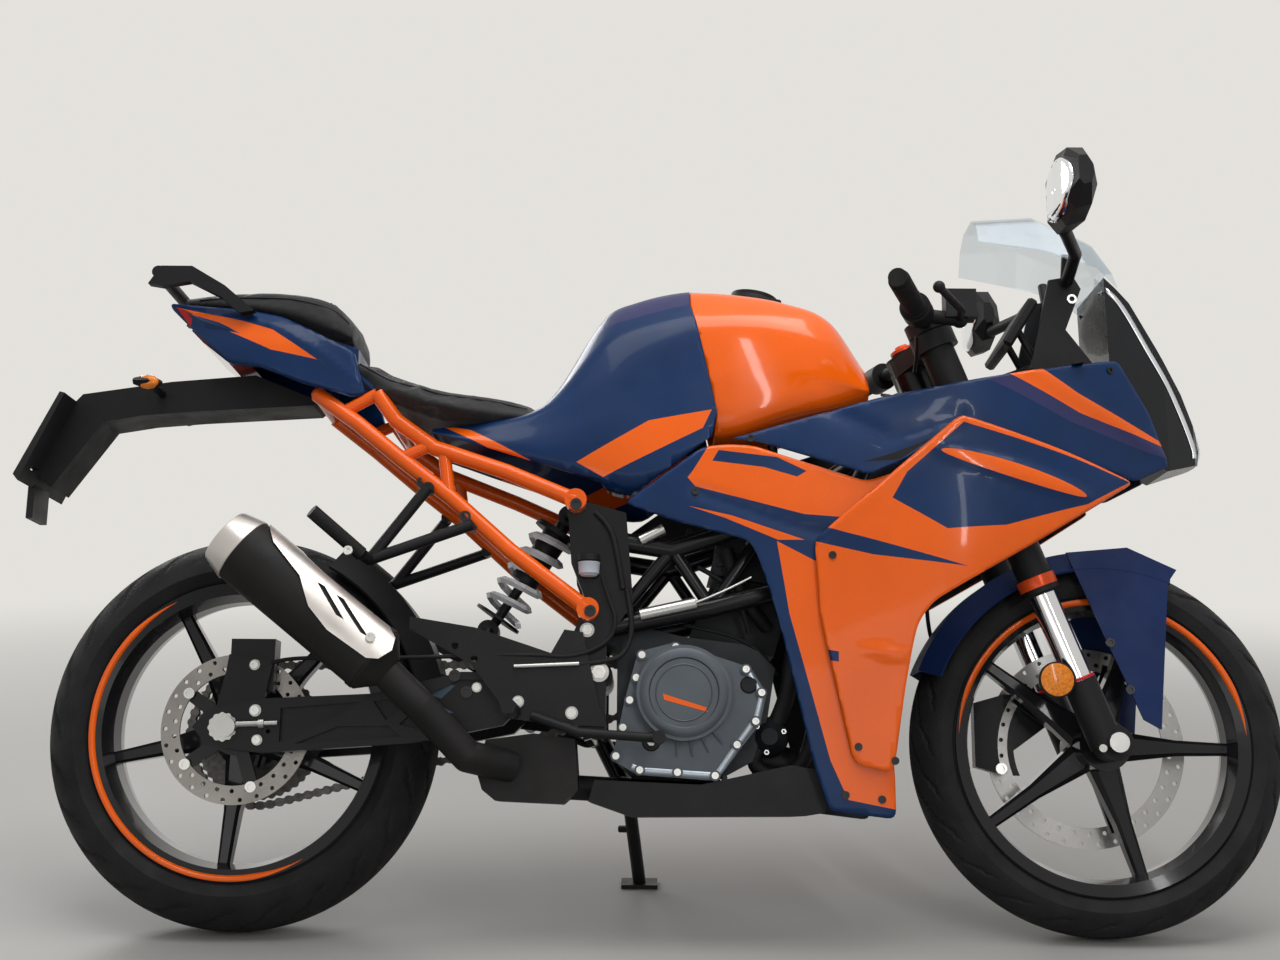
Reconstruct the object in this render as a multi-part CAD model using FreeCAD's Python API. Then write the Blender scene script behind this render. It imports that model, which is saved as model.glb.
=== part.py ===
import FreeCAD, Part
import math
import os

V = FreeCAD.Vector

# A sport bike that leans on its side stand. Millimetres, +X forward, +Y to the rider's left, +Z up.
# It is built upright, with the ground at z = 0 and x = 0 midway between the axles, and tipped at the end.

# Overall sizes that the bodywork follows
body_length = 2000.0
body_height = 1000.0
body_half_width = 200.0
wheelbase = 1343.0
stand_lean = 14.1

# Fits and overruns
gap = 0.3
running_gap = 0.5
overrun = 2.0
panel_wall = 3.5

# Wheels and tyres
rear_tyre_radius = 306.0
front_tyre_radius = 293.0
rear_tyre_crown = 75.0
front_tyre_crown = 55.0
bead_radius = 218.0
tyre_wall = 11.0
outer_flats = 10
outer_spread = 75.0
inner_flats = 4
inner_spread = 60.0
rim_wall = 7.0
rim_lip = 11.0
rear_rim_half = 57.0
front_rim_half = 43.0
spoke_count = 5
rear_spoke_angle = 48.0
front_spoke_angle = 71.0
spoke_root_width = 52.0
spoke_tip_width = 19.0
spoke_root_depth = 46.0
spoke_tip_depth = 26.0
hub_radius = 40.0
front_hub_half = 60.0
rear_hub_half = 67.0

# Brake discs
front_disc_radius = 160.0
front_disc_inner = 126.0
front_disc_y = 59.0
rear_disc_radius = 115.0
rear_disc_inner = 86.0
rear_disc_y = -70.0
disc_thick = 5.0
disc_seat = 12.0
disc_arm_width = 20.0

# Axles
axle_radius = 9.0
axle_nut_radius = 15.0
axle_nut_length = 13.0

# Steering and fork
rake = 21.0
tube_behind_axle = 9.0
axis_behind_axle = 35.0
fork_half_spacing = 98.0
slider_radius = 21.5
outer_tube_radius = 27.0
collar_radius = 29.5
collar_height = 21.0
collar_along = 256.0
casting_top_along = 105.0
casting_radius = 26.0
casting_foot_radius = 27.0
fork_top_share = 0.722
fork_top_along = body_height * fork_top_share
cap_height = 10.0
cap_radius = 22.0
lower_yoke_share = 0.500
upper_yoke_share = 0.668
lower_yoke_along = body_height * lower_yoke_share
upper_yoke_along = body_height * upper_yoke_share
yoke_height = 28.0
yoke_rim = 9.0
stem_radius = 14.0
head_tube_radius = 30.0

# Handlebars
clip_height = 22.0
clip_rim = 8.0
bar_radius = 11.0
grip_radius = 16.5
grip_inner_y = 214.0
bar_end_y = 345.0
bar_end_radius = 14.0
bar_end_length = 16.0
bar_sweep = 84.0
bar_drop = 6.0
switch_radius = 24.0
switch_width = 34.0
lever_radius = 6.0

# Frame tubes
frame_tube_radius = 15.0
brace_tube_radius = 10.0
subframe_tube_radius = 12.5
subframe_boss_radius = 17.0
subframe_half_width = 104.0
frame_half_width = 114.0
pivot_plate_thick = 22.0
pivot_radius = 11.0

# Swingarm and final drive
arm_inner_y = 103.0
arm_thick = 22.0
arm_rib = 9.0
pocket_depth = 8.0
chain_y = 93.0
chain_width = 15.0
chain_half_height = 8.0
chain_pitch = 15.875
front_sprocket_teeth = 15
rear_sprocket_teeth = 45
sprocket_thick = 6.0

front_axle_half = fork_half_spacing + casting_radius + gap
rear_axle_half = arm_inner_y + arm_thick + gap
front_axle = V(wheelbase / 2, 0, front_tyre_radius)
rear_axle = V(-wheelbase / 2, 0, rear_tyre_radius)
across = V(0, 1, 0)
steer_up = V(-math.sin(math.radians(rake)), 0, math.cos(math.radians(rake)))
ground_up = V(0, -math.sin(math.radians(stand_lean)), math.cos(math.radians(stand_lean)))
steer_front = V(math.cos(math.radians(rake)), 0, math.sin(math.radians(rake)))


def place(x_share, y_share, z_share):
    """A point of the bodywork, in shares of its length, half width and height."""
    return V(body_length * x_share, body_half_width * y_share, body_height * z_share)


def fork_point(along, ahead, side):
    """A point by its distance up the fork and ahead of the axle, and its place across."""
    return front_axle + steer_up * along + steer_front * ahead + across * side


def rod(start, end, radius):
    return Part.makeCylinder(radius, (end - start).Length, start, end - start)


def pipe(start, end, radius, bore):
    """A round tube with a hole through it."""
    run = (end - start).normalize() * overrun
    return rod(start, end, radius).cut(rod(start - run, end + run, bore))


def fused(shapes):
    return shapes[0].fuse(shapes[1:]).removeSplitter() if len(shapes) > 1 else shapes[0]


def tube_run(points, radius):
    """Straight round tubes from point to point, with a ball at each bend."""
    shapes = [rod(a, b, radius) for a, b in zip(points, points[1:])]
    shapes += [Part.makeSphere(radius, p) for p in points[1:-1]]
    return fused(shapes)


def polygon(points):
    return Part.Wire(Part.makePolygon(points + points[:1]).Edges)


def side_outline(shares):
    """Corners of a side view, in shares of the bodywork's length and height."""
    return [(body_length * x, body_height * z) for x, z in shares]


def slab(outline, y_from, y_to):
    """A side outline of x, z points, drawn out across the bike."""
    low, high = min(y_from, y_to), max(y_from, y_to)
    face = Part.Face(polygon([V(x, low, z) for x, z in outline]))
    return face.extrude(V(0, high - low, 0))


def turned(profile, centre):
    """A closed profile of radius, y points turned about a line across the bike."""
    face = Part.Face(polygon([V(r, y, 0) for r, y in profile]))
    body = face.revolve(V(0, 0, 0), across, 360)
    return body.translated(centre)


def disc(centre, radius, y_from, y_to, bore=0):
    low, high = min(y_from, y_to), max(y_from, y_to)
    body = Part.makeCylinder(radius, high - low, V(centre.x, low, centre.z), across)
    if bore:
        body = body.cut(Part.makeCylinder(bore, high - low, V(centre.x, low, centre.z), across))
    return body


def mirrored(shape):
    return shape.mirror(V(0, 0, 0), across)


def both_sides(shape):
    return Part.makeCompound([shape, mirrored(shape)])


def box_between(low, high):
    size = high - low
    return Part.makeBox(size.x, size.y, size.z, low)


def skin(stations, side, wall):
    """A bowed panel: each station is x and a list of z, y shares, with the wall inwards."""
    sections = []
    for x_share, rows in stations:
        outer = [place(x_share, side * y, z) for z, y in rows]
        inner = [p - across * (side * wall) for p in reversed(outer)]
        sections.append(polygon(outer + inner))
    return Part.makeLoft(sections, True, True)


def lofted(sections):
    """A closed body through sections of points, straight from one to the next."""
    return Part.makeLoft([polygon(points) for points in sections], True, True)


# Wheels

def tyre(centre, radius, crown, half_bead):
    """A hollow tyre: round crown in short flats, straight sides, open to the rim between its beads."""
    middle = radius - crown
    inside = crown - tyre_wall
    shoulder = bead_radius + rim_lip + gap
    profile = [(bead_radius, -half_bead), (shoulder, -half_bead)]
    profile += arc_corners(middle, crown, outer_flats, outer_spread)
    profile += [(shoulder, half_bead), (bead_radius, half_bead), (bead_radius, half_bead - tyre_wall)]
    profile += reversed(arc_corners(middle, inside, inner_flats, inner_spread))
    profile.append((bead_radius, tyre_wall - half_bead))
    return turned(profile, centre)


def arc_corners(middle, crown, flats, spread):
    """Corners of an arc that bulges outwards from a ring of radius middle, spread either side of it."""
    angles = [math.radians(spread * (2 * number / flats - 1)) for number in range(flats + 1)]
    return [(middle + crown * math.cos(angle), crown * math.sin(angle)) for angle in angles]


def spoke_section(reach, width, depth):
    """A spoke's section at a distance from the axle: eight corners, with its edges bevelled."""
    w, d, bevel = width / 2, depth / 2, width / 5
    corners = [(w, bevel - d), (w, d - bevel), (w - bevel, d), (bevel - w, d),
               (-w, d - bevel), (-w, bevel - d), (bevel - w, -d), (w - bevel, -d)]
    return [V(reach, y, z) for z, y in corners]


def spoke(reach):
    middle = (hub_radius + reach) / 2
    sections = [
        spoke_section(hub_radius / 2, spoke_root_width, spoke_root_depth),
        spoke_section(middle, spoke_tip_width * 1.3, (spoke_root_depth + spoke_tip_depth) / 2),
        spoke_section(reach, spoke_tip_width, spoke_tip_depth),
    ]
    return lofted(sections)


def rim(centre, half_width, hub_half, first_angle):
    """A cast wheel: barrel with two lips, five tapered spokes and a bored hub."""
    well = bead_radius - rim_wall
    drop = well - rim_wall
    lip = bead_radius + rim_lip
    profile = [
        (well, -half_width), (lip, -half_width - rim_wall), (lip, -half_width - gap),
        (bead_radius - gap, -half_width - gap), (bead_radius - gap, -half_width / 2),
        (well, -half_width / 3), (well, half_width / 3),
        (bead_radius - gap, half_width / 2), (bead_radius - gap, half_width + gap),
        (lip, half_width + gap), (lip, half_width + rim_wall), (well, half_width),
        (drop, half_width / 3), (drop, -half_width / 3),
    ]
    body = [turned(profile, V(0, 0, 0)), disc(V(0, 0, 0), hub_radius, -hub_half, hub_half)]
    for number in range(spoke_count):
        arm = spoke(well - rim_wall / 2)
        arm.rotate(V(0, 0, 0), across, -first_angle - 360 / spoke_count * number)
        body.append(arm)
    wheel = fused(body)
    bore = axle_radius + running_gap
    return wheel.cut(disc(V(0, 0, 0), bore, -hub_half - overrun, hub_half + overrun)).translated(centre)


def wheel_arms(centre, face_y, reach, root_y):
    """Short arms of the wheel that carry the brake disc at their ends."""
    arms = []
    for number in range(spoke_count):
        arm = Part.makeBox(reach - hub_radius / 2, abs(face_y - root_y), disc_arm_width,
                           V(hub_radius / 2, min(face_y, root_y), -disc_arm_width / 2))
        arm.rotate(V(0, 0, 0), across, 360 / spoke_count * number)
        arms.append(arm.translated(centre))
    return arms


def brake_disc(centre, radius, inner, middle_y):
    half = disc_thick / 2
    return disc(centre, radius, middle_y - half, middle_y + half, inner)


def build_front_wheel():
    first = front_spoke_angle
    face = front_disc_y - disc_thick / 2
    bare = rim(front_axle, front_rim_half, front_hub_half, first)
    arms = wheel_arms(front_axle, face, front_disc_inner + disc_seat, face - disc_arm_width / 2)
    bore = axle_radius + running_gap
    wheel = fused([bare] + arms).cut(disc(front_axle, bore, -front_axle_half, front_axle_half))
    return {
        "front_rim": wheel,
        "front_tyre": tyre(front_axle, front_tyre_radius, front_tyre_crown, front_rim_half),
        "front_disc": brake_disc(front_axle, front_disc_radius, front_disc_inner, front_disc_y),
    }


def sprocket(centre, teeth, middle_y, bore):
    """A toothed disc whose teeth stand inside the chain's rollers."""
    pitch_radius = chain_pitch / 2 / math.sin(math.pi / teeth)
    root = pitch_radius - chain_half_height - chain_pitch / 4
    tip = pitch_radius - chain_half_height - running_gap
    points = []
    for number in range(teeth):
        turn = 2 * math.pi * number / teeth
        for step, radius in ((0, root), (0.4, tip), (0.6, tip)):
            angle = turn + 2 * math.pi * step / teeth
            points.append((centre.x + radius * math.cos(angle), centre.z + radius * math.sin(angle)))
    half = sprocket_thick / 2
    plate = slab(points, middle_y - half, middle_y + half)
    return plate.cut(disc(centre, bore, middle_y - sprocket_thick, middle_y + sprocket_thick))


def build_rear_wheel():
    face = rear_disc_y + disc_thick / 2
    hub_left = chain_y - sprocket_thick / 2
    bare = rim(rear_axle, rear_rim_half, rear_hub_half, rear_spoke_angle)
    arms = wheel_arms(rear_axle, face, rear_disc_inner + disc_seat, face + disc_arm_width / 2)
    carrier = disc(rear_axle, rear_disc_radius / 2, spoke_root_depth / 2, hub_left)
    bore = axle_radius + running_gap
    wheel = fused([bare, carrier] + arms)
    wheel = wheel.cut(disc(rear_axle, bore, -rear_axle_half, rear_axle_half))
    return {
        "rear_rim": wheel,
        "rear_tyre": tyre(rear_axle, rear_tyre_radius, rear_tyre_crown, rear_rim_half),
        "rear_disc": brake_disc(rear_axle, rear_disc_radius, rear_disc_inner, rear_disc_y),
        "rear_sprocket": sprocket(rear_axle, rear_sprocket_teeth, chain_y, bore + hub_radius / 2),
    }


# Fork and handlebars, which turn with the steering

def axle(centre, half):
    """A wheel axle with a nut at each end, outside what it clamps."""
    shapes = [disc(centre, axle_radius, -half, half)]
    for side in (-1, 1):
        shapes.append(disc(centre, axle_nut_radius, side * half, side * (half + axle_nut_length)))
    return fused(shapes)


def fork_side(side):
    """One fork leg: black outer tube above, bright slider, and the casting that holds the axle."""
    y = side * fork_half_spacing
    ahead = -tube_behind_axle
    outer = pipe(fork_point(collar_along + collar_height, ahead, y), fork_point(fork_top_along, ahead, y),
                 outer_tube_radius, slider_radius + gap)
    top = fork_point(fork_top_along, ahead, y)
    cap = rod(top, top + steer_up * cap_height, cap_radius)
    plug = rod(top - steer_up * cap_height, top, slider_radius + gap)
    collar = pipe(fork_point(collar_along, ahead, y), fork_point(collar_along + collar_height, ahead, y),
                  collar_radius, slider_radius + gap)
    slider = rod(fork_point(casting_top_along, ahead, y), fork_point(fork_top_along * 0.8, ahead, y),
                 slider_radius)
    foot = disc(front_axle, casting_foot_radius, y - slider_radius, y + slider_radius)
    leg = fused([rod(fork_point(0, ahead, y), fork_point(casting_top_along, ahead, y), casting_radius),
                 foot])
    leg = leg.cut(disc(front_axle, axle_radius + gap, y - casting_radius * 2, y + casting_radius * 2))
    return fused([outer, cap, plug, collar]), slider, leg


def yoke(along, height):
    """A clamp across both fork tubes, with the stem's eye between and behind them."""
    bottom = fork_point(along, -tube_behind_axle, 0)
    rim_radius = outer_tube_radius + yoke_rim
    shapes = []
    for side in (-1, 1):
        eye = bottom + across * (side * fork_half_spacing)
        shapes.append(rod(eye, eye + steer_up * height, rim_radius))
    stem = fork_point(along, -axis_behind_axle, 0)
    shapes.append(rod(stem, stem + steer_up * height, head_tube_radius))
    half = fork_half_spacing
    front, back = steer_front * (rim_radius * 0.6), steer_front * -(head_tube_radius * 0.9)
    web = polygon([bottom + across * half + front, bottom - across * half + front,
                   bottom - across * half - front, stem + back - across * (head_tube_radius * 0.5),
                   stem + back + across * (head_tube_radius * 0.5), bottom + across * half - front])
    shapes.append(Part.Face(web).extrude(steer_up * height))
    clamp = fused(shapes)
    for side in (-1, 1):
        eye = bottom + across * (side * fork_half_spacing) - steer_up * overrun
        clamp = clamp.cut(rod(eye, eye + steer_up * (height + overrun * 2), outer_tube_radius))
    return clamp


def bar_line(side, y):
    """A point on the middle line of a clip-on bar, at a distance across from the bike's middle."""
    root = fork_point(upper_yoke_along + yoke_height + clip_height / 2 + overrun, -tube_behind_axle, 0)
    share = (y - fork_half_spacing) / (bar_end_y - fork_half_spacing)
    return root + V(-bar_sweep * share, side * y, -bar_drop * share)


def handlebar_side(side):
    """A clip-on: clamp, bar, switch housing, brake or clutch perch and its lever."""
    low = fork_point(upper_yoke_along + yoke_height + overrun, -tube_behind_axle, side * fork_half_spacing)
    ring = rod(low, low + steer_up * clip_height, outer_tube_radius + clip_rim)
    bar = rod(bar_line(side, fork_half_spacing), bar_line(side, bar_end_y), bar_radius)
    house_y = grip_inner_y - gap - switch_width
    housing = rod(bar_line(side, house_y), bar_line(side, house_y + switch_width), switch_radius)
    perch_y = house_y - switch_radius * 0.4
    perch = bar_line(side, perch_y) + V(switch_radius * 2.6, 0, -switch_radius * 0.3)
    neck = rod(bar_line(side, perch_y), perch, bar_radius)
    blade_tip = bar_line(side, bar_end_y) + V(switch_radius * 2.4, 0, -switch_radius * 0.4)
    blade_mid = bar_line(side, grip_inner_y + grip_radius) + V(switch_radius * 3.1, 0, -switch_radius * 0.4)
    blade = tube_run([perch, blade_mid, blade_tip], lever_radius)
    ball = Part.makeSphere(lever_radius * 1.5, blade_tip)
    shapes = [ring, bar, housing, neck, blade, ball, Part.makeSphere(bar_radius * 1.2, perch)]
    if side < 0:
        corner = perch + V(-switch_radius, -switch_radius * 0.7, 0)
        shapes.append(box_between(corner, corner + V(switch_radius * 2, switch_radius * 1.4, switch_radius * 1.9)))
    body = fused(shapes)
    return body.cut(rod(low - steer_up * overrun, low + steer_up * (clip_height + overrun), outer_tube_radius))


def grip(side):
    """A rubber grip over the bar, with its bar-end weight."""
    start, end = bar_line(side, grip_inner_y), bar_line(side, bar_end_y)
    run = (end - start).normalize()
    sleeve = rod(start, end, grip_radius)
    flange = rod(start, start + run * lever_radius, grip_radius + lever_radius / 2)
    weight = rod(end, end + run * bar_end_length, bar_end_radius)
    return fused([sleeve, flange, weight]).cut(rod(start - run * overrun, end, bar_radius))


def build_steering():
    right_tube, right_slider, right_leg = fork_side(-1)
    left_tube, left_slider, left_leg = fork_side(1)
    stem_low = fork_point(lower_yoke_along, -axis_behind_axle, 0)
    stem_high = fork_point(upper_yoke_along, -axis_behind_axle, 0)
    yokes = fused([yoke(lower_yoke_along, yoke_height), yoke(upper_yoke_along, yoke_height),
                   rod(stem_low, stem_high, stem_radius)])
    return {
        "steering_yokes": yokes,
        "fork_outer_tubes": Part.makeCompound([right_tube, left_tube]),
        "fork_sliders": Part.makeCompound([right_slider, left_slider]),
        "fork_legs": Part.makeCompound([right_leg, left_leg]),
        "handlebars": Part.makeCompound([handlebar_side(-1), handlebar_side(1)]),
        "grips": Part.makeCompound([grip(-1), grip(1)]),
        "front_axle": axle(front_axle, front_axle_half),
        "front_fender": build_front_fender(),
        "front_caliper": build_front_caliper(),
    }


# Front fender and caliper

fender_gap = 9.0
fender_wall = 3.0
fender_half_width = 80.0
fender_front_angle = 66.0
fender_rear_angle = 158.0
fender_blade_wall = 4.0
fender_blade_shares = [(-0.17, 1.02), (0.16, 1.05), (0.42, 0.93), (0.37, 0.86), (0.29, 0.08), (0.20, 0.13)]
caliper_length = 92.0
caliper_height = 128.0
caliper_inner_y = 40.0
caliper_outer_y = 76.0


def arc_band(centre, radius, wall, half_width, start, end):
    """A stretch of hoop over a wheel between two angles from the front, closed over the tyre's shoulders."""
    drop = half_width * 0.45
    profile = [(radius - drop, -half_width), (radius, -half_width * 0.55), (radius, half_width * 0.55),
               (radius - drop, half_width), (radius - drop + wall, half_width + wall),
               (radius + wall, half_width * 0.6), (radius + wall, -half_width * 0.6),
               (radius - drop + wall, -half_width - wall)]
    face = Part.Face(polygon([V(r, y, 0) for r, y in profile]))
    face.rotate(V(0, 0, 0), across, -start)
    return face.revolve(V(0, 0, 0), across, start - end).translated(centre)


def build_front_fender():
    """A hoop over the tyre, and a blade each side that reaches down past the fork to the axle."""
    radius = front_tyre_radius + fender_gap
    hoop = arc_band(front_axle, radius, fender_wall, fender_half_width * 0.86,
                    fender_front_angle, fender_rear_angle)
    outline = [(front_axle.x + front_tyre_radius * x, front_axle.z + front_tyre_radius * z)
               for x, z in fender_blade_shares]
    inner = fender_half_width * 0.86 - fender_wall / 2
    blade = slab(outline, inner, inner + fender_blade_wall)
    blade = blade.cut(disc(front_axle, casting_foot_radius + fender_gap, 0, fender_half_width * 2))
    shapes = [hoop, blade, mirrored(blade)]
    for side in (-1, 1):
        clear = fork_point(0, -tube_behind_axle, side * fork_half_spacing)
        shapes = [s.cut(rod(clear, clear + steer_up * fork_top_along, collar_radius + gap)) for s in shapes]
    return fused(shapes)


def build_front_caliper():
    """A four-piston caliper behind the left fork leg, slotted for the disc, on a forged bracket."""
    reach = (front_disc_radius + front_disc_inner) / 2
    middle = front_axle + V(-reach * 0.93, 0, reach * 0.14)
    half_l, half_h = caliper_length / 2, caliper_height / 2
    body = lofted([
        [V(middle.x - half_l, y, middle.z + z) for y, z in
         ((caliper_inner_y + disc_seat, -half_h * 0.8), (caliper_outer_y, -half_h * 0.8),
          (caliper_outer_y, half_h * 0.8), (caliper_inner_y + disc_seat, half_h * 0.8))],
        [V(middle.x, y, middle.z + z) for y, z in
         ((caliper_inner_y, -half_h), (caliper_outer_y, -half_h), (caliper_outer_y, half_h),
          (caliper_inner_y, half_h))],
        [V(middle.x + half_l, y, middle.z + z) for y, z in
         ((caliper_inner_y, -half_h), (caliper_outer_y, -half_h), (caliper_outer_y, half_h),
          (caliper_inner_y, half_h))],
    ])
    slot = disc(front_axle, front_disc_radius + disc_seat / 2, front_disc_y - disc_thick, front_disc_y + disc_thick)
    body = body.cut(slot).cut(disc(front_axle, front_disc_inner - disc_seat, 0, caliper_outer_y + overrun))
    body = body.cut(disc(front_axle, front_disc_inner + disc_seat * 1.5, 0, front_disc_y))
    y = fork_half_spacing - casting_radius * 0.6
    bracket = [(middle.x, middle.z + half_h * 0.6), (front_axle.x - casting_radius * 2.6, front_axle.z + reach * 0.62),
               (front_axle.x - casting_radius * 1.8, front_axle.z + reach * 0.3),
               (middle.x + half_l * 0.6, middle.z - half_h * 0.3), (middle.x, middle.z - half_h * 0.6)]
    plate = slab(bracket, caliper_outer_y - overrun, y + overrun)
    whole = fused([body, plate])
    leg = rod(fork_point(-casting_top_along, -tube_behind_axle, fork_half_spacing),
              fork_point(fork_top_along, -tube_behind_axle, fork_half_spacing), casting_radius + gap)
    return whole.cut(leg)


# Frame: head tube, trellis sides, pivot plates and the tubes that join them

frame_spar_shares = [(0.158, 0.30, 0.752), (0.080, 0.50, 0.640), (0.0, 0.54, 0.585), (-0.050, 0.54, 0.600)]
frame_low_shares = [(0.158, 0.30, 0.752), (0.105, 0.50, 0.535), (0.030, 0.54, 0.495), (-0.050, 0.54, 0.462)]
frame_web_shares = [((0.080, 0.50, 0.640), (0.105, 0.50, 0.535)), ((0.080, 0.50, 0.640), (0.030, 0.54, 0.495)),
                    ((0.0, 0.54, 0.585), (0.030, 0.54, 0.495)), ((0.0, 0.54, 0.585), (-0.050, 0.54, 0.462))]
pivot_plate_shares = [(-0.036, 0.640), (-0.030, 0.500), (-0.050, 0.440), (-0.050, 0.300), (-0.066, 0.290),
                      (-0.080, 0.350), (-0.078, 0.440), (-0.066, 0.500), (-0.078, 0.560), (-0.082, 0.665)]
head_joint_shares = (0.28, 0.80)
pivot_share = (-0.056, 0, 0.392)
engine_mount_share = (-0.055, 0, 0.460)
tank_post_share = (0.080, 0.40)
shock_top_share = (-0.083, 0, 0.655)
shock_foot_share = (-0.146, 0, 0.468)
shock_eye_radius = 17.0
shock_eye_half = 18.0

pivot = place(*pivot_share)
shock_top = place(*shock_top_share)
shock_foot = place(*shock_foot_share)


def build_frame():
    """Black tube frame with cast plates at the swingarm's pivot."""
    head_low = fork_point(lower_yoke_along + yoke_height + running_gap, -axis_behind_axle, 0)
    head_high = fork_point(upper_yoke_along - running_gap, -axis_behind_axle, 0)
    shapes = []
    for side in (-1, 1):
        for shares in (frame_spar_shares, frame_low_shares):
            shapes.append(tube_run([place(x, side * y, z) for x, y, z in shares], frame_tube_radius))
        for (x1, y1, z1), (x2, y2, z2) in frame_web_shares:
            shapes.append(rod(place(x1, side * y1, z1), place(x2, side * y2, z2), brace_tube_radius))
        shapes.append(slab(side_outline(pivot_plate_shares), side * (frame_half_width - pivot_plate_thick / 2),
                           side * (frame_half_width + pivot_plate_thick / 2)))
        start = place(frame_spar_shares[0][0], side * frame_spar_shares[0][1], frame_spar_shares[0][2])
        for share in head_joint_shares:
            shapes.append(rod(start, head_low + (head_high - head_low) * share, frame_tube_radius))
    for x, z in ((-0.062, 0.628), (-0.058, 0.302)):
        shapes.append(rod(place(x, -0.54, z), place(x, 0.54, z), brace_tube_radius))
    shapes.append(rod(place(0.080, -0.50, 0.640), place(0.080, 0.50, 0.640), brace_tube_radius))
    hanger = []
    for side in (-1, 1):
        step = across * (side * (shock_eye_half + gap + brace_tube_radius))
        hanger.append(rod(place(-0.062, 0, 0.628) + step, shock_top + step, brace_tube_radius))
    pin = rod(shock_top - across * (shock_eye_half + brace_tube_radius),
              shock_top + across * (shock_eye_half + brace_tube_radius), lever_radius)
    shapes += hanger + [pin]
    half = frame_half_width + pivot_plate_thick / 2
    shapes.append(rod(pivot - across * half, pivot + across * half, pivot_radius))
    mount = place(*engine_mount_share)
    for side in (-1, 1):
        shapes.append(disc(mount, brace_tube_radius, side * (case_half_width + gap), side * frame_half_width))
    shapes += stand_lug()
    tube = rod(head_low, head_high, head_tube_radius)
    bore = rod(head_low - steer_up * overrun, head_high + steer_up * overrun, stem_radius + running_gap)
    whole = fused(shapes + [tube]).cut(bore)
    return whole


subframe_top_shares = [(-0.235, 0.50, 0.834), (-0.219, 0.52, 0.790), (-0.188, 0.54, 0.745),
                       (-0.130, 0.64, 0.703), (-0.075, 0.695, 0.656)]
subframe_low_shares = [(-0.285, 0.40, 0.838), (-0.250, 0.50, 0.786), (-0.214, 0.54, 0.727),
                       (-0.172, 0.58, 0.662), (-0.125, 0.64, 0.578), (-0.0645, 0.695, 0.487)]
subframe_web_shares = [((-0.214, 0.54, 0.727), (-0.192, 0.54, 0.748)), ((-0.180, 0.55, 0.740), (-0.174, 0.58, 0.665)),
                       ((-0.235, 0.50, 0.834), (-0.262, 0.46, 0.806))]


def build_subframe():
    """Orange rear frame, bolted outside the pivot plates by two bosses a side."""
    shapes = []
    outer = frame_half_width + pivot_plate_thick / 2
    for side in (-1, 1):
        for shares in (subframe_top_shares, subframe_low_shares):
            shapes.append(tube_run([place(x, side * y, z) for x, y, z in shares], subframe_tube_radius))
            x, y, z = shares[-1]
            end = place(x, 0, z)
            shapes.append(disc(end, subframe_boss_radius, side * outer, side * (outer + subframe_tube_radius * 2)))
        for (x1, y1, z1), (x2, y2, z2) in subframe_web_shares:
            shapes.append(rod(place(x1, side * y1, z1), place(x2, side * y2, z2), brace_tube_radius))
    for x, y, z in (subframe_low_shares[0], subframe_top_shares[1]):
        shapes.append(rod(place(x, -y, z), place(x, y, z), brace_tube_radius))
    body = fused(shapes)
    for side in (-1, 1):
        inner = side * (frame_half_width - pivot_plate_thick)
        body = body.cut(slab(side_outline(pivot_plate_shares), inner, side * outer))
    return body


# Swingarm, rear axle, shock absorber and final drive

arm_outline_shares = [(-0.362, 0.306), (-0.352, 0.332), (-0.312, 0.349), (-0.226, 0.358), (-0.160, 0.392),
                      (-0.116, 0.392), (-0.108, 0.352), (-0.128, 0.312), (-0.196, 0.284), (-0.310, 0.268),
                      (-0.350, 0.278)]
arm_pocket_shares = [
    [(-0.296, 0.335), (-0.236, 0.345), (-0.262, 0.314), (-0.296, 0.284)],
    [(-0.226, 0.346), (-0.190, 0.356), (-0.216, 0.318)],
    [(-0.252, 0.308), (-0.214, 0.310), (-0.204, 0.294), (-0.284, 0.282)],
    [(-0.180, 0.362), (-0.160, 0.380), (-0.124, 0.380), (-0.130, 0.330), (-0.184, 0.302), (-0.206, 0.312)],
]
bridge_shares = [(-0.176, 0.345), (-0.162, 0.384), (-0.122, 0.384), (-0.114, 0.356), (-0.140, 0.332)]
yoke_shares = [(-0.162, 0.384), (-0.122, 0.386), (-0.056, 0.412), (-0.046, 0.392), (-0.056, 0.372), (-0.120, 0.346),
               (-0.160, 0.346)]
yoke_half_width = 80.0
bobbin_share = (-0.3045, 0, 0.300)
bobbin_hole_radius = 3.4
bobbin_hole_depth = 18.0
pivot_tube_radius = 21.0
yoke_window_shares = [(-0.112, 0.42), (-0.075, 0.42), (-0.075, 0.34), (-0.112, 0.34)]


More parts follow.
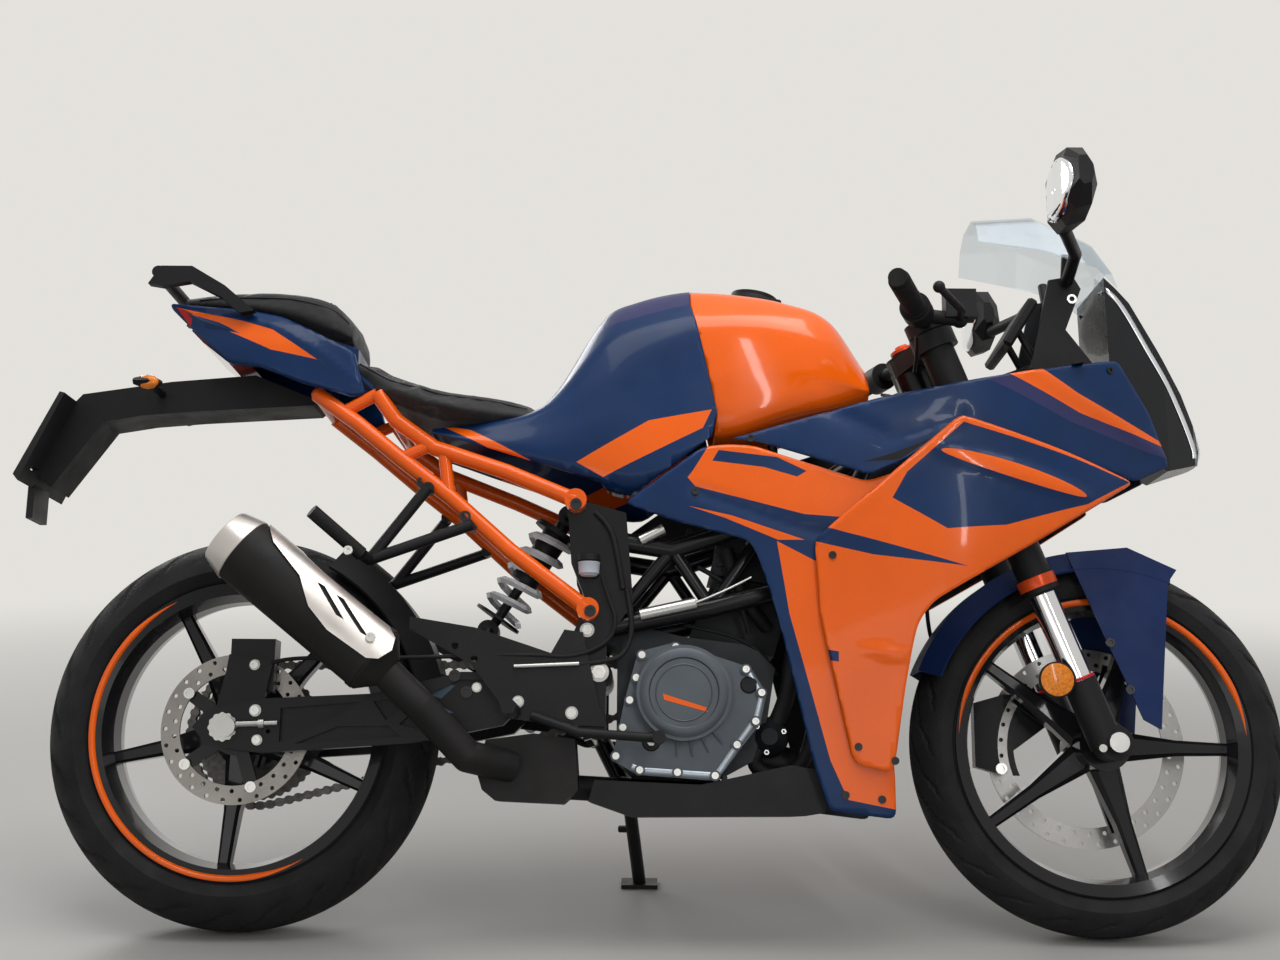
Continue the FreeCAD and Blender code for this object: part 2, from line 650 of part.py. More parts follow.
def build_swingarm():
    """Cast arm: a ribbed side plate each side, a bridge ahead of the tyre, a yoke to the pivot tube."""
    outer = arm_inner_y + arm_thick
    sides = []
    for side in (-1, 1):
        arm = slab(side_outline(arm_outline_shares), side * arm_inner_y, side * outer)
        for pocket in arm_pocket_shares:
            arm = arm.cut(slab(side_outline(pocket), side * (outer - pocket_depth), side * (outer + overrun)))
        sides.append(arm)
    bridge = slab(side_outline(bridge_shares), -arm_inner_y - overrun, arm_inner_y + overrun)
    yoke_body = slab(side_outline(yoke_shares), -yoke_half_width, yoke_half_width)
    window = slab(side_outline(yoke_window_shares), -yoke_half_width * 0.6, yoke_half_width * 0.6)
    tube = disc(pivot, pivot_tube_radius, -yoke_half_width, yoke_half_width)
    half = shock_eye_half + gap
    lugs = []
    for side in (-1, 1):
        step = across * (side * (half + brace_tube_radius))
        lugs.append(rod(place(-0.146, 0, 0.366) + step, shock_foot + step, brace_tube_radius))
    pin = rod(shock_foot - across * (half + brace_tube_radius), shock_foot + across * (half + brace_tube_radius),
              lever_radius)
    body = fused(sides + [bridge, yoke_body.cut(window), tube, pin] + lugs)
    for side in (-1, 1):
        body = body.cut(disc(place(*bobbin_share), bobbin_hole_radius, side * (outer - bobbin_hole_depth), side * (outer + overrun)))
    body = body.cut(disc(pivot, pivot_radius + gap, -outer - overrun, outer + overrun))
    return body.cut(disc(rear_axle, axle_radius + gap, -outer - overrun, outer + overrun))


def build_rear_axle():
    """Rear axle with spacers between hub and arms, and nuts outside the arms."""
    hub_right = -rear_hub_half - running_gap
    hub_left = chain_y + sprocket_thick / 2 + running_gap
    shapes = [axle(rear_axle, rear_axle_half)]
    shapes.append(disc(rear_axle, axle_nut_radius, hub_right, -arm_inner_y + gap))
    shapes.append(disc(rear_axle, axle_nut_radius, hub_left, arm_inner_y - gap))
    return fused(shapes)


def chain_outline(rear_radius, front_radius, front_centre):
    """The loop round two sprockets: an arc at each end and two straight runs that touch both."""
    run = rear_axle - front_centre
    span = math.hypot(run.x, run.z)
    lean = math.atan2(run.z, run.x)
    spread = math.pi - math.acos((rear_radius - front_radius) / span)
    def at(centre, radius, angle):
        return V(centre.x + radius * math.cos(angle), 0, centre.z + radius * math.sin(angle))
    back_high, back_low = lean - spread, lean + spread
    return Part.Wire([
        Part.Arc(at(rear_axle, rear_radius, back_high), at(rear_axle, rear_radius, lean),
                 at(rear_axle, rear_radius, back_low)).toShape(),
        Part.makeLine(at(rear_axle, rear_radius, back_low), at(front_centre, front_radius, back_low)),
        Part.Arc(at(front_centre, front_radius, back_low), at(front_centre, front_radius, lean + math.pi),
                 at(front_centre, front_radius, back_high)).toShape(),
        Part.makeLine(at(front_centre, front_radius, back_high), at(rear_axle, rear_radius, back_high)),
    ])


front_sprocket_share = (-0.026, 0, 0.388)
front_sprocket_centre = place(*front_sprocket_share)


def build_chain():
    """The drive chain as one closed loop of plates round both sprockets."""
    def pitch_radius(teeth):
        return chain_pitch / 2 / math.sin(math.pi / teeth)
    rear, front = pitch_radius(rear_sprocket_teeth), pitch_radius(front_sprocket_teeth)
    half = chain_half_height
    outer = Part.Face(chain_outline(rear + half, front + half, front_sprocket_centre))
    inner = Part.Face(chain_outline(rear - half, front - half, front_sprocket_centre))
    loop = outer.cut(inner).extrude(V(0, chain_width, 0))
    return loop.translated(V(0, chain_y - chain_width / 2, 0))


spring_radius = 34.0
spring_wire = 6.0
spring_turns = 5
spring_steps = 10
shock_rod_radius = 8.0
shock_body_radius = 23.0
shock_collar = 9.0


def along_shock(shape):
    """Turns a shape made on the Z axis onto the shock's line, its foot at the lower eye."""
    line = shock_top - shock_foot
    shape.rotate(V(0, 0, 0), across, math.degrees(math.atan2(line.x, line.z)))
    return shape.translated(shock_foot)


def build_shock():
    """Shock absorber: eye, rod, lower cup, body and top eye; the spring is a piece of its own."""
    length = (shock_top - shock_foot).Length
    cup = shock_eye_radius + spring_wire
    head = length - shock_eye_radius - spring_wire * 2
    pieces = [
        Part.makeCylinder(shock_rod_radius, length - cup, V(0, 0, 0)),
        Part.makeCylinder(spring_radius + spring_wire, shock_collar / 2, V(0, 0, cup)),
        Part.makeCylinder(shock_body_radius, length * 0.45, V(0, 0, head - length * 0.45)),
        Part.makeCylinder(spring_radius + spring_wire, shock_collar, V(0, 0, head - shock_collar)),
        Part.makeCylinder(shock_rod_radius * 1.5, length - head, V(0, 0, head)),
    ]
    for z in (0, length):
        pieces.append(Part.makeCylinder(shock_eye_radius, shock_eye_half * 2, V(0, -shock_eye_half, z), across))
    body = fused(pieces)
    for z in (0, length):
        body = body.cut(Part.makeCylinder(lever_radius + gap, body_half_width, V(0, -body_half_width / 2, z), across))
    return along_shock(body)


def build_spring():
    """The coil spring round the shock, from the lower cup to the collar."""
    length = (shock_top - shock_foot).Length
    start = shock_eye_radius + spring_wire + shock_collar / 2 + spring_wire + gap
    stop = length - shock_eye_radius - spring_wire * 2 - shock_collar - spring_wire - gap
    sections = []
    for step in range(int(spring_turns * spring_steps) + 1):
        angle = 2 * math.pi * step / spring_steps
        outward, turn = V(math.cos(angle), math.sin(angle), 0), V(0, 0, 1)
        middle = outward * spring_radius + turn * (start + (stop - start) * step / spring_turns / spring_steps)
        sections.append([middle + outward * spring_wire, middle + turn * spring_wire,
                         middle - outward * spring_wire, middle - turn * spring_wire])
    return along_shock(lofted(sections))


guard_shares = [(-0.240, 0.565), (-0.182, 0.530), (-0.132, 0.474), (-0.100, 0.430), (-0.112, 0.405),
                (-0.135, 0.392), (-0.208, 0.470), (-0.250, 0.530)]
guard_half_width = 80.0
guard_toe_share = (-0.150, 0, 0.366)
rear_caliper_ahead_share = 0.222
rear_caliper_above_share = 0.835
rear_caliper_size_shares = (0.591, 0.713)


def build_chain_guard():
    """Black inner fender ahead of the rear tyre: an arched plate over the bridge of the swingarm."""
    wall = panel_wall
    radius = rear_tyre_radius + fender_gap * 1.5
    start, end = 14.0, 62.0
    hoop = arc_band(rear_axle, radius, wall, guard_half_width, end, start)
    heel = rear_axle + V(radius * math.cos(math.radians(start)), 0, radius * math.sin(math.radians(start)))
    toe = place(*guard_toe_share)
    foot = slab([(heel.x, heel.z), (toe.x, toe.z), (toe.x, toe.z + wall * 1.7), (heel.x, heel.z + wall * 4)],
                -guard_half_width / 2, guard_half_width / 2)
    return fused([hoop, foot])


def build_rear_caliper():
    """Caliper over the top of the rear disc, with its bracket down to the axle."""
    middle = rear_axle + V(rear_disc_radius * rear_caliper_ahead_share, 0, rear_disc_radius * rear_caliper_above_share)
    length, height = [rear_disc_radius * share for share in rear_caliper_size_shares]
    low = V(middle.x - length / 2, rear_disc_y - disc_seat * 2, middle.z - height / 2)
    high = V(middle.x + length / 2, rear_disc_y + disc_seat * 1.2, middle.z + height / 2)
    body = box_between(low, high)
    body = body.cut(disc(rear_axle, rear_disc_radius + disc_seat / 2, rear_disc_y - disc_thick,
                         rear_disc_y + disc_thick))
    body = body.cut(disc(rear_axle, rear_disc_inner - disc_seat / 2, low.y - overrun, high.y + overrun))
    body = body.cut(disc(rear_axle, rear_disc_inner + disc_seat * 1.5, rear_disc_y, high.y + overrun))
    outer = -arm_inner_y + gap
    inner = rear_disc_y - disc_thick - running_gap
    bracket = [(rear_axle.x - hub_radius * 0.7, rear_axle.z + hub_radius * 0.3),
               (rear_axle.x - hub_radius * 0.3, rear_axle.z + rear_disc_inner),
               (low.x, high.z - height * 0.3), (high.x, high.z - height * 0.4),
               (rear_axle.x + hub_radius * 1.2, rear_axle.z + hub_radius),
               (rear_axle.x + hub_radius * 0.7, rear_axle.z - hub_radius * 0.5),
               (rear_axle.x, rear_axle.z - hub_radius * 0.7)]
    plate = slab(bracket, outer, min(inner, low.y))
    whole = fused([body, plate])
    return whole.cut(disc(rear_axle, axle_nut_radius + gap, -rear_axle_half * 2, 0))


# Engine, radiator and exhaust

case_shares = [(-0.042, 0.262), (-0.030, 0.240), (0.034, 0.232), (0.062, 0.262), (0.074, 0.330), (0.080, 0.405),
               (0.062, 0.440), (0.010, 0.452), (-0.034, 0.472), (-0.062, 0.472), (-0.062, 0.448), (-0.042, 0.436)]
case_half_width = 84.0
barrel_shares = [(0.014, 0.456), (0.080, 0.425), (0.096, 0.530), (0.034, 0.552)]
head_shares = [(0.030, 0.553), (0.100, 0.530), (0.112, 0.604), (0.098, 0.618), (0.050, 0.625), (0.036, 0.602)]
barrel_half_width = 58.0
head_half_width = 74.0
cover_shares = [(-0.026, 0.425), (0.002, 0.440), (0.060, 0.402), (0.072, 0.364), (0.067, 0.318),
                (0.052, 0.280), (0.034, 0.232), (-0.026, 0.240), (-0.045, 0.262), (-0.036, 0.350)]
clutch_share = (0.009, 0, 0.362)
clutch_radius = 72.0
clutch_ring_radius = 52.0
cover_thick = 34.0
clutch_rise = 20.0
clutch_dish = 4.0
alternator_share = (0.032, 0, 0.345)
alternator_radius = 58.0
alternator_rise = 34.0
cover_rib = 5.0
radiator_share = (0.156, 0, 0.480)
radiator_width = 250.0
radiator_height = 210.0
radiator_thick = 30.0
radiator_tilt = 14.0
radiator_fin = 2.0
radiator_fins = 14
radiator_tank_width = 24.0
radiator_hanger_share = (0.119, 0.449, 0.590)
header_shares = [(0.104, 0.0, 0.575), (0.122, 0.06, 0.560), (0.126, 0.10, 0.500), (0.118, 0.10, 0.300),
                 (0.096, 0.08, 0.214), (0.050, 0.0, 0.2115), (-0.080, -0.26, 0.2225)]
header_radius = 19.0
collector_shares = [(-0.147, 0.246), (-0.140, 0.290), (-0.104, 0.300), (-0.073, 0.292), (-0.070, 0.217),
                    (-0.082, 0.196), (-0.132, 0.200), (-0.142, 0.216)]
collector_inner_y = 30.0
collector_outer_y = 128.0
link_shares = [(-0.120, -0.60, 0.250), (-0.152, -0.78, 0.264), (-0.186, -0.90, 0.334), (-0.214, -0.94, 0.388)]
link_radius = 24.0
silencer_front_share = (-0.210, -0.94, 0.384)
silencer_rear_share = (-0.334, -1.02, 0.583)
silencer_radius = 52.0
silencer_cap_length = 34.0
silencer_bore = 18.0
silencer_cone = 26.0
shield_shares = [(-0.302, 0.602), (-0.289, 0.590), (-0.274, 0.555), (-0.259, 0.528), (-0.240, 0.497),
                 (-0.210, 0.451), (-0.204, 0.432), (-0.205, 0.412), (-0.214, 0.399), (-0.223, 0.400),
                 (-0.252, 0.440), (-0.266, 0.474), (-0.274, 0.520), (-0.295, 0.570)]
shield_slot_shares = [[(-0.262, 0.512), (-0.256, 0.505), (-0.240, 0.455), (-0.246, 0.462)],
                      [(-0.248, 0.494), (-0.242, 0.487), (-0.222, 0.430), (-0.228, 0.437)]]
shield_wall = 2.5


def build_engine_case():
    """Crankcase with the round alternator cover and sprocket cover on the left."""
    body = slab(side_outline(case_shares), -case_half_width, case_half_width)
    centre = place(*alternator_share)
    side = case_half_width
    cover = disc(centre, alternator_radius, side, side + alternator_rise)
    cap = disc(centre, alternator_radius * 0.62, side + alternator_rise, side + alternator_rise + clutch_dish)
    ribs = []
    for number in range(6):
        rib = Part.makeBox(alternator_radius * 1.06, alternator_rise * 0.6, cover_rib,
                           V(0, side, -cover_rib / 2))
        rib.rotate(V(0, 0, 0), across, 60 * number)
        ribs.append(rib.translated(V(centre.x, 0, centre.z)))
    return fused([body, cover, cap] + ribs)


def build_engine_top():
    """Cylinder and head, leaning forward, with a wider head cover."""
    barrel = slab(side_outline(barrel_shares), -barrel_half_width, barrel_half_width)
    head = slab(side_outline(head_shares), -head_half_width, head_half_width)
    case = slab(side_outline(case_shares), -case_half_width, case_half_width)
    ribs = []
    for number in range(3):
        z = body_height * (0.565 + 0.02 * number)
        ribs.append(box_between(V(body_length * 0.036, -head_half_width - cover_rib, z),
                                V(body_length * 0.104, head_half_width + cover_rib, z + cover_rib)))
    return fused([barrel, head] + ribs).cut(case)


def build_clutch_cover():
    """Right engine cover: a flat rim, and a round dish over the clutch with a raised ring."""
    centre = place(*clutch_share)
    inner = -case_half_width - gap
    base = slab(side_outline(cover_shares), inner, inner - cover_thick)
    ring = disc(centre, clutch_radius, inner - cover_thick, inner - cover_thick - clutch_rise)
    face = inner - cover_thick - clutch_rise
    dish = disc(centre, clutch_ring_radius + clutch_dish, face + clutch_dish, face - overrun)
    boss = disc(centre, clutch_ring_radius, face + clutch_dish, face)
    bolts = []
    for x, z in side_outline(cover_shares):
        toward = V(centre.x - x, 0, centre.z - z).normalize() * clutch_dish * 2
        bolts.append(disc(V(x + toward.x, 0, z + toward.z), clutch_dish * 2, inner, inner - cover_thick - clutch_dish))
    return fused([base, ring.cut(dish), boss] + bolts)


def build_radiator(frame):
    """Cooler behind the front wheel: two end tanks and a core with deep fins on its face."""
    half_w, half_h, half_t = radiator_width / 2, radiator_height / 2, radiator_thick / 2
    core = box_between(V(-half_t, -half_w, -half_h), V(half_t - radiator_fin * 2, half_w, half_h))
    shapes = [core]
    for side in (-1, 1):
        edge = side * (half_w - radiator_tank_width / 2)
        shapes.append(box_between(V(-half_t, edge - radiator_tank_width / 2, -half_h),
                                  V(half_t, edge + radiator_tank_width / 2, half_h)))
    pitch = radiator_height / radiator_fins
    for number in range(radiator_fins):
        z = -half_h + pitch * (number + 0.5)
        shapes.append(box_between(V(-half_t, -half_w, z - radiator_fin / 2), V(half_t - radiator_fin / 2, half_w, z + radiator_fin / 2)))
    body = fused(shapes)
    body.rotate(V(0, 0, 0), across, -radiator_tilt)
    body = body.translated(place(*radiator_share))
    hangers = []
    for side in (-1, 1):
        foot = place(*radiator_share) + V(-half_t, side * (half_w - radiator_tank_width), half_h * 0.9)
        x, y, z = radiator_hanger_share
        hangers.append(rod(foot, place(x, side * y, z), boss_radius))
    return fused([body] + hangers).cut(frame)


def build_exhaust():
    """Header pipe down the front of the engine and under it to the collector box and its outlet."""
    header = tube_run([place(x, y, z) for x, y, z in header_shares], header_radius)
    box = slab(side_outline(collector_shares), -collector_inner_y, -collector_outer_y)
    link = tube_run([place(x, y, z) for x, y, z in link_shares], link_radius)
    return fused([header, box, link])


def silencer_line():
    return place(*silencer_front_share), place(*silencer_rear_share)


def build_silencer():
    """Short round silencer with a bright end cap, dished round its outlet."""
    front, rear = silencer_line()
    run = (rear - front).normalize()
    length = (rear - front).Length
    cone = Part.makeCone(link_radius + gap * 2, silencer_radius, silencer_cone, front, run)
    can = rod(front + run * silencer_cone, rear - run * silencer_cap_length, silencer_radius)
    cap = Part.makeCone(silencer_radius, silencer_radius * 0.82, silencer_cap_length,
                        rear - run * silencer_cap_length, run)
    outlet = rod(rear - run * silencer_cap_length * 1.5, rear + run * overrun, silencer_bore)
    dish = Part.makeCone(silencer_bore, silencer_radius * 0.66, silencer_cap_length / 3,
                         rear - run * (silencer_cap_length / 3 - overrun / 4), run)
    ear = front * 0.42 + rear * 0.58 + V(0, 0, silencer_radius)
    lug = disc(ear, subframe_boss_radius * 0.8, ear.y - pocket_depth, ear.y + pocket_depth)
    body = fused([cone, can, cap, lug]).cut(outlet).cut(dish)
    return body.cut(tube_run([place(x, y, z) for x, y, z in link_shares], link_radius + gap))


def build_shield():
    """Steel heat shield, wrapped round the outer side of the silencer, with two slanted slots."""
    front, rear = silencer_line()
    run = (rear - front).normalize()
    start, stop = front - run * silencer_cone, rear + run * silencer_cone
    wrap = pipe(start, stop, silencer_radius + gap * 2 + shield_wall, silencer_radius + gap * 2)
    outer_y = front.y - silencer_radius * 2
    plate = wrap.common(slab(side_outline(shield_shares), front.y - shield_wall * 3, outer_y))
    for slot in shield_slot_shares:
        plate = plate.cut(slab(side_outline(slot), front.y, outer_y))
    return plate


# Tank, seats and tail

tank_shares = [
    (0.158, [(0.895, 0.0), (0.890, 0.22), (0.868, 0.34), (0.850, 0.40), (0.838, 0.30), (0.835, 0.0)]),
    (0.128, [(0.984, 0.0), (0.972, 0.30), (0.925, 0.46), (0.862, 0.52), (0.820, 0.46), (0.812, 0.0)]),
    (0.090, [(1.012, 0.0), (1.000, 0.36), (0.945, 0.58), (0.870, 0.64), (0.800, 0.60), (0.775, 0.0)]),
    (0.050, [(1.026, 0.0), (1.012, 0.38), (0.950, 0.64), (0.860, 0.69), (0.772, 0.62), (0.752, 0.0)]),
    (0.028, [(1.030, 0.0), (1.016, 0.38), (0.950, 0.64), (0.860, 0.69), (0.765, 0.62), (0.748, 0.0)]),
]
tank_cut_shares = [(-0.20, 1.20), (0.013, 1.20), (0.013, 0.985), (0.020, 0.930), (0.034, 0.797),
                   (0.030, 0.740), (0.030, 0.50), (-0.20, 0.50)]
cover_body_shares = [
    (0.045, [(1.026, 0.0), (1.012, 0.38), (0.950, 0.66), (0.860, 0.72), (0.745, 0.72), (0.740, 0.0)]),
    (0.012, [(1.030, 0.0), (1.016, 0.38), (0.950, 0.66), (0.860, 0.72), (0.700, 0.74), (0.690, 0.0)]),
    (-0.030, [(1.012, 0.0), (0.998, 0.36), (0.935, 0.62), (0.850, 0.70), (0.680, 0.74), (0.670, 0.0)]),
    (-0.056, [(0.985, 0.0), (0.970, 0.34), (0.915, 0.58), (0.840, 0.68), (0.690, 0.72), (0.680, 0.0)]),
    (-0.1025, [(0.828, 0.0), (0.826, 0.34), (0.815, 0.54), (0.795, 0.62), (0.715, 0.66), (0.700, 0.0)]),
    (-0.1040, [(0.795, 0.0), (0.795, 0.34), (0.792, 0.54), (0.780, 0.62), (0.715, 0.66), (0.700, 0.0)]),
    (-0.150, [(0.791, 0.0), (0.791, 0.30), (0.788, 0.50), (0.776, 0.56), (0.742, 0.60), (0.738, 0.0)]),
    (-0.190, [(0.783, 0.0), (0.783, 0.30), (0.781, 0.44), (0.777, 0.50), (0.765, 0.52), (0.762, 0.0)]),
]
rider_seat_shares = [
    (-0.105, [(0.826, 0.0), (0.824, 0.30), (0.808, 0.44), (0.7955, 0.40), (0.7955, 0.0)]),
    (-0.140, [(0.832, 0.0), (0.828, 0.44), (0.808, 0.60), (0.7925, 0.58), (0.7925, 0.0)]),
    (-0.185, [(0.842, 0.0), (0.836, 0.56), (0.812, 0.72), (0.798, 0.68), (0.798, 0.0)]),
    (-0.226, [(0.876, 0.0), (0.866, 0.50), (0.845, 0.62), (0.828, 0.58), (0.828, 0.0)]),
    (-0.246, [(0.903, 0.0), (0.893, 0.40), (0.878, 0.46), (0.862, 0.42), (0.862, 0.0)]),
    (-0.256, [(0.910, 0.0), (0.903, 0.36), (0.892, 0.42), (0.880, 0.38), (0.880, 0.0)]),
]
pillion_seat_shares = [
    (-0.257, [(0.960, 0.0), (0.950, 0.36), (0.930, 0.46), (0.918, 0.42), (0.918, 0.0)]),
    (-0.275, [(0.998, 0.0), (0.984, 0.46), (0.950, 0.56), (0.930, 0.52), (0.930, 0.0)]),
    (-0.310, [(1.016, 0.0), (1.000, 0.46), (0.974, 0.56), (0.958, 0.52), (0.958, 0.0)]),
    (-0.358, [(1.020, 0.0), (1.006, 0.38), (0.988, 0.46), (0.978, 0.42), (0.978, 0.0)]),
    (-0.404, [(1.012, 0.0), (1.006, 0.24), (0.998, 0.30), (0.992, 0.26), (0.992, 0.0)]),
]
cap_share = (0.068, 0, 1.0225)
filler_radius = 42.0
filler_ring = 7.0
filler_height = 9.0
lid_height = 7.0
hinge_radius = 4.0


def full_body(stations):
    """A closed body from half sections: x, then z, y shares from the top middle to the bottom middle."""
    sections = []
    for x_share, rows in stations:
        right = [place(x_share, -y, z) for z, y in rows]
        left = [place(x_share, y, z) for z, y in reversed(rows) if y]
        sections.append(right + left)
    return lofted(sections)


def filler_placed(shape):
    """Seats a shape made flat at the origin onto the tank's top, at the slope there."""
    (low_x, low_z), (high_x, high_z) = [(body_length * x, body_height * rows[0][0]) for x, rows in
                                        (tank_shares[2], tank_shares[3])]
    shape.rotate(V(0, 0, 0), across, math.degrees(math.atan2(high_z - low_z, low_x - high_x)))
    return shape.translated(place(*cap_share))


def build_tank():
    """Fuel tank: faceted body with the filler's ring on top."""
    body = full_body(tank_shares)
    ring = Part.makeCylinder(filler_radius, filler_height, V(0, 0, -filler_height / 2))
    hinge = box_between(V(filler_radius - hinge_radius, -hinge_radius * 3, -filler_height / 2),
                        V(filler_radius + hinge_radius, hinge_radius * 3, filler_height / 2))
    whole = fused([body, filler_placed(ring.fuse(hinge))])
    return whole.cut(slab(side_outline(tank_cut_shares), -body_half_width, body_half_width))


def build_filler_lid():
    """Round lid over the filler, hinged at its front edge."""
    base = filler_height / 2 + gap
    plate = Part.makeCylinder(filler_radius - filler_ring / 2, lid_height, V(0, 0, base))
    tab = Part.makeBox(filler_ring, hinge_radius * 2, lid_height, V(-filler_radius + filler_ring, -hinge_radius, base))
    knuckle = Part.makeCylinder(hinge_radius, hinge_radius * 4, V(filler_radius, -hinge_radius * 2, base + hinge_radius), across)
    arm = box_between(V(filler_radius / 2, -hinge_radius * 2, base), V(filler_radius, hinge_radius * 2, base + hinge_radius * 2))
    return filler_placed(fused([plate, tab, knuckle, arm]))


def build_tank_cover():
    """Navy cover behind the tank, with long side tails under the seat."""
    body = full_body(cover_body_shares)
    fence = [(0.034, 0.797), (0.020, 0.930), (0.013, 0.985), (0.013, 1.20), (-0.24, 1.20), (-0.24, 0.5), (0.030, 0.50),
             (0.030, 0.740)]
    body = body.common(slab(side_outline(fence), -body_half_width, body_half_width))
    edge = [(0.030, 0.757), (-0.026, 0.671), (-0.044, 0.667), (-0.057, 0.686), (-0.189, 0.770), (-0.2, 0.5), (0.06, 0.5)]
    body = body.cut(slab(side_outline(edge), -body_half_width, body_half_width))
    room = [(0.040, 0.780), (0.0, 0.800), (-0.040, 0.770), (-0.100, 0.755), (-0.20, 0.755), (-0.20, 0.60), (0.05, 0.60)]
    hollow = slab(side_outline(room), -body_half_width * 0.66, body_half_width * 0.66)
    return body.cut(hollow)


def build_rider_seat():
    """Rider's seat pad."""
    return full_body(rider_seat_shares)


def build_pillion_seat():
    """Passenger's seat pad on the tail."""
    return full_body(pillion_seat_shares)


grab_blade_shares = [(-0.335, 0.966), (-0.360, 1.008), (-0.387, 1.040), (-0.412, 1.040), (-0.4215, 1.010),
                     (-0.410, 1.006), (-0.388, 1.014), (-0.362, 0.988), (-0.347, 0.962)]
grab_inner_share = 0.52
grab_outer_share = 0.60
grab_foot_share = (-0.342, 0, 0.9665)
grab_foot_reach_share = 0.40
tail_shares = [
    (-0.240, [(0.880, 0.44), (0.850, 0.52), (0.826, 0.50)]),
    (-0.262, [(0.917, 0.46), (0.870, 0.56), (0.826, 0.54)]),
    (-0.312, [(0.962, 0.46), (0.915, 0.58), (0.848, 0.54)]),
    (-0.345, [(0.976, 0.42), (0.930, 0.54), (0.874, 0.46)]),
    (-0.378, [(0.986, 0.34), (0.955, 0.46), (0.915, 0.38)]),
    (-0.409, [(0.997, 0.24), (0.990, 0.34), (0.984, 0.26)]),
]
tail_side_shares = [(-0.412, 1.02), (-0.409, 0.994), (-0.344, 0.975), (-0.314, 0.9615), (-0.255, 0.902), (-0.245, 0.831),
                    (-0.256, 0.829), (-0.296, 0.850), (-0.330, 0.877), (-0.355, 0.884), (-0.376, 0.920), (-0.409, 0.985)]
lamp_shares = [(-0.404, 0.984), (-0.380, 0.924), (-0.358, 0.890), (-0.344, 0.896), (-0.356, 0.926), (-0.384, 0.968)]
plate_arm_shares = [(-0.340, 0.880), (-0.408, 0.868), (-0.480, 0.846), (-0.4855, 0.8335), (-0.5122, 0.712),
                    (-0.500, 0.690), (-0.462, 0.800), (-0.430, 0.811), (-0.390, 0.818), (-0.292, 0.830), (-0.288, 0.838)]
plate_arm_half = 42.0
number_plate_shares = [(-0.4885, 0.835), (-0.5200, 0.700), (-0.5160, 0.690), (-0.4845, 0.833)]
number_plate_half = 100.0
plate_thick = 3.0
indicator_share = (-0.415, 0.56, 0.846)
indicator_length = 38.0
indicator_radius = 13.0
reflector_share = (-0.5165, 0, 0.690)
reflector_height = 26.0
reflector_half = 32.0
reflector_thick = 7.0


def build_grab_rail():
    """Black handles beside the passenger's seat, joined across behind it."""
    inner, outer = body_half_width * grab_inner_share, body_half_width * grab_outer_share
    blade = slab(side_outline(grab_blade_shares), -inner, -outer)
    cross = rod(place(-0.414, -grab_outer_share, 1.030), place(-0.414, grab_outer_share, 1.030), brace_tube_radius)
    feet = []
    for side in (-1, 1):
        foot = disc(place(*grab_foot_share), boss_radius, side * inner, side * body_half_width * grab_foot_reach_share)
        feet.append(foot.cut(inner_side_of(tail_shares, side)))
    return fused([blade, mirrored(blade), cross] + feet)


def build_tail(subframe):
    """Tail fairing: a thin panel each side, joined by a deck under the seat."""
    panels = []
    for side in (-1, 1):
        panel = skin(tail_shares, side, panel_wall)
        panels.append(panel.common(slab(side_outline(tail_side_shares), 0, side * body_half_width)))
    decks = []
    for stations, half_share in ((rider_seat_shares[3:], 0.46), (pillion_seat_shares[:4], 0.40)):
        top = [(body_length * x, body_height * rows[-1][0] - gap) for x, rows in stations]
        under = [(x, z - panel_wall * 2) for x, z in reversed(top)]
        decks.append(slab(top + under, -body_half_width * half_share, body_half_width * half_share))
    posts = []
    for side in (-1, 1):
        foot = place(-0.285, side * 0.30, 0.838)
        posts.append(rod(foot, V(foot.x, foot.y, body_height * 0.930), boss_radius))
    link = slab(side_outline([(-0.2535, 0.868), (-0.2615, 0.868), (-0.2615, 0.918), (-0.2535, 0.914)]),
                -body_half_width * 0.40, body_half_width * 0.40)
    return fused(panels + decks + posts + [link]).cut(subframe)


def build_tail_lamp():
    """Wedge-shaped lamp between the ends of the tail panels."""
    half = body_half_width * 0.40
    return slab(side_outline(lamp_shares), -half, half)


def build_plate_arm():
    """Black arm behind the seat that carries the plate and the indicators."""
    return slab(side_outline(plate_arm_shares), -plate_arm_half, plate_arm_half)


def build_number_plate():
    """Blank plate with two mounting slots, and a red reflector under it."""
    plate = slab(side_outline(number_plate_shares), -number_plate_half, number_plate_half)
    slots = []
    for side in (-1, 1):
        x, z = body_length * -0.5145, body_height * 0.712
        y = side * number_plate_half * 0.6
        slots.append(Part.makeBox(reflector_thick * 4, reflector_half, reflector_thick, V(x - reflector_thick * 2, y - reflector_half / 2, z)))
    for slot in slots:
        plate = plate.cut(slot)
    centre = place(*reflector_share) - V(0, 0, reflector_height * 1.35)
    lens = box_between(V(centre.x - reflector_thick, -reflector_half, centre.z - reflector_height / 2),
                       V(centre.x + reflector_thick * 0.6, reflector_half, centre.z + reflector_height * 1.6))
    return fused([plate, lens])


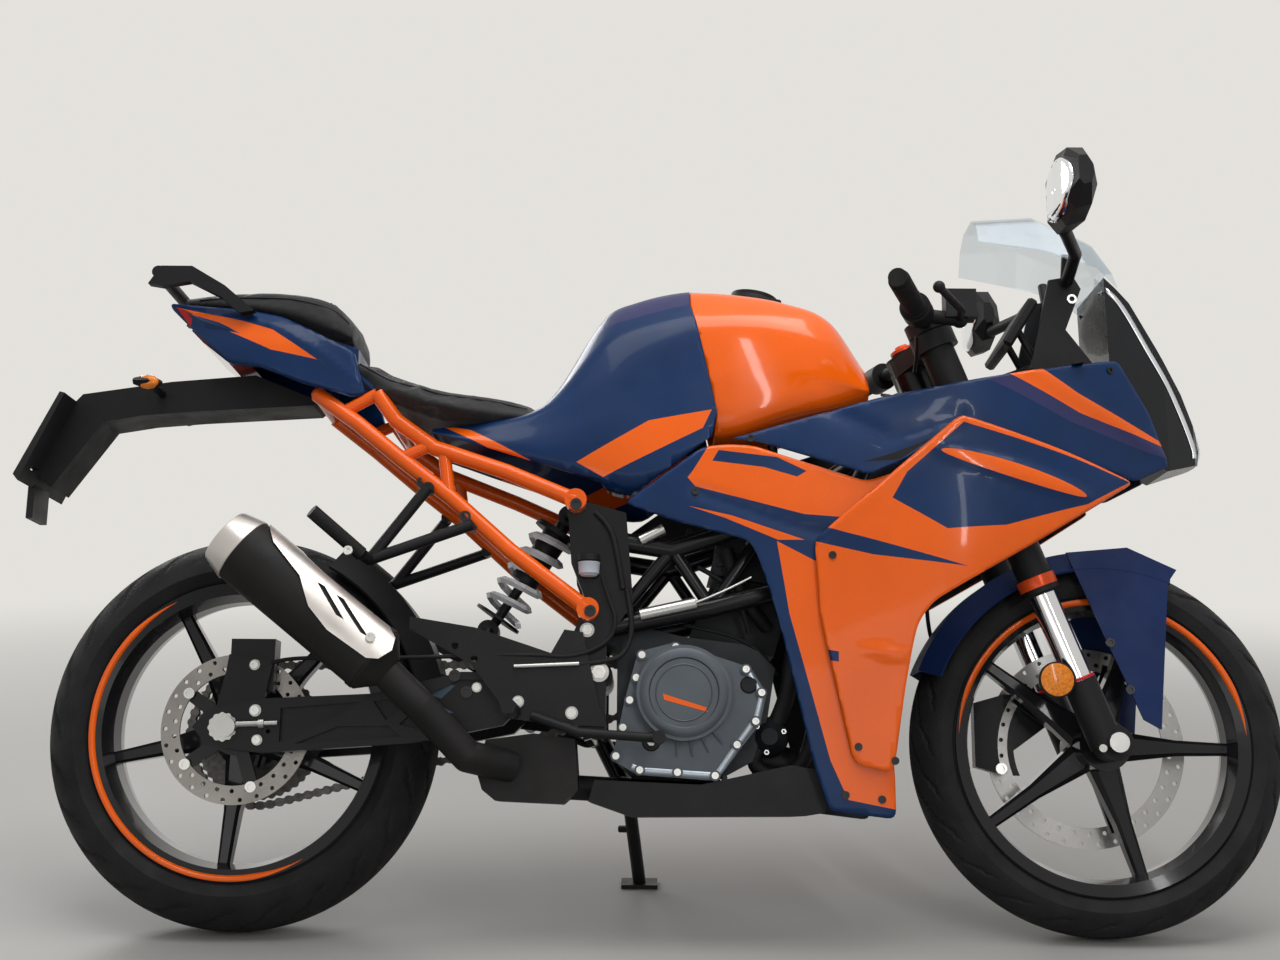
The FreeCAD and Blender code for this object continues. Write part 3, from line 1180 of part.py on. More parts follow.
def indicator(side):
    """A leaf-shaped lamp on a short rubber stalk."""
    root = place(indicator_share[0], 0, indicator_share[2]) + across * (side * (plate_arm_half + gap))
    tip = place(indicator_share[0], side * indicator_share[1], indicator_share[2])
    stalk = rod(root, tip, indicator_radius * 0.45)
    leaf = lofted([
        [tip + V(indicator_length * 0.5, side * dy * 0.3, dz * 0.3) for dy, dz in
         ((0, indicator_radius), (indicator_radius, 0), (0, -indicator_radius), (-indicator_radius, 0))],
        [tip + V(0, side * (dy + indicator_radius * 0.5), dz) for dy, dz in
         ((0, indicator_radius), (indicator_radius, 0), (0, -indicator_radius), (-indicator_radius, 0))],
        [tip + V(-indicator_length * 0.6, side * (dy * 0.4 + indicator_radius), dz * 0.4) for dy, dz in
         ((0, indicator_radius), (indicator_radius, 0), (0, -indicator_radius), (-indicator_radius, 0))],
    ])
    return fused([stalk, leaf])


def build_indicators():
    return Part.makeCompound([indicator(-1), indicator(1)])


# Fairings

upper_shares = [
    (0.040, [(0.920, 0.66), (0.820, 0.74), (0.740, 0.78), (0.660, 0.80)]),
    (0.160, [(0.920, 0.70), (0.820, 0.82), (0.740, 0.88), (0.660, 0.90)]),
    (0.255, [(0.920, 0.72), (0.820, 0.82), (0.740, 0.88), (0.660, 0.90)]),
    (0.345, [(0.920, 0.48), (0.820, 0.52), (0.740, 0.54), (0.660, 0.54)]),
    (0.402, [(0.920, 0.26), (0.820, 0.28), (0.740, 0.30), (0.660, 0.30)]),
]
upper_side_shares = [(0.044, 0.752), (0.160, 0.818), (0.255, 0.858), (0.345, 0.898), (0.358, 0.902), (0.384, 0.818),
                     (0.398, 0.734), (0.366, 0.703), (0.2225, 0.775), (0.178, 0.715), (0.150, 0.692), (0.064, 0.748)]
side_shares = [
    (0.104, [(0.790, 0.85), (0.640, 0.90), (0.500, 0.88), (0.240, 0.77)]),
    (0.165, [(0.790, 0.94), (0.640, 1.00), (0.500, 0.96), (0.240, 0.80)]),
    (0.225, [(0.790, 0.98), (0.640, 1.05), (0.500, 0.98), (0.240, 0.80)]),
    (0.300, [(0.790, 0.85), (0.640, 0.91), (0.500, 0.85), (0.240, 0.70)]),
    (0.365, [(0.790, 0.56), (0.640, 0.60), (0.500, 0.54), (0.240, 0.46)]),
]
side_side_shares = [(0.218, 0.782), (0.227, 0.779), (0.360, 0.694), (0.320, 0.644), (0.273, 0.587), (0.219, 0.526),
                    (0.194, 0.496), (0.183, 0.466), (0.179, 0.435), (0.173, 0.370), (0.164, 0.244), (0.135, 0.257),
                    (0.111, 0.471), (0.107, 0.582), (0.109, 0.595)]
inner_shares = [
    (-0.045, [(0.770, 0.76), (0.600, 0.76), (0.450, 0.74), (0.170, 0.70)]),
    (0.030, [(0.770, 0.80), (0.600, 0.80), (0.450, 0.77), (0.170, 0.70)]),
    (0.100, [(0.770, 0.80), (0.600, 0.84), (0.450, 0.81), (0.170, 0.70)]),
    (0.180, [(0.770, 0.82), (0.600, 0.86), (0.450, 0.82), (0.170, 0.70)]),
]
inner_side_shares = [(-0.038, 0.650), (0.022, 0.738), (0.040, 0.742), (0.061, 0.741), (0.148, 0.684), (0.172, 0.700),
                     (0.168, 0.640), (0.150, 0.500), (0.166, 0.245), (0.1665, 0.177), (0.120, 0.188),
                     (0.1165, 0.194), (0.106, 0.254), (0.079, 0.479), (0.065, 0.566), (0.058, 0.592), (0.002, 0.621)]
boss_radius = 8.0
side_boss_shares = [(0.125, 0.580), (0.135, 0.330)]
side_upper_boss_share = (0.235, 0.755)
inner_frame_boss_share = (0.034, 0.620)
inner_low_boss_share = (0.1185, 0.236)
pan_shares = [(-0.0625, 0.200), (-0.030, 0.178), (0.100, 0.181), (0.115, 0.186), (0.121, 0.246), (0.090, 0.256),
              (0.022, 0.226), (-0.058, 0.232)]
pan_half_share = 0.60
nose_shares = [(0.351, 1.045), (0.372, 1.005), (0.395, 0.930), (0.415, 0.860), (0.432, 0.775), (0.428, 0.745),
               (0.398, 0.728), (0.370, 0.760), (0.352, 0.900)]
nose_ear_share = (0.372, 0, 0.800)
nose_plan_shares = [(0.34, 0.42), (0.36, 0.40), (0.40, 0.27), (0.425, 0.15), (0.436, 0.0)]
screen_shares = [
    (0.250, [(1.105, 0.43), (1.140, 0.34), (1.160, 0.16)]),
    (0.300, [(1.088, 0.47), (1.145, 0.36), (1.166, 0.17)]),
    (0.345, [(1.062, 0.44), (1.105, 0.33), (1.125, 0.15)]),
    (0.362, [(1.030, 0.40), (1.062, 0.28), (1.074, 0.13)]),
]
screen_wall = 3.0
bracket_arm_share = 0.600
bracket_cross_share = (0.300, 0, 0.905)
bracket_arm_radius = 15.0
bracket_shares = [(0.290, 0.895), (0.308, 1.045), (0.328, 1.052), (0.334, 1.030), (0.320, 0.960), (0.340, 0.905),
                  (0.330, 0.870)]
bracket_inner_share = 0.30
bracket_thick = 8.0
dash_share = (0.2830, 0, 0.972)
dash_width = 150.0
dash_height = 92.0
dash_thick = 18.0
dash_tilt = 32.0
mirror_root_share = (0.322, 0.33, 1.040)
mirror_middle_share = (0.294, 1.65, 1.093)
mirror_width = 160.0
mirror_height = 112.0
mirror_depth = 56.0
mirror_stem_radius = 10.0


def plain_panel(stations, outline, side):
    return skin(stations, side, panel_wall).common(slab(side_outline(outline), 0, side * body_half_width * 1.2))


def boss_between(x_share, z_share, side, y_from, y_to):
    """A short round boss across the bike, which the panels on it are then cut clear of."""
    centre = place(x_share, 0, z_share)
    return disc(centre, boss_radius, side * body_half_width * y_from, side * body_half_width * y_to)


def with_panel_bosses(body, panels, boss_share, y_from, y_to):
    """Adds the two bosses that carry the inner panels, each ended on its panel's inner face."""
    for side, panel in zip((-1, 1), panels):
        body = body.fuse(boss_between(*boss_share, side, y_from, y_to).cut(panel))
    return body.removeSplitter()


def build_fairings():
    """Every panel of the fairing: inner panel first, then what is screwed onto it."""
    pieces = {}
    uppers = []
    for side, name in ((-1, "right"), (1, "left")):
        inner = plain_panel(inner_shares, inner_side_shares, side)
        upper = plain_panel(upper_shares, upper_side_shares, side)
        outer = plain_panel(side_shares, side_side_shares, side)
        bosses = [boss_between(x, z, side, 0.74, 0.90).common(slab([
            (body_length * 0.1, body_height * 0.2), (body_length * 0.2, body_height * 0.2),
            (body_length * 0.2, body_height * 0.7), (body_length * 0.1, body_height * 0.7)],
            side * body_half_width * 0.72, side * body_half_width)) for x, z in side_boss_shares]
        upper_boss = boss_between(*side_upper_boss_share, side, 0.84, 0.99)
        hidden = skin(side_shares, side, body_half_width).common(
            slab([(0, 0), (body_length, 0), (body_length, body_height), (0, body_height)],
                 0, side * body_half_width * 1.2))
        bosses = [boss.common(hidden) for boss in bosses + [upper_boss]]
        under_inner = inner_side_of(inner_shares, side)
        bosses = [bosses[0].cut(under_inner), bosses[1].cut(under_inner),
                  bosses[2].cut(inner_side_of(upper_shares, side))]
        pieces["inner_fairing_" + name] = inner
        pieces["side_fairing_" + name] = fused([outer] + bosses)
        uppers.append(upper)
    pieces["upper_fairing_right"], pieces["upper_fairing_left"] = uppers
    return pieces


def inner_side_of(stations, side):
    """Everything from a panel's outer face in to the bike's middle."""
    sections = []
    for x_share, rows in stations:
        outer = [place(x_share, side * y, z) for z, y in rows]
        inner = [V(p.x, 0, p.z) for p in reversed(outer)]
        sections.append(polygon(outer + inner))
    return Part.makeLoft(sections, True, True)


def build_belly_pan():
    """Black pan under the engine: two sides and a floor."""
    half = body_half_width * pan_half_share
    outer = slab(side_outline(pan_shares), -half, half)
    hollow = outer.translated(V(0, 0, panel_wall))
    inner_half = half - panel_wall
    strip = box_between(V(-body_length, -inner_half, 0), V(body_length, inner_half, body_height))
    body = outer.cut(hollow.fuse(outer.translated(V(0, 0, panel_wall * 6))).common(strip))
    bosses = []
    for side in (-1, 1):
        bosses.append(disc(place(0.040, 0, 0.2365), boss_radius / 2, side * (case_half_width + gap), side * half))
    return fused([body] + bosses)


def build_nose(uppers):
    """Headlamp unit that forms the nose between the upper panels."""
    body = slab(side_outline(nose_shares), -body_half_width / 2, body_half_width / 2)
    right = [V(body_length * x, -body_half_width * y, 0) for x, y in nose_plan_shares]
    left = [V(body_length * x, body_half_width * y, 0) for x, y in reversed(nose_plan_shares) if y]
    plan = Part.Face(polygon(right + left)).extrude(V(0, 0, body_height * 1.2))
    pieces = [body.common(plan)]
    for side in (-1, 1):
        ear = rod(place(*nose_ear_share), place(*nose_ear_share) + across * (side * body_half_width), boss_radius)
        pieces.append(ear.common(inner_side_of(upper_shares, side)))
    return fused(pieces).cut(uppers[0]).cut(uppers[1])


def build_screen(rise=0):
    """Clear bubble screen, one bowed sheet, or the space up to a rise above it."""
    sections = []
    for x_share, rows in screen_shares:
        right = [place(x_share, -y, z) for z, y in rows]
        left = [place(x_share, y, z) for z, y in reversed(rows)]
        outer = [p + V(0, 0, rise) for p in right + left]
        inner = [p - V(0, 0, rise + screen_wall) for p in reversed(outer)]
        sections.append(polygon(outer + inner))
    return Part.makeLoft(sections, True, True)


def build_cockpit_bracket(uppers, nose):
    """Arm from the head tube, between the fork tubes, to the side plates that hold screen and dash."""
    start = fork_point(body_height * bracket_arm_share, head_tube_radius - axis_behind_axle - bracket_thick, 0)
    stop = place(*bracket_cross_share)
    arm = rod(start, stop, bracket_arm_radius)
    inner = body_half_width * bracket_inner_share
    plate = slab(side_outline(bracket_shares), -inner, -inner - bracket_thick)
    cross = []
    for x, z, reach in ((0.300, 0.905, 0.30), (0.322, 0.885, 0.62), (0.322, 1.040, 0.33)):
        cross.append(rod(place(x, -reach, z), place(x, reach, z), brace_tube_radius))
    post = []
    for side in (-1, 1):
        post.append(rod(place(0.322, side * 0.31, 1.040), place(0.322, side * 0.40, 1.085), mirror_stem_radius * 0.8))
    for side in (-1, 1):
        seat = place(0, side * 0.20, 0)
        post.append(rod(place(0.300, 0, 0.905) + seat, place(*dash_share) + seat, lever_radius))
    body = fused([arm, plate, mirrored(plate)] + cross + post)
    head = rod(fork_point(lower_yoke_along, -axis_behind_axle, 0), fork_point(upper_yoke_along, -axis_behind_axle, 0),
               head_tube_radius)
    roof = build_screen(bracket_thick * 8)
    outside = [u.translated(across * (side * panel_wall * k)) for u, side in zip(uppers, (-1, 1)) for k in (0, 1, 2, 3, 4, 5, 6)]
    body = body.cut(head).cut(roof).cut(nose)
    for piece in outside:
        body = body.cut(piece)
    return body


def build_dash():
    """Flat instrument on two lugs over the cross tube."""
    half = V(dash_thick / 2, dash_width / 2, dash_height / 2)
    body = box_between(half * -1, half)
    bevel = body.makeChamfer(dash_thick / 4, body.Edges)
    bevel.rotate(V(0, 0, 0), across, dash_tilt)
    return bevel.translated(place(*dash_share))


def mirror(side):
    """A mirror: stem from the bracket, and a rounded housing that faces the rider."""
    root, middle = place(mirror_root_share[0], side * mirror_root_share[1], mirror_root_share[2]), \
        place(mirror_middle_share[0], side * mirror_middle_share[1], mirror_middle_share[2])
    sections = []
    for step, scale in ((-0.5, 0.35), (-0.36, 0.85), (0.0, 1.0), (0.30, 0.85), (0.5, 0.40)):
        y = middle.y + side * mirror_width * step
        d, h = mirror_depth * scale, mirror_height * scale
        ring = [(-0.5, -0.30), (-0.5, 0.36), (-0.38, 0.5), (0.10, 0.5), (0.42, 0.22), (0.5, -0.10), (0.3, -0.42), (-0.2, -0.5)]
        sections.append([V(middle.x + d * a, y, middle.z + h * b) for a, b in ring])
    elbow = V(middle.x + mirror_depth * 0.1, middle.y - side * mirror_width * 0.45, middle.z - mirror_height * 0.3)
    knee = root * 0.55 + elbow * 0.45 + V(mirror_depth * 0.3, 0, mirror_stem_radius)
    stem = tube_run([root + across * (side * mirror_stem_radius), knee, elbow, middle - V(0, side * mirror_width * 0.2, 0)],
                    mirror_stem_radius)
    return fused([lofted(sections), stem])


# Footrests, side stand and small parts

hanger_shares = [(-0.048, 0.310), (-0.055, 0.340), (-0.068, 0.452), (-0.082, 0.456), (-0.092, 0.420), (-0.110, 0.432),
                 (-0.150, 0.458), (-0.200, 0.474), (-0.200, 0.455), (-0.152, 0.402), (-0.130, 0.345),
                 (-0.127, 0.322), (-0.080, 0.312)]
hanger_hole_shares = [(-0.165, 0.430), (-0.150, 0.410)]
hanger_thick = 6.0
hanger_stand_off = 8.0
hanger_bolt_shares = [(-0.058, 0.322), (-0.070, 0.440)]
peg_share = (-0.119, 0.332)
peg_radius = 11.0
peg_length = 112.0
pedal_shares = [(-0.105, 0.325), (-0.070, 0.300), (-0.010, 0.292)]
pedal_out = 24.0
pedal_radius = 7.0
pillion_bar_shares = [(-0.190, 0.676), (-0.155, 0.618), (-0.233, 0.562), (-0.258, 0.512)]
pillion_peg_shares = [(-0.237, 0.80, 0.566), (-0.272, 1.02, 0.624)]
pillion_bar_radius = 9.0
cup_share = (-0.064, 0, 0.540)
cup_radius = 14.0
cup_height = 30.0
stand_pivot_share = (-0.036, 0.68, 0.252)
stand_foot_share = (-0.0235, 1.34)
stand_stowed_share = (-0.968, 0.252)
stand_radius = 11.0
stand_eye_radius = 15.0
stand_eye_half = 12.0
stand_bolt_radius = 5.0
stand_bolt_head = 9.0
foot_length = 62.0
foot_width = 44.0
foot_thick = 7.0


def footrest(side, frame):
    """Hanger plate with heel guard, footrest and the pedal or gear lever ahead of it."""
    plate_face = frame_half_width + pivot_plate_thick / 2
    inner = side * (plate_face + hanger_stand_off)
    outer = side * (plate_face + hanger_stand_off + hanger_thick)
    plate = slab(side_outline(hanger_shares), inner, outer)
    for x, z in hanger_hole_shares:
        plate = plate.cut(disc(place(x, 0, z), peg_radius / 2, 0, side * body_half_width))
    shapes = [plate]
    for x, z in hanger_bolt_shares:
        shapes.append(disc(place(x, 0, z), boss_radius, side * (plate_face + gap), outer))
    x, z = peg_share
    shapes.append(disc(place(x, 0, z), peg_radius, outer, outer + side * peg_length))
    points = [place(px, 0, pz) + across * (outer + side * (pedal_out if k else pedal_radius / 2))
              for k, (px, pz) in enumerate(pedal_shares)]
    shapes.append(tube_run(points, pedal_radius))
    shapes.append(rod(points[-1], points[-1] + across * (side * pedal_out * 1.6), pedal_radius * 1.4))
    return fused(shapes).cut(frame)


def pillion_footrest(side, subframe, silencer):
    """Triangle of bars bolted to the rear frame, with the passenger's footrest folded up."""
    y = body_half_width * 0.66
    a, b, node, tail = [place(x, 0, z) + across * (side * y) for x, z in pillion_bar_shares]
    tube_y = across * (side * (body_half_width * 0.56))
    shapes = [rod(a, node, pillion_bar_radius), rod(b, node, pillion_bar_radius)]
    for end in (a, b):
        shapes.append(rod(V(end.x, tube_y.y, end.z), end, pillion_bar_radius))
    root, tip = [place(x, side * py, z) for x, py, z in pillion_peg_shares]
    shapes += [rod(node, root, pillion_bar_radius), rod(root, tip, peg_radius)]
    return fused(shapes).cut(subframe).cut(silencer)


def build_cup():
    """Rear brake fluid cup: a clear cup with a wider cap, on the right pivot plate."""
    y = -(frame_half_width + pivot_plate_thick / 2 + gap + cup_radius + lever_radius / 2)
    low = place(*cup_share) + across * y
    cup = rod(low, low + V(0, 0, cup_height * 0.7), cup_radius)
    cap = rod(low + V(0, 0, cup_height * 0.7), low + V(0, 0, cup_height), cup_radius + lever_radius / 2)
    return fused([cup, cap])


def stand_axis():
    """Pivot point, foot point, and the line the side stand turns on from foot down to stowed."""
    point = place(*stand_pivot_share)
    x, y = body_length * stand_foot_share[0], body_half_width * stand_foot_share[1]
    tip = V(x, y, y * math.tan(math.radians(stand_lean)))
    down = (tip - point).normalize()
    back = V(stand_stowed_share[0], stand_stowed_share[1], 0)
    line = down.cross(back).normalize()
    return point, tip, line, math.degrees(down.getAngle(back))


def build_stand():
    """Side stand: an eye on its bolt, a straight leg and a flat foot that meets the ground."""
    point, tip, line, _ = stand_axis()
    eye = rod(point - line * stand_eye_half, point + line * stand_eye_half, stand_eye_radius)
    lift = rear_tyre_crown * (1 / math.cos(math.radians(stand_lean)) - 1)
    foot = Part.makeBox(foot_length, foot_width, foot_thick, V(-foot_length / 2, -foot_width / 2, 0))
    foot.rotate(V(0, 0, 0), V(1, 0, 0), stand_lean)
    foot = foot.translated(tip - V(0, 0, lift))
    ankle = tip - V(0, 0, lift) + ground_up * (foot_thick * 0.8)
    leg = rod(point, ankle, stand_radius)
    hook = rod(tip + (point - tip) * 0.5, tip + (point - tip) * 0.5 + V(-stand_radius * 2, stand_radius, 0), lever_radius)
    body = fused([eye, leg, foot, hook])
    return body.cut(rod(point - line * stand_eye_radius * 2, point + line * stand_eye_radius * 2,
                        stand_bolt_radius + running_gap))


def stand_lug():
    """The frame's boss and bolt for the side stand."""
    point, _, line, _ = stand_axis()
    root = point - line * (stand_eye_half + running_gap)
    boss = rod(root - line * frame_tube_radius * 2, root, stand_eye_radius)
    head = point + line * (stand_eye_half + running_gap)
    bolt = rod(root, head + line * stand_eye_half, stand_bolt_radius)
    cap = rod(head, head + line * stand_eye_half, stand_bolt_head)
    arm = rod(root - line * frame_tube_radius, place(-0.060, 0.605, 0.318), frame_tube_radius)
    room = rod(root, head + line * stand_eye_half, stand_eye_radius + frame_tube_radius)
    return [boss, bolt, cap, arm.cut(room)]


def with_tank_posts(frame, tank):
    """Posts on the frame's upper tubes that the tank sits on."""
    x, y = tank_post_share
    for side in (-1, 1):
        foot = place(x, side * y, 0.640)
        frame = frame.fuse(rod(foot, V(foot.x, foot.y, body_height * 0.86), boss_radius).cut(tank))
    return frame.removeSplitter()


def build_all():
    """Every piece of the bike, upright, by name and by the body that it moves with."""
    root, steering, front, rear = {}, build_steering(), build_front_wheel(), build_rear_wheel()
    root["fuel_tank"] = build_tank()
    root.update(build_fairings())
    inners = [root["inner_fairing_right"], root["inner_fairing_left"]]
    root["main_frame"] = with_tank_posts(build_frame(), root["fuel_tank"])
    root["main_frame"] = with_panel_bosses(root["main_frame"], inners, inner_frame_boss_share, 0.54, 0.79)
    root["subframe"] = build_subframe().cut(root["main_frame"])
    root["swingarm"] = build_swingarm()
    root["rear_axle"] = build_rear_axle()
    root["engine_case"] = build_engine_case()
    root["engine_top"] = build_engine_top()
    root["clutch_cover"] = build_clutch_cover()
    root["radiator"] = build_radiator(root["main_frame"])
    root["exhaust_pipe"] = build_exhaust().cut(root["engine_top"]).cut(root["engine_case"])
    root["silencer"] = build_silencer()
    root["silencer_shield"] = build_shield().cut(root["silencer"])
    root["shock_absorber"] = build_shock()
    root["shock_spring"] = build_spring()
    root["tank_cover"] = build_tank_cover().cut(root["main_frame"]).cut(root["subframe"])
    root["tail_fairing"] = build_tail(root["subframe"]).cut(root["tank_cover"])
    root["rider_seat"] = build_rider_seat().cut(root["tail_fairing"]).cut(root["subframe"])
    root["pillion_seat"] = build_pillion_seat().cut(root["tail_fairing"])
    root["tail_lamp"] = build_tail_lamp().cut(root["tail_fairing"])
    root["grab_rail"] = build_grab_rail().cut(root["tail_fairing"]).cut(root["pillion_seat"])
    root["number_plate"] = build_number_plate()
    root["plate_arm"] = build_plate_arm().cut(root["number_plate"]).cut(root["tail_lamp"])
    root["plate_arm"] = root["plate_arm"].cut(root["tail_fairing"]).cut(root["subframe"])
    root["indicators"] = build_indicators()
    uppers = [root["upper_fairing_right"], root["upper_fairing_left"]]
    root["belly_pan"] = build_belly_pan().cut(root["main_frame"]).cut(root["exhaust_pipe"])
    root["belly_pan"] = with_panel_bosses(root["belly_pan"], inners, inner_low_boss_share, pan_half_share * 0.99, 0.715)
    root["headlamp"] = build_nose(uppers)
    root["windscreen"] = build_screen().cut(root["headlamp"])
    root["cockpit_bracket"] = build_cockpit_bracket(uppers, root["headlamp"])
    root["dash"] = build_dash().cut(root["cockpit_bracket"])
    root["mirrors"] = Part.makeCompound([mirror(-1), mirror(1)]).cut(root["cockpit_bracket"])
    root["footrests"] = Part.makeCompound([footrest(side, root["main_frame"]) for side in (-1, 1)])
    root["pillion_footrests"] = Part.makeCompound(
        [pillion_footrest(side, root["subframe"], root["silencer"]) for side in (-1, 1)])
    root["brake_cup"] = build_cup()
    root["chain"] = build_chain()
    root["chain_guard"] = build_chain_guard().cut(root["swingarm"])
    root["rear_caliper"] = build_rear_caliper()
    return {"frame": root, "steering": steering, "front_wheel": front, "rear_wheel": rear,
            "side_stand": {"side_stand": build_stand()}, "filler_lid": {"filler_lid": build_filler_lid()}}


def leaned(shape):
    """Tips a shape from upright onto the stand, with the tyres' round crowns still on the ground."""
    tipped = shape.copy()
    tipped.rotate(V(0, 0, 0), V(1, 0, 0), -stand_lean)
    lift = rear_tyre_crown * (1 - math.cos(math.radians(stand_lean)))
    return tipped.translated(V(0, 0, lift))


def centred(bodies):
    """The shift that puts the leaned bike's middle over the origin."""
    box = FreeCAD.BoundBox()
    for pieces in bodies.values():
        for shape in pieces.values():
            box.add(leaned(shape).BoundBox)
    return V(-(box.XMin + box.XMax) / 2, -(box.YMin + box.YMax) / 2, 0)


def main():
    os.makedirs("parts", exist_ok=True)
    bodies = build_all()
    shift = centred(bodies)
    for pieces in bodies.values():
        for name, shape in pieces.items():
            leaned(shape).translated(shift).exportStep("parts/" + name + ".step")


main()
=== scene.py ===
import math
import bmesh
import bpy
from mathutils import Matrix, Vector
from mathutils.bvhtree import BVHTree


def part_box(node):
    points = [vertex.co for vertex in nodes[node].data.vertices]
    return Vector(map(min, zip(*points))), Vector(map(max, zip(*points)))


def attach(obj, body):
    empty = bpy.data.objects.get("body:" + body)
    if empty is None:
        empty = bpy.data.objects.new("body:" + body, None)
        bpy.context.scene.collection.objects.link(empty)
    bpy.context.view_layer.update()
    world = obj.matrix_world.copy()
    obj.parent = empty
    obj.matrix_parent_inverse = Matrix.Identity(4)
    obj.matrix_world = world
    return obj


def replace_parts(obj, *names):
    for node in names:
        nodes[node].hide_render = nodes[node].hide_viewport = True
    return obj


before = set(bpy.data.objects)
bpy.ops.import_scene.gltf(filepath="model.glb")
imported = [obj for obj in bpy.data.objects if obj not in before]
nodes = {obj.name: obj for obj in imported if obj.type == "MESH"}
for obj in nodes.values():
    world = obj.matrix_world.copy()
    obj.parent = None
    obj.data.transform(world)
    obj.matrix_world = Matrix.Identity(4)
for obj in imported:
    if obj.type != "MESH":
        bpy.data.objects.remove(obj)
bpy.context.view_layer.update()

# How the bike stands. It leans over to its left on the side stand, so every piece below is laid out
# on the upright bike in millimetres, x forward from midway between the axles, y to the left and z up
# from the ground, and is then tipped with the frame.
lean_angle = 14.1
crown_radius = 75.0
rear_tyre_radius = 306.0
front_tyre_radius = 293.0
wheelbase = 1343.0
front_axle = Vector((wheelbase / 2, 0, front_tyre_radius))
rear_axle = Vector((-wheelbase / 2, 0, rear_tyre_radius))

tip = Matrix.Rotation(math.radians(-lean_angle), 4, "X")
rear_low, rear_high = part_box("rear_tyre")
shift = (rear_low + rear_high) / 2 - tip @ (rear_axle / 1000)
tipped = Matrix.Translation(shift) @ tip @ Matrix.Scale(0.001, 4)


def upright(x, y, z):
    """A point of the upright bike in millimetres, where it lies in the scene."""
    return tipped @ Vector((x, y, z))


# The photographer's place: level with the tank, square to the bike's right side.
eye_place = Vector((-48, -2458, 787 + crown_radius * (1 - math.cos(math.radians(lean_angle)))))
eye_yaw, eye_pitch, eye_roll = math.radians(-0.07), math.radians(-1.95), math.radians(0.44)
photo_width = 1280
focal_pixels = 1608
sensor_width = 36.0

forward = Vector((math.sin(eye_yaw) * math.cos(eye_pitch), math.cos(eye_yaw) * math.cos(eye_pitch),
                  math.sin(eye_pitch)))
level = Vector((math.cos(eye_yaw), -math.sin(eye_yaw), 0))
right = level * math.cos(eye_roll) + level.cross(forward) * math.sin(eye_roll)
camera = bpy.data.objects.new("camera", bpy.data.cameras.new("camera"))
bpy.context.scene.collection.objects.link(camera)
camera.matrix_world = Matrix.Translation(eye_place / 1000 + Vector((shift.x, shift.y, 0))) @ Matrix(
    (right, right.cross(forward), -forward)).transposed().to_4x4()
camera.data.sensor_width = sensor_width
camera.data.lens = sensor_width * focal_pixels / photo_width
camera.data.clip_start, camera.data.clip_end = 0.05, 60
bpy.context.scene.camera = camera
bpy.context.scene.view_settings.view_transform = "Standard"

# The studio: a pale floor that runs into a pale surround, and large soft lamps overhead and in front,
# with a narrow strip that draws a highlight along the bodywork.
floor_mesh = bpy.data.meshes.new("floor")
floor_reach = 30.0
floor_mesh.from_pydata([(-floor_reach, -floor_reach, 0), (floor_reach, -floor_reach, 0),
                        (floor_reach, floor_reach, 0), (-floor_reach, floor_reach, 0)], [], [(0, 1, 2, 3)])
floor = bpy.data.objects.new("floor", floor_mesh)
bpy.context.scene.collection.objects.link(floor)
floor_finish = bpy.data.materials.new("pale_floor")
floor_finish.use_nodes = True
floor_shader = floor_finish.node_tree.nodes["Principled BSDF"]
floor_shader.inputs["Base Color"].default_value = (0.38, 0.37, 0.35, 1)
floor_shader.inputs["Roughness"].default_value = 0.55
floor_tree = floor_finish.node_tree
floor_place = floor_tree.nodes.new("ShaderNodeTexCoord")
floor_away = floor_tree.nodes.new("ShaderNodeVectorMath")
floor_fade = floor_tree.nodes.new("ShaderNodeMapRange")
floor_rays = floor_tree.nodes.new("ShaderNodeLightPath")
floor_seen = floor_tree.nodes.new("ShaderNodeMath")
floor_share = floor_tree.nodes.new("ShaderNodeMath")
floor_glow = floor_tree.nodes.new("ShaderNodeEmission")
floor_mix = floor_tree.nodes.new("ShaderNodeMixShader")
floor_away.operation = "LENGTH"
floor_fade.interpolation_type = "SMOOTHSTEP"
floor_fade.inputs["From Min"].default_value, floor_fade.inputs["From Max"].default_value = 1.1, 5.2
floor_seen.operation = "MAXIMUM"
floor_share.operation = "MULTIPLY"
floor_glow.inputs["Color"].default_value = (0.84, 0.82, 0.78, 1)
floor_glow.inputs["Strength"].default_value = 0.92
floor_tree.links.new(floor_place.outputs["Object"], floor_away.inputs[0])
floor_tree.links.new(floor_away.outputs["Value"], floor_fade.inputs["Value"])
floor_tree.links.new(floor_fade.outputs["Result"], floor_share.inputs[0])
floor_tree.links.new(floor_rays.outputs["Is Camera Ray"], floor_seen.inputs[0])
floor_tree.links.new(floor_rays.outputs["Is Glossy Ray"], floor_seen.inputs[1])
floor_tree.links.new(floor_seen.outputs["Value"], floor_share.inputs[1])
floor_tree.links.new(floor_share.outputs["Value"], floor_mix.inputs[0])
floor_tree.links.new(floor_shader.outputs["BSDF"], floor_mix.inputs[1])
floor_tree.links.new(floor_glow.outputs["Emission"], floor_mix.inputs[2])
floor_tree.links.new(floor_mix.outputs["Shader"], floor_tree.nodes["Material Output"].inputs["Surface"])
floor_mesh.materials.append(floor_finish)

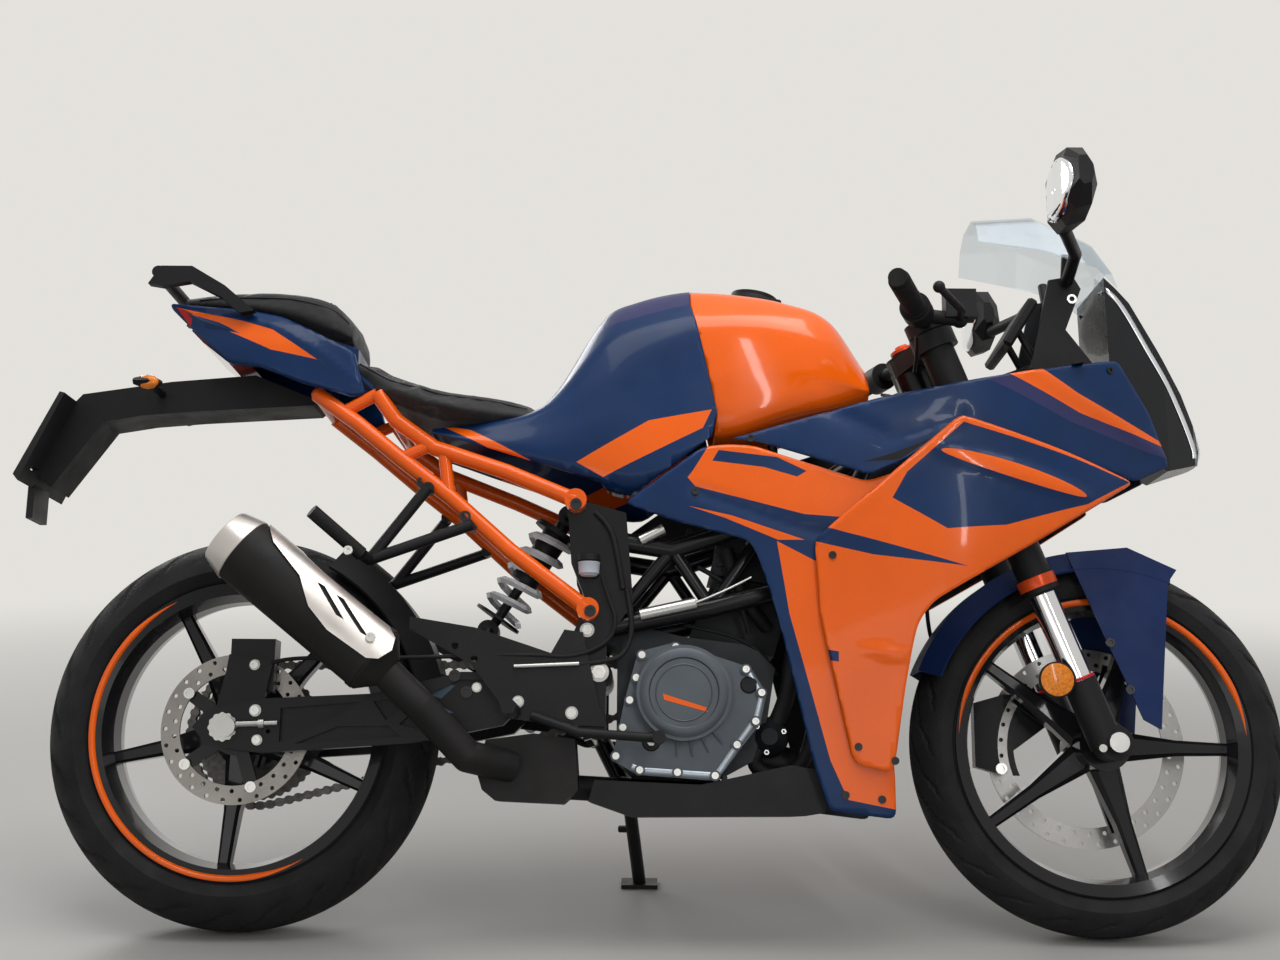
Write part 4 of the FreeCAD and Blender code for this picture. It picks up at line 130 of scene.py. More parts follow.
world = bpy.data.worlds.new("surround")
world.use_nodes = True
bpy.context.scene.world = world
sky = world.node_tree.nodes["Background"]
pale = world.node_tree.nodes.new("ShaderNodeBackground")
rays = world.node_tree.nodes.new("ShaderNodeLightPath")
pick = world.node_tree.nodes.new("ShaderNodeMixShader")
through = world.node_tree.nodes.new("ShaderNodeMath")
seen = world.node_tree.nodes.new("ShaderNodeMath")
through.operation = seen.operation = "MAXIMUM"
sky.inputs["Color"].default_value = (0.80, 0.84, 0.90, 1)
sky.inputs["Strength"].default_value = 0.26
pale.inputs["Color"].default_value = (0.84, 0.82, 0.78, 1)
pale.inputs["Strength"].default_value = 0.92
world.node_tree.links.new(rays.outputs["Is Glossy Ray"], through.inputs[0])
world.node_tree.links.new(rays.outputs["Is Transmission Ray"], through.inputs[1])
world.node_tree.links.new(rays.outputs["Is Camera Ray"], seen.inputs[0])
world.node_tree.links.new(through.outputs[0], seen.inputs[1])
world.node_tree.links.new(seen.outputs[0], pick.inputs[0])
world.node_tree.links.new(sky.outputs[0], pick.inputs[1])
world.node_tree.links.new(pale.outputs[0], pick.inputs[2])
world.node_tree.links.new(pick.outputs[0], world.node_tree.nodes["World Output"].inputs["Surface"])

for lamp_name, place, aim, size, watts in (
        ("overhead", (0.3, -0.6, 3.4), (0.0, 0.0, 0.4), (3.6, 1.6), 84),
        ("front_strip", (1.15, -3.2, 2.5), (0.3, 0.0, 0.6), (0.22, 2.6), 30),
        ("rear_fill", (-2.2, 2.6, 2.3), (0.0, 0.2, 0.5), (2.4, 1.2), 46),
        ("low_fill", (-0.6, -3.6, 0.7), (0.0, 0.0, 0.4), (3.0, 0.8), 9)):
    lamp = bpy.data.objects.new(lamp_name, bpy.data.lights.new(lamp_name, "AREA"))
    lamp.data.shape = "RECTANGLE"
    lamp.data.size, lamp.data.size_y = size
    lamp.data.energy = watts
    lamp.location = place
    lamp.rotation_euler = (Vector(aim) - Vector(place)).to_track_quat("-Z", "Y").to_euler()
    bpy.context.scene.collection.objects.link(lamp)

# Cast wheels. One-piece aluminium castings, gloss black, with five slim, tapering spokes. The
# orange lines on the rims are laid on further down, with the tyres.


def mix_noise(tree, scale, low, high, detail=4.0):
    """A value that drifts between low and high over the surface, at a scale in repeats a metre."""
    place = tree.nodes.new("ShaderNodeTexCoord")
    noise = tree.nodes.new("ShaderNodeTexNoise")
    span = tree.nodes.new("ShaderNodeMapRange")
    noise.inputs["Scale"].default_value = scale
    noise.inputs["Detail"].default_value = detail
    span.inputs["From Min"].default_value, span.inputs["From Max"].default_value = 0.3, 0.7
    span.inputs["To Min"].default_value, span.inputs["To Max"].default_value = low, high
    tree.links.new(place.outputs["Object"], noise.inputs["Vector"])
    tree.links.new(noise.outputs["Fac"], span.inputs["Value"])
    return span.outputs["Result"]


def finish(name, colour, rough, metal=0.0, coat=0.0, grain=0.0, grain_scale=900.0, tint=0.12, tint_scale=9.0):
    """A surface finish: a colour that drifts a little, uneven gloss and a fine grain."""
    made = bpy.data.materials.new(name)
    made.use_nodes = True
    tree = made.node_tree
    shader = tree.nodes["Principled BSDF"]
    ramp = tree.nodes.new("ShaderNodeMix")
    ramp.data_type = "RGBA"
    ramp.inputs[6].default_value = (*[c * (1 - tint) for c in colour], 1)
    ramp.inputs[7].default_value = (*[min(1, c * (1 + tint)) for c in colour], 1)
    tree.links.new(mix_noise(tree, tint_scale, 0, 1), ramp.inputs[0])
    tree.links.new(ramp.outputs[2], shader.inputs["Base Color"])
    tree.links.new(mix_noise(tree, 23.0, rough * 0.8, min(1, rough * 1.2)), shader.inputs["Roughness"])
    shader.inputs["Metallic"].default_value = metal
    shader.inputs["Coat Weight"].default_value = coat
    shader.inputs["Coat Roughness"].default_value = 0.06
    shader.inputs["Coat IOR"].default_value = 1.28
    shader.inputs["Specular IOR Level"].default_value = 0.5 if metal > 0.5 else 0.16
    if grain:
        bump = tree.nodes.new("ShaderNodeBump")
        bump.inputs["Strength"].default_value = grain
        bump.inputs["Distance"].default_value = 0.001
        tree.links.new(mix_noise(tree, grain_scale, 0, 1, 2.0), bump.inputs["Height"])
        tree.links.new(bump.outputs["Normal"], shader.inputs["Normal"])
    return made


def dress(material, *names):
    """Gives CAD nodes a finish."""
    for name in names:
        data = nodes[name].data
        data.materials.clear()
        data.materials.append(material)


def new_piece(name, points, faces, body, *materials, smooth=True):
    """A mesh from points of the upright bike in millimetres, on a body of the bike."""
    data = bpy.data.meshes.new(name)
    data.from_pydata([tipped @ Vector(p) for p in points], [], faces)
    data.validate()
    for material in materials:
        data.materials.append(material)
    data.polygons.foreach_set("use_smooth", [smooth] * len(data.polygons))
    piece = bpy.data.objects.new(name, data)
    bpy.context.scene.collection.objects.link(piece)
    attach(piece, body)
    return piece


def outward(piece):
    """Merges a piece's doubled points and points its faces outwards."""
    shape = bmesh.new()
    shape.from_mesh(piece.data)
    bmesh.ops.remove_doubles(shape, verts=shape.verts, dist=1e-6)
    bmesh.ops.recalc_face_normals(shape, faces=shape.faces)
    shape.to_mesh(piece.data)
    shape.free()


def sharpen(piece, angle=32):
    """Smooth shading with edges kept where faces meet at more than an angle."""
    with bpy.context.temp_override(object=piece, active_object=piece, selected_objects=[piece],
                                   selected_editable_objects=[piece]):
        bpy.ops.object.shade_smooth_by_angle(angle=math.radians(angle))


black_gloss = finish("black_wheel_paint", (0.012, 0.012, 0.014), 0.16, coat=0.7, grain=0.03, grain_scale=700)
orange_paint = finish("orange_paint", (0.90, 0.125, 0.003), 0.24, coat=0.9, grain=0.02, grain_scale=600,
                      tint=0.05)
dress(black_gloss, "front_rim", "rear_rim")

line_steps = 110

# Fairing panels. Thin moulded plastic, painted navy and orange under clear lacquer, with black inside.
# The navy inner panels are screwed to the frame, the orange side panels stand proud of them, and the
# navy upper panels run forward to the headlamp.


def curve(knots, values, where):
    """The value at a place on a smooth line through knots."""
    span = 0
    while span < len(knots) - 2 and where > knots[span + 1]:
        span += 1
    slopes = []
    for knot in (span, span + 1):
        before, after = max(0, knot - 1), min(len(knots) - 1, knot + 1)
        slopes.append((values[after] - values[before]) / (knots[after] - knots[before]))
    width = knots[span + 1] - knots[span]
    part = min(1, max(0, (where - knots[span]) / width))
    rest = 1 - part
    return (values[span] * (1 + 2 * part) * rest * rest + slopes[0] * width * part * rest * rest
            + values[span + 1] * (3 - 2 * part) * part * part - slopes[1] * width * rest * part * part)


def panel_half(table, x, z):
    """How far a panel's face lies from the bike's middle."""
    heights, stations = table
    return curve([s[0] for s in stations], [curve(heights, s[1], z) for s in stations], x)


def inside(outline, x, z):
    """Whether a point of the side view is inside an outline."""
    found = False
    for (x0, z0), (x1, z1) in zip(outline, outline[1:] + outline[:1]):
        if (z0 > z) != (z1 > z) and x < x0 + (x1 - x0) * (z - z0) / (z1 - z0):
            found = not found
    return found


def rounded(outline, radius, steps=4):
    """An outline with its corners rounded off."""
    points = []
    count = len(outline)
    for index in range(count):
        before, here, after = (Vector(outline[(index + k) % count]) for k in (-1, 0, 1))
        start = here + (before - here).normalized() * min(radius, (before - here).length * 0.45)
        stop = here + (after - here).normalized() * min(radius, (after - here).length * 0.45)
        for step in range(steps + 1):
            t = step / steps
            points.append(tuple(start * (1 - t) ** 2 + here * 2 * t * (1 - t) + stop * t * t))
    return points


def from_line(start, stop, x, z):
    """Distance in the side view from a point to a straight line between two points."""
    along = Vector(stop) - Vector(start)
    out = Vector((x, z)) - Vector(start)
    share = min(1, max(0, out.dot(along) / max(along.length_squared, 1e-9)))
    return (out - along * share).length


def score(shape, outline, reach):
    """Cuts a mesh's faces along an outline of the side view."""
    ends = zip(outline, outline[1:] + outline[:1])
    for start, stop in ends:
        along = Vector((stop[0] - start[0], stop[1] - start[1]))
        if along.length < 1e-3:
            continue
        faces = []
        for face in shape.faces:
            middle = face.calc_center_bounds()
            if from_line(start, stop, middle.x, middle.z) < reach:
                faces.append(face)
        edges = {edge for face in faces for edge in face.edges}
        verts = {vert for face in faces for vert in face.verts}
        bmesh.ops.bisect_plane(shape, geom=[*faces, *edges, *verts], dist=1e-3,
                               plane_co=(start[0], 0, start[1]), plane_no=(along.y, 0, -along.x))


def paint(shape, outline, slot, reach, where=None):
    """Gives the faces inside an outline of the side view one of the piece's finishes."""
    score(shape, outline, reach)
    for face in shape.faces:
        middle = face.calc_center_median()
        if inside(outline, middle.x, middle.z) and (where is None or where(middle)):
            face.material_index = slot


def trim(shape, outline, reach):
    """Cuts away what lies outside an outline of the side view."""
    score(shape, outline, reach)
    gone = []
    for face in shape.faces:
        middle = face.calc_center_median()
        if not inside(outline, middle.x, middle.z):
            gone.append(face)
    bmesh.ops.delete(shape, geom=gone, context="FACES")


def drawn_in(outline, gap):
    """An outline moved inwards by a gap."""
    turn = sum(x0 * z1 - x1 * z0 for (x0, z0), (x1, z1) in zip(outline, outline[1:] + outline[:1]))
    side = 1 if turn > 0 else -1
    points = []
    for index in range(len(outline)):
        before, here, after = (Vector(outline[(index + k) % len(outline)]) for k in (-1, 0, 1))
        along = (here - before).normalized() + (after - here).normalized()
        along = along.normalized() if along.length > 1e-6 else (after - here).normalized()
        points.append((here.x - side * along.y * gap, here.y + side * along.x * gap))
    return points


panel_cell = 9.0
edge_roll = 4.0
edge_drop = 1.5
panel_wall = 3.2


def panel(name, table, outline, bands, finishes, bulges=(), creases=(), corner=9, sides=("right", "left")):
    """A painted panel on each side: cut out of a sheet that follows the table, with a rolled edge."""
    edge = rounded(outline, corner)
    low_x, high_x = min(p[0] for p in edge), max(p[0] for p in edge)
    low_z, high_z = min(p[1] for p in edge), max(p[1] for p in edge)
    columns, rows = int((high_x - low_x) / panel_cell) + 2, int((high_z - low_z) / panel_cell) + 2
    points = [(low_x + panel_cell * i - 2, 0,
               low_z + panel_cell * j - 2) for i in range(columns) for j in range(rows)]
    faces = [(i * rows + j, (i + 1) * rows + j, (i + 1) * rows + j + 1, i * rows + j + 1)
             for i in range(columns - 1) for j in range(rows - 1)]
    sheet = bpy.data.meshes.new(name)
    sheet.from_pydata(points, [], faces)
    shape = bmesh.new()
    shape.from_mesh(sheet)
    trim(shape, edge, panel_cell * 1.2)
    score(shape, drawn_in(edge, edge_roll), panel_cell * 1.2)
    for band, slot in bands:
        paint(shape, band, slot, panel_cell * 1.2)
    for vert in shape.verts:
        x, z = vert.co.x, vert.co.z
        half = panel_half(table, x, z)
        near = min(from_line(a, b, x, z) for a, b in zip(edge, edge[1:] + edge[:1]))
        if near < edge_roll:
            half -= edge_drop * (1 - near / edge_roll)
        for (cx, cz), long, short, tilt, rise in bulges:
            turn = math.radians(tilt)
            a = ((x - cx) * math.cos(turn) + (z - cz) * math.sin(turn)) / long
            b = (-(x - cx) * math.sin(turn) + (z - cz) * math.cos(turn)) / short
            half += rise * max(0, 1 - a * a - b * b) ** 0.6
        for line, width, rise in creases:
            gap = min(from_line(a, b, x, z) for a, b in zip(line, line[1:]))
            half += rise * max(0, 1 - gap / width) ** 1.5
        vert.co.y = half
    made = []
    for side in sides:
        turn = -1 if side == "right" else 1
        data = bpy.data.meshes.new(name + "_" + side)
        copy = shape.copy()
        for vert in copy.verts:
            vert.co = tipped @ Vector((vert.co.x, turn * vert.co.y, vert.co.z))
        copy.to_mesh(data)
        copy.free()
        outside = tipped.to_3x3() @ Vector((0, turn, 0))
        total = sum((p.normal * p.area for p in data.polygons), Vector())
        if total.dot(outside) < 0:
            data.flip_normals()
        for material in finishes:
            data.materials.append(material)
        data.polygons.foreach_set("use_smooth", [True] * len(data.polygons))
        piece = bpy.data.objects.new(name + "_" + side, data)
        bpy.context.scene.collection.objects.link(piece)
        wall = piece.modifiers.new("wall", "SOLIDIFY")
        wall.thickness = panel_wall / 1000
        wall.offset = -1
        wall.use_even_offset = True
        wall.material_offset = len(finishes)
        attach(piece, "frame")
        made.append(piece)
    shape.free()
    return made


navy_paint = finish("navy_paint", (0.003, 0.024, 0.090), 0.36, coat=0.3, grain=0.05, grain_scale=700,
                    tint=0.16)
# A lighter violet: a band on the upper panels, and on the tank cover's top a painted reflection of the
# overhead light.
violet_and_painted_sheen = finish("violet_and_painted_sheen", (0.030, 0.032, 0.105), 0.38, coat=0.35, grain=0.04, grain_scale=700)
black_plastic = finish("black_plastic", (0.009, 0.009, 0.010), 0.46, grain=0.22, grain_scale=1100)

side_table = ((240, 500, 640, 790), (
    (208, (154, 176, 180, 170)), (330, (160, 192, 200, 188)), (450, (160, 196, 210, 196)),
    (600, (140, 170, 182, 170)), (730, (92, 108, 120, 112))))
side_outline = [(436, 782), (454, 779), (720, 694), (640, 644), (546, 587), (438, 526), (388, 496),
                (366, 466), (358, 435), (346, 370), (328, 244), (270, 257), (222, 471), (214, 582), (218, 595)]
side_field = [(442, 771), (712, 694), (632, 650), (500, 611), (410, 604), (330, 652), (353, 692)]
side_band = [(216, 613), (290, 592), (440, 548), (300, 566), (212, 588)]
side_spike = [(190, 432), (248, 422), (248, 407), (199, 414)]
blister_face = [(518 + 118 * math.cos(a / 14 * math.pi) * 0.96 + 12 * math.sin(a / 14 * math.pi) * 0.27,
                 694 - 118 * math.cos(a / 14 * math.pi) * 0.27 + 12 * math.sin(a / 14 * math.pi) * 0.96)
                for a in range(28)]
panel("side_panel", side_table, side_outline,
      [(side_field, 1), (blister_face, 0), (side_band, 1), (side_spike, 1)],
      [orange_paint, navy_paint, black_plastic],
      bulges=[((518, 694), 135, 20, -15.5, 7), ((316, 420), 44, 8, -12, 4.0)],
                    creases=[([(438, 774), (224, 592)], 14, 3.0)], corner=16)

inner_table = ((170, 450, 600, 770), (
    (-90, (140, 148, 152, 152)), (60, (140, 154, 160, 160)), (200, (140, 162, 168, 160)),
    (360, (140, 164, 172, 164))))
inner_outline = [(-76, 650), (44, 738), (80, 742), (122, 741), (296, 684), (344, 700), (336, 640), (300, 500),
                 (332, 245),
                 (333, 177), (240, 188), (233, 194), (212, 254), (158, 479), (130, 566), (116, 592), (4, 621)]
inner_flame = [(30, 700), (62, 752), (130, 752), (350, 700), (290, 625), (200, 632), (34, 676), (22, 690)]
inner_slash = [(70, 733), (160, 722), (205, 700), (190, 691), (140, 706), (60, 716)]
inner_line = [(24, 645), (90, 630), (200, 592), (160, 592), (80, 626)]
inner_low = [(158, 590), (215, 560), (330, 560), (340, 190), (262, 205), (236, 262), (176, 480)]
panel("inner_panel", inner_table, inner_outline, [(inner_flame, 1), (inner_slash, 0), (inner_line, 1),
                                                  (inner_low, 1)],
      [navy_paint, orange_paint, black_plastic], creases=[([(40, 668), (190, 612), (300, 590)], 16, -5.0)],
      corner=14)

upper_table = ((660, 740, 820, 920), (
    (80, (160, 156, 148, 132)), (320, (180, 176, 164, 140)), (510, (180, 176, 164, 144)),
    (690, (108, 108, 104, 96)), (804, (60, 60, 56, 52))))
upper_outline = [(88, 752), (320, 818), (510, 858), (690, 898), (716, 902), (768, 818), (796, 734),
                 (732, 703), (445, 775), (356, 715), (300, 692), (128, 748)]
upper_stripe = [(512, 868), (572, 880), (640, 838), (812, 760), (783, 766), (640, 806)]
upper_shade = [(480, 855), (512, 868), (640, 806), (783, 766), (800, 745), (760, 752), (620, 790)]
upper_vent = [(288, 712), (346, 716), (400, 752), (330, 724)]
panel("upper_panel", upper_table, upper_outline, [(upper_stripe, 1), (upper_shade, 2), (upper_vent, 3)],
      [navy_paint, orange_paint, violet_and_painted_sheen, black_plastic],
      creases=[([(240, 800), (330, 752), (440, 790)], 26, -6.0),
               ([(560, 872), (700, 800), (800, 740)], 20, 3.0)])
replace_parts(bpy.data.objects["upper_panel_right"], "upper_fairing_right")
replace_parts(bpy.data.objects["upper_panel_left"], "upper_fairing_left")
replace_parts(bpy.data.objects["inner_panel_right"], "inner_fairing_right")
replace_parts(bpy.data.objects["inner_panel_left"], "inner_fairing_left")
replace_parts(bpy.data.objects["side_panel_right"], "side_fairing_right")
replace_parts(bpy.data.objects["side_panel_left"], "side_fairing_left")


def point_set(name, spots):
    """Points of the upright bike with the way each one faces, for what repeats to be set on."""
    data = bpy.data.meshes.new(name)
    data.from_pydata([tipped @ Vector(place) for place, way in spots], [], [])
    ways = data.attributes.new("way", "FLOAT_VECTOR", "POINT")
    for index, (place, way) in enumerate(spots):
        ways.data[index].vector = (tip.to_3x3() @ Vector(way)).normalized()
    made = bpy.data.objects.new(name, data)
    bpy.context.scene.collection.objects.link(made)
    return made


bolt_tree = bpy.data.node_groups.new("bolt_heads", "GeometryNodeTree")
bolt_sockets = {}
bolt_tree.interface.new_socket("Points", in_out="INPUT", socket_type="NodeSocketGeometry")
for label, kind in (("Radius", "NodeSocketFloat"), ("Height", "NodeSocketFloat"), ("Sides", "NodeSocketInt"),
                    ("Socket", "NodeSocketFloat"), ("Material", "NodeSocketMaterial")):
    bolt_sockets[label] = bolt_tree.interface.new_socket(label, in_out="INPUT", socket_type=kind).identifier
bolt_tree.interface.new_socket("Geometry", in_out="OUTPUT", socket_type="NodeSocketGeometry")
bolt_in = bolt_tree.nodes.new("NodeGroupInput")
bolt_out = bolt_tree.nodes.new("NodeGroupOutput")
head = bolt_tree.nodes.new("GeometryNodeMeshCylinder")
bolt_tree.links.new(bolt_in.outputs["Sides"], head.inputs["Vertices"])
bolt_tree.links.new(bolt_in.outputs["Radius"], head.inputs["Radius"])
bolt_tree.links.new(bolt_in.outputs["Height"], head.inputs["Depth"])
crown = bolt_tree.nodes.new("GeometryNodeExtrudeMesh")
crown.inputs["Offset Scale"].default_value = 0
bolt_tree.links.new(head.outputs["Mesh"], crown.inputs["Mesh"])
bolt_tree.links.new(head.outputs["Top"], crown.inputs["Selection"])
drawn = bolt_tree.nodes.new("GeometryNodeScaleElements")
drawn.inputs["Scale"].default_value = 0.55
bolt_tree.links.new(crown.outputs["Mesh"], drawn.inputs["Geometry"])
bolt_tree.links.new(crown.outputs["Top"], drawn.inputs["Selection"])
recess = bolt_tree.nodes.new("GeometryNodeExtrudeMesh")
bolt_tree.links.new(drawn.outputs["Geometry"], recess.inputs["Mesh"])
bolt_tree.links.new(crown.outputs["Top"], recess.inputs["Selection"])
bolt_tree.links.new(bolt_in.outputs["Socket"], recess.inputs["Offset Scale"])
set_on = bolt_tree.nodes.new("GeometryNodeInstanceOnPoints")
way_in = bolt_tree.nodes.new("GeometryNodeInputNamedAttribute")
way_in.data_type = "FLOAT_VECTOR"
way_in.inputs["Name"].default_value = "way"
turned = bolt_tree.nodes.new("FunctionNodeAlignRotationToVector")
turned.axis = "Z"
bolt_tree.links.new(way_in.outputs["Attribute"], turned.inputs["Vector"])
bolt_tree.links.new(bolt_in.outputs["Points"], set_on.inputs["Points"])
bolt_tree.links.new(recess.outputs["Mesh"], set_on.inputs["Instance"])
bolt_tree.links.new(turned.outputs["Rotation"], set_on.inputs["Rotation"])
made_real = bolt_tree.nodes.new("GeometryNodeRealizeInstances")
bolt_tree.links.new(set_on.outputs["Instances"], made_real.inputs["Geometry"])
bolt_finish = bolt_tree.nodes.new("GeometryNodeSetMaterial")
bolt_tree.links.new(made_real.outputs["Geometry"], bolt_finish.inputs["Geometry"])
bolt_tree.links.new(bolt_in.outputs["Material"], bolt_finish.inputs["Material"])
bolt_tree.links.new(bolt_finish.outputs["Geometry"], bolt_out.inputs[0])


def grown(maker, tree, sockets, body, values):
    """Runs a tree on an object and keeps its result as a plain mesh on a body."""
    grower = maker.modifiers.new("grow", "NODES")
    grower.node_group = tree
    for label, value in values.items():
        grower[sockets[label]] = value
    view = bpy.context.evaluated_depsgraph_get()
    data = bpy.data.meshes.new_from_object(maker.evaluated_get(view))
    maker.modifiers.remove(grower)
    maker.data = data
    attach(maker, body)
    return maker


def bolts(name, body, spots, radius, height, material, sides=14, socket=None):
    """Bolt heads with a driver recess, each at a point and facing outwards."""
    return grown(point_set(name, spots), bolt_tree, bolt_sockets, body,
                 {"Radius": radius / 1000, "Height": height / 1000, "Sides": sides,
                  "Socket": -(socket or height * 0.6) / 1000, "Material": material})


dark_bolt = finish("dark_bolt", (0.03, 0.03, 0.032), 0.34, metal=0.8, grain=0.06)
steel_bolt = finish("steel_bolt", (0.62, 0.62, 0.60), 0.30, metal=1.0, grain=0.05)


def panel_spot(table, side, x, z, proud=0.6):
    """A point on a panel's face and the way it faces."""
    half = panel_half(table, x, z)
    slope_x = panel_half(table, x + 4, z) - panel_half(table, x - 4, z)
    slope_z = panel_half(table, x, z + 4) - panel_half(table, x, z - 4)
    return (x, side * (half + proud), z), (-slope_x, side * 8, -slope_z)


bolts("fairing_bolts", "frame",
      [panel_spot(inner_table, side, x, z) for side in (-1, 1) for x,
       z in ((34, 668), (312, 206), (258, 212))]
      + [panel_spot(side_table, side, x, z) for side in (-1, 1) for x,
         z in ((240, 566), (276, 282), (330, 262))]
      + [panel_spot(upper_table, side, x, z) for side in (-1, 1) for x, z in ((700, 884), (120, 752))],
      6.0, 3.0, dark_bolt)

# Tank and its cover. A pressed steel tank, painted orange and creased along its shoulders, with a navy
# moulded cover behind it that runs down beside the seat. A black filler neck sits on top.


def hooped(name, stations, across_steps, along_steps, hold=0.0):
    """A skin over hoops: each hoop is a place along the bike with its heights and half widths from the
    middle of the top round to the middle of the bottom."""
    hoops = []
    for x, rows in stations:
        knots = list(range(len(rows)))
        hoop = []
        for step in range((len(rows) - 1) * across_steps + 1):
            where = step / across_steps
            low = min(int(where), len(rows) - 2)
            flat = [rows[low][k] + (rows[low + 1][k] - rows[low][k]) * (where - low) for k in (0, 1)]
            soft = [curve(knots, [row[k] for row in rows], where) for k in (0, 1)]
            hoop.append([flat[k] * hold + soft[k] * (1 - hold) for k in (0, 1)])
        hoops.append((x, hoop))
    places = [h[0] for h in hoops]
    points, faces = [], []
    count = len(hoops[0][1])
    columns = []
    for index in range(len(places) - 1):
        for step in range(along_steps):
            columns.append(places[index] + (places[index + 1] - places[index]) * step / along_steps)
    columns.append(places[-1])
    order = sorted(range(len(places)), key=lambda k: places[k])
    knots = [places[k] for k in order]
    for x in columns:
        ring = []
        for step in range(count):
            z = curve(knots, [hoops[k][1][step][0] for k in order], x)
            y = curve(knots, [hoops[k][1][step][1] for k in order], x)
            ring.append((y, z))
        ring = [(x, -y, z) for y, z in ring] + [(x, y, z) for y, z in reversed(ring[1:-1])]
        points += ring
    across = len(ring)
    for column in range(len(columns) - 1):
        for step in range(across):
            a, b = column * across + step, column * across + (step + 1) % across
            faces.append((a, b, b + across, a + across))
    faces.append(tuple(range(across)))
    faces.append(tuple(range(len(points) - 1, len(points) - across - 1, -1)))
    return points, faces


def flat_shape(points, faces):
    """A mesh in the upright bike's millimetres, to be cut before it is stood in the scene."""
    data = bpy.data.meshes.new("blank")
    data.from_pydata(points, [], faces)
    shape = bmesh.new()
    shape.from_mesh(data)
    bmesh.ops.recalc_face_normals(shape, faces=shape.faces)
    return shape


def stood(name, shape, body, *finishes, smooth=True):
    """Stands a mesh that was made in the upright bike's millimetres in the scene, on a body."""
    shape.transform(tipped)
    data = bpy.data.meshes.new(name)
    shape.to_mesh(data)
    shape.free()
    for material in finishes:
        data.materials.append(material)
    data.polygons.foreach_set("use_smooth", [smooth] * len(data.polygons))
    piece = bpy.data.objects.new(name, data)
    bpy.context.scene.collection.objects.link(piece)
    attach(piece, body)
    return piece


tank_hoops = [
    (316, [(895, 0), (890, 44), (868, 68), (850, 80), (838, 60), (835, 0)]),
    (256, [(984, 0), (972, 60), (925, 92), (862, 104), (820, 92), (812, 0)]),
    (180, [(1012, 0), (1000, 72), (945, 116), (870, 128), (800, 120), (775, 0)]),
    (100, [(1026, 0), (1012, 76), (950, 128), (860, 138), (772, 124), (752, 0)]),
    (24, [(1030, 0), (1016, 76), (950, 128), (860, 138), (765, 124), (748, 0)]),
]
tank_side = [(28, 1100), (28, 985), (41, 930), (69, 797), (61, 740), (61, 600), (420, 600), (420, 1100)]
tank_shape = flat_shape(*hooped("tank", tank_hoops, 7, 9, hold=0.45))
trim(tank_shape, tank_side, 30)
tank = stood("tank_shell", tank_shape, "frame", orange_paint)
bpy.context.view_layer.update()

cover_hoops = [
    (90, [(1026, 0), (1012, 76), (950, 132), (860, 144), (745, 144), (740, 0)]),
    (24, [(1030, 0), (1016, 76), (950, 132), (860, 144), (700, 148), (690, 0)]),
    (-60, [(1012, 0), (998, 72), (935, 124), (850, 140), (680, 148), (670, 0)]),
    (-112, [(985, 0), (970, 68), (915, 116), (840, 136), (690, 144), (680, 0)]),
    (-205, [(828, 0), (826, 68), (815, 108), (795, 124), (715, 132), (700, 0)]),
    (-300, [(791, 0), (791, 60), (788, 100), (776, 112), (742, 120), (738, 0)]),
    (-380, [(783, 0), (783, 60), (781, 88), (777, 100), (765, 104), (762, 0)]),
]
cover_side = [(68, 797), (40, 930), (27, 985), (27, 1100), (-480, 1100), (-480, 600), (-400, 745),
              (-378, 770), (-114, 686), (-88, 667), (-52, 671), (60, 757)]
cover_flash = [(-150, 716), (-108, 692), (46, 770), (60, 800), (-38, 782)]
cover_spear = [(-372, 786), (-319, 774), (-190, 703), (-205, 702), (-225, 708), (-335, 766)]
cover_shape = flat_shape(*hooped("cover", cover_hoops, 7, 9, hold=0.35))
trim(cover_shape, cover_side, 34)
low_faces = [face for face in cover_shape.faces
             if face.normal.z < -0.7 and abs(face.calc_center_median().y) < 100]
bmesh.ops.delete(cover_shape, geom=low_faces, context="FACES")
paint(cover_shape, cover_flash, 1, 30, where=lambda middle: abs(middle.y) > 90)
paint(cover_shape, cover_spear, 1, 30, where=lambda middle: abs(middle.y) > 60)
# The lighter violet patch on the cover's top is a painted reflection of the overhead light, not a colour of
# the cover.
paint(cover_shape, [(-84, 990), (-110, 950), (26, 985), (26, 1040), (-60, 1040)], 2, 30)
cover = stood("tank_cover_shell", cover_shape, "frame", navy_paint, orange_paint, violet_and_painted_sheen)
for shell in (tank, cover):
    rim = shell.modifiers.new("rim", "SOLIDIFY")
    rim.thickness = 0.003
    rim.offset = -1
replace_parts(cover, "tank_cover")
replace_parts(tank, "fuel_tank")
bolts("cover_bolts", "frame", [((30, side * 138.5, 812), (0, side, 0.12)) for side in (-1, 1)], 9.0, 3.5,
      dark_bolt)
dress(black_plastic, "filler_lid")

filler_tilt = math.radians(9.93)
filler_way = Vector((math.sin(filler_tilt), 0, math.cos(filler_tilt)))
filler_ahead = Vector((math.cos(filler_tilt), 0, -math.sin(filler_tilt)))
filler_top = filler_way * 1035.1 - filler_ahead * 42.35
ring_profile = [(42.0, -9.0), (42.0, -1.2), (41.0, 0.0), (30.0, 0.0), (29.0, -4.8), (18.0, -5.4),
                (17.0, -9.0), (0.5, -9.0)]
ring_steps = 64
points, faces = [], []
for step in range(ring_steps):
    angle = 2 * math.pi * step / ring_steps
    spoke = filler_ahead * math.cos(angle) + Vector((0, math.sin(angle), 0))
    points += [filler_top + spoke * radius + filler_way * rise for radius, rise in ring_profile]
    for row in range(len(ring_profile)):
        after = (step + 1) % ring_steps * len(ring_profile)
        a, b = step * len(ring_profile), (row + 1) % len(ring_profile)
        faces.append((a + row, a + b, after + b, after + row))
ring = new_piece("filler_ring", points, faces, "frame", black_plastic)
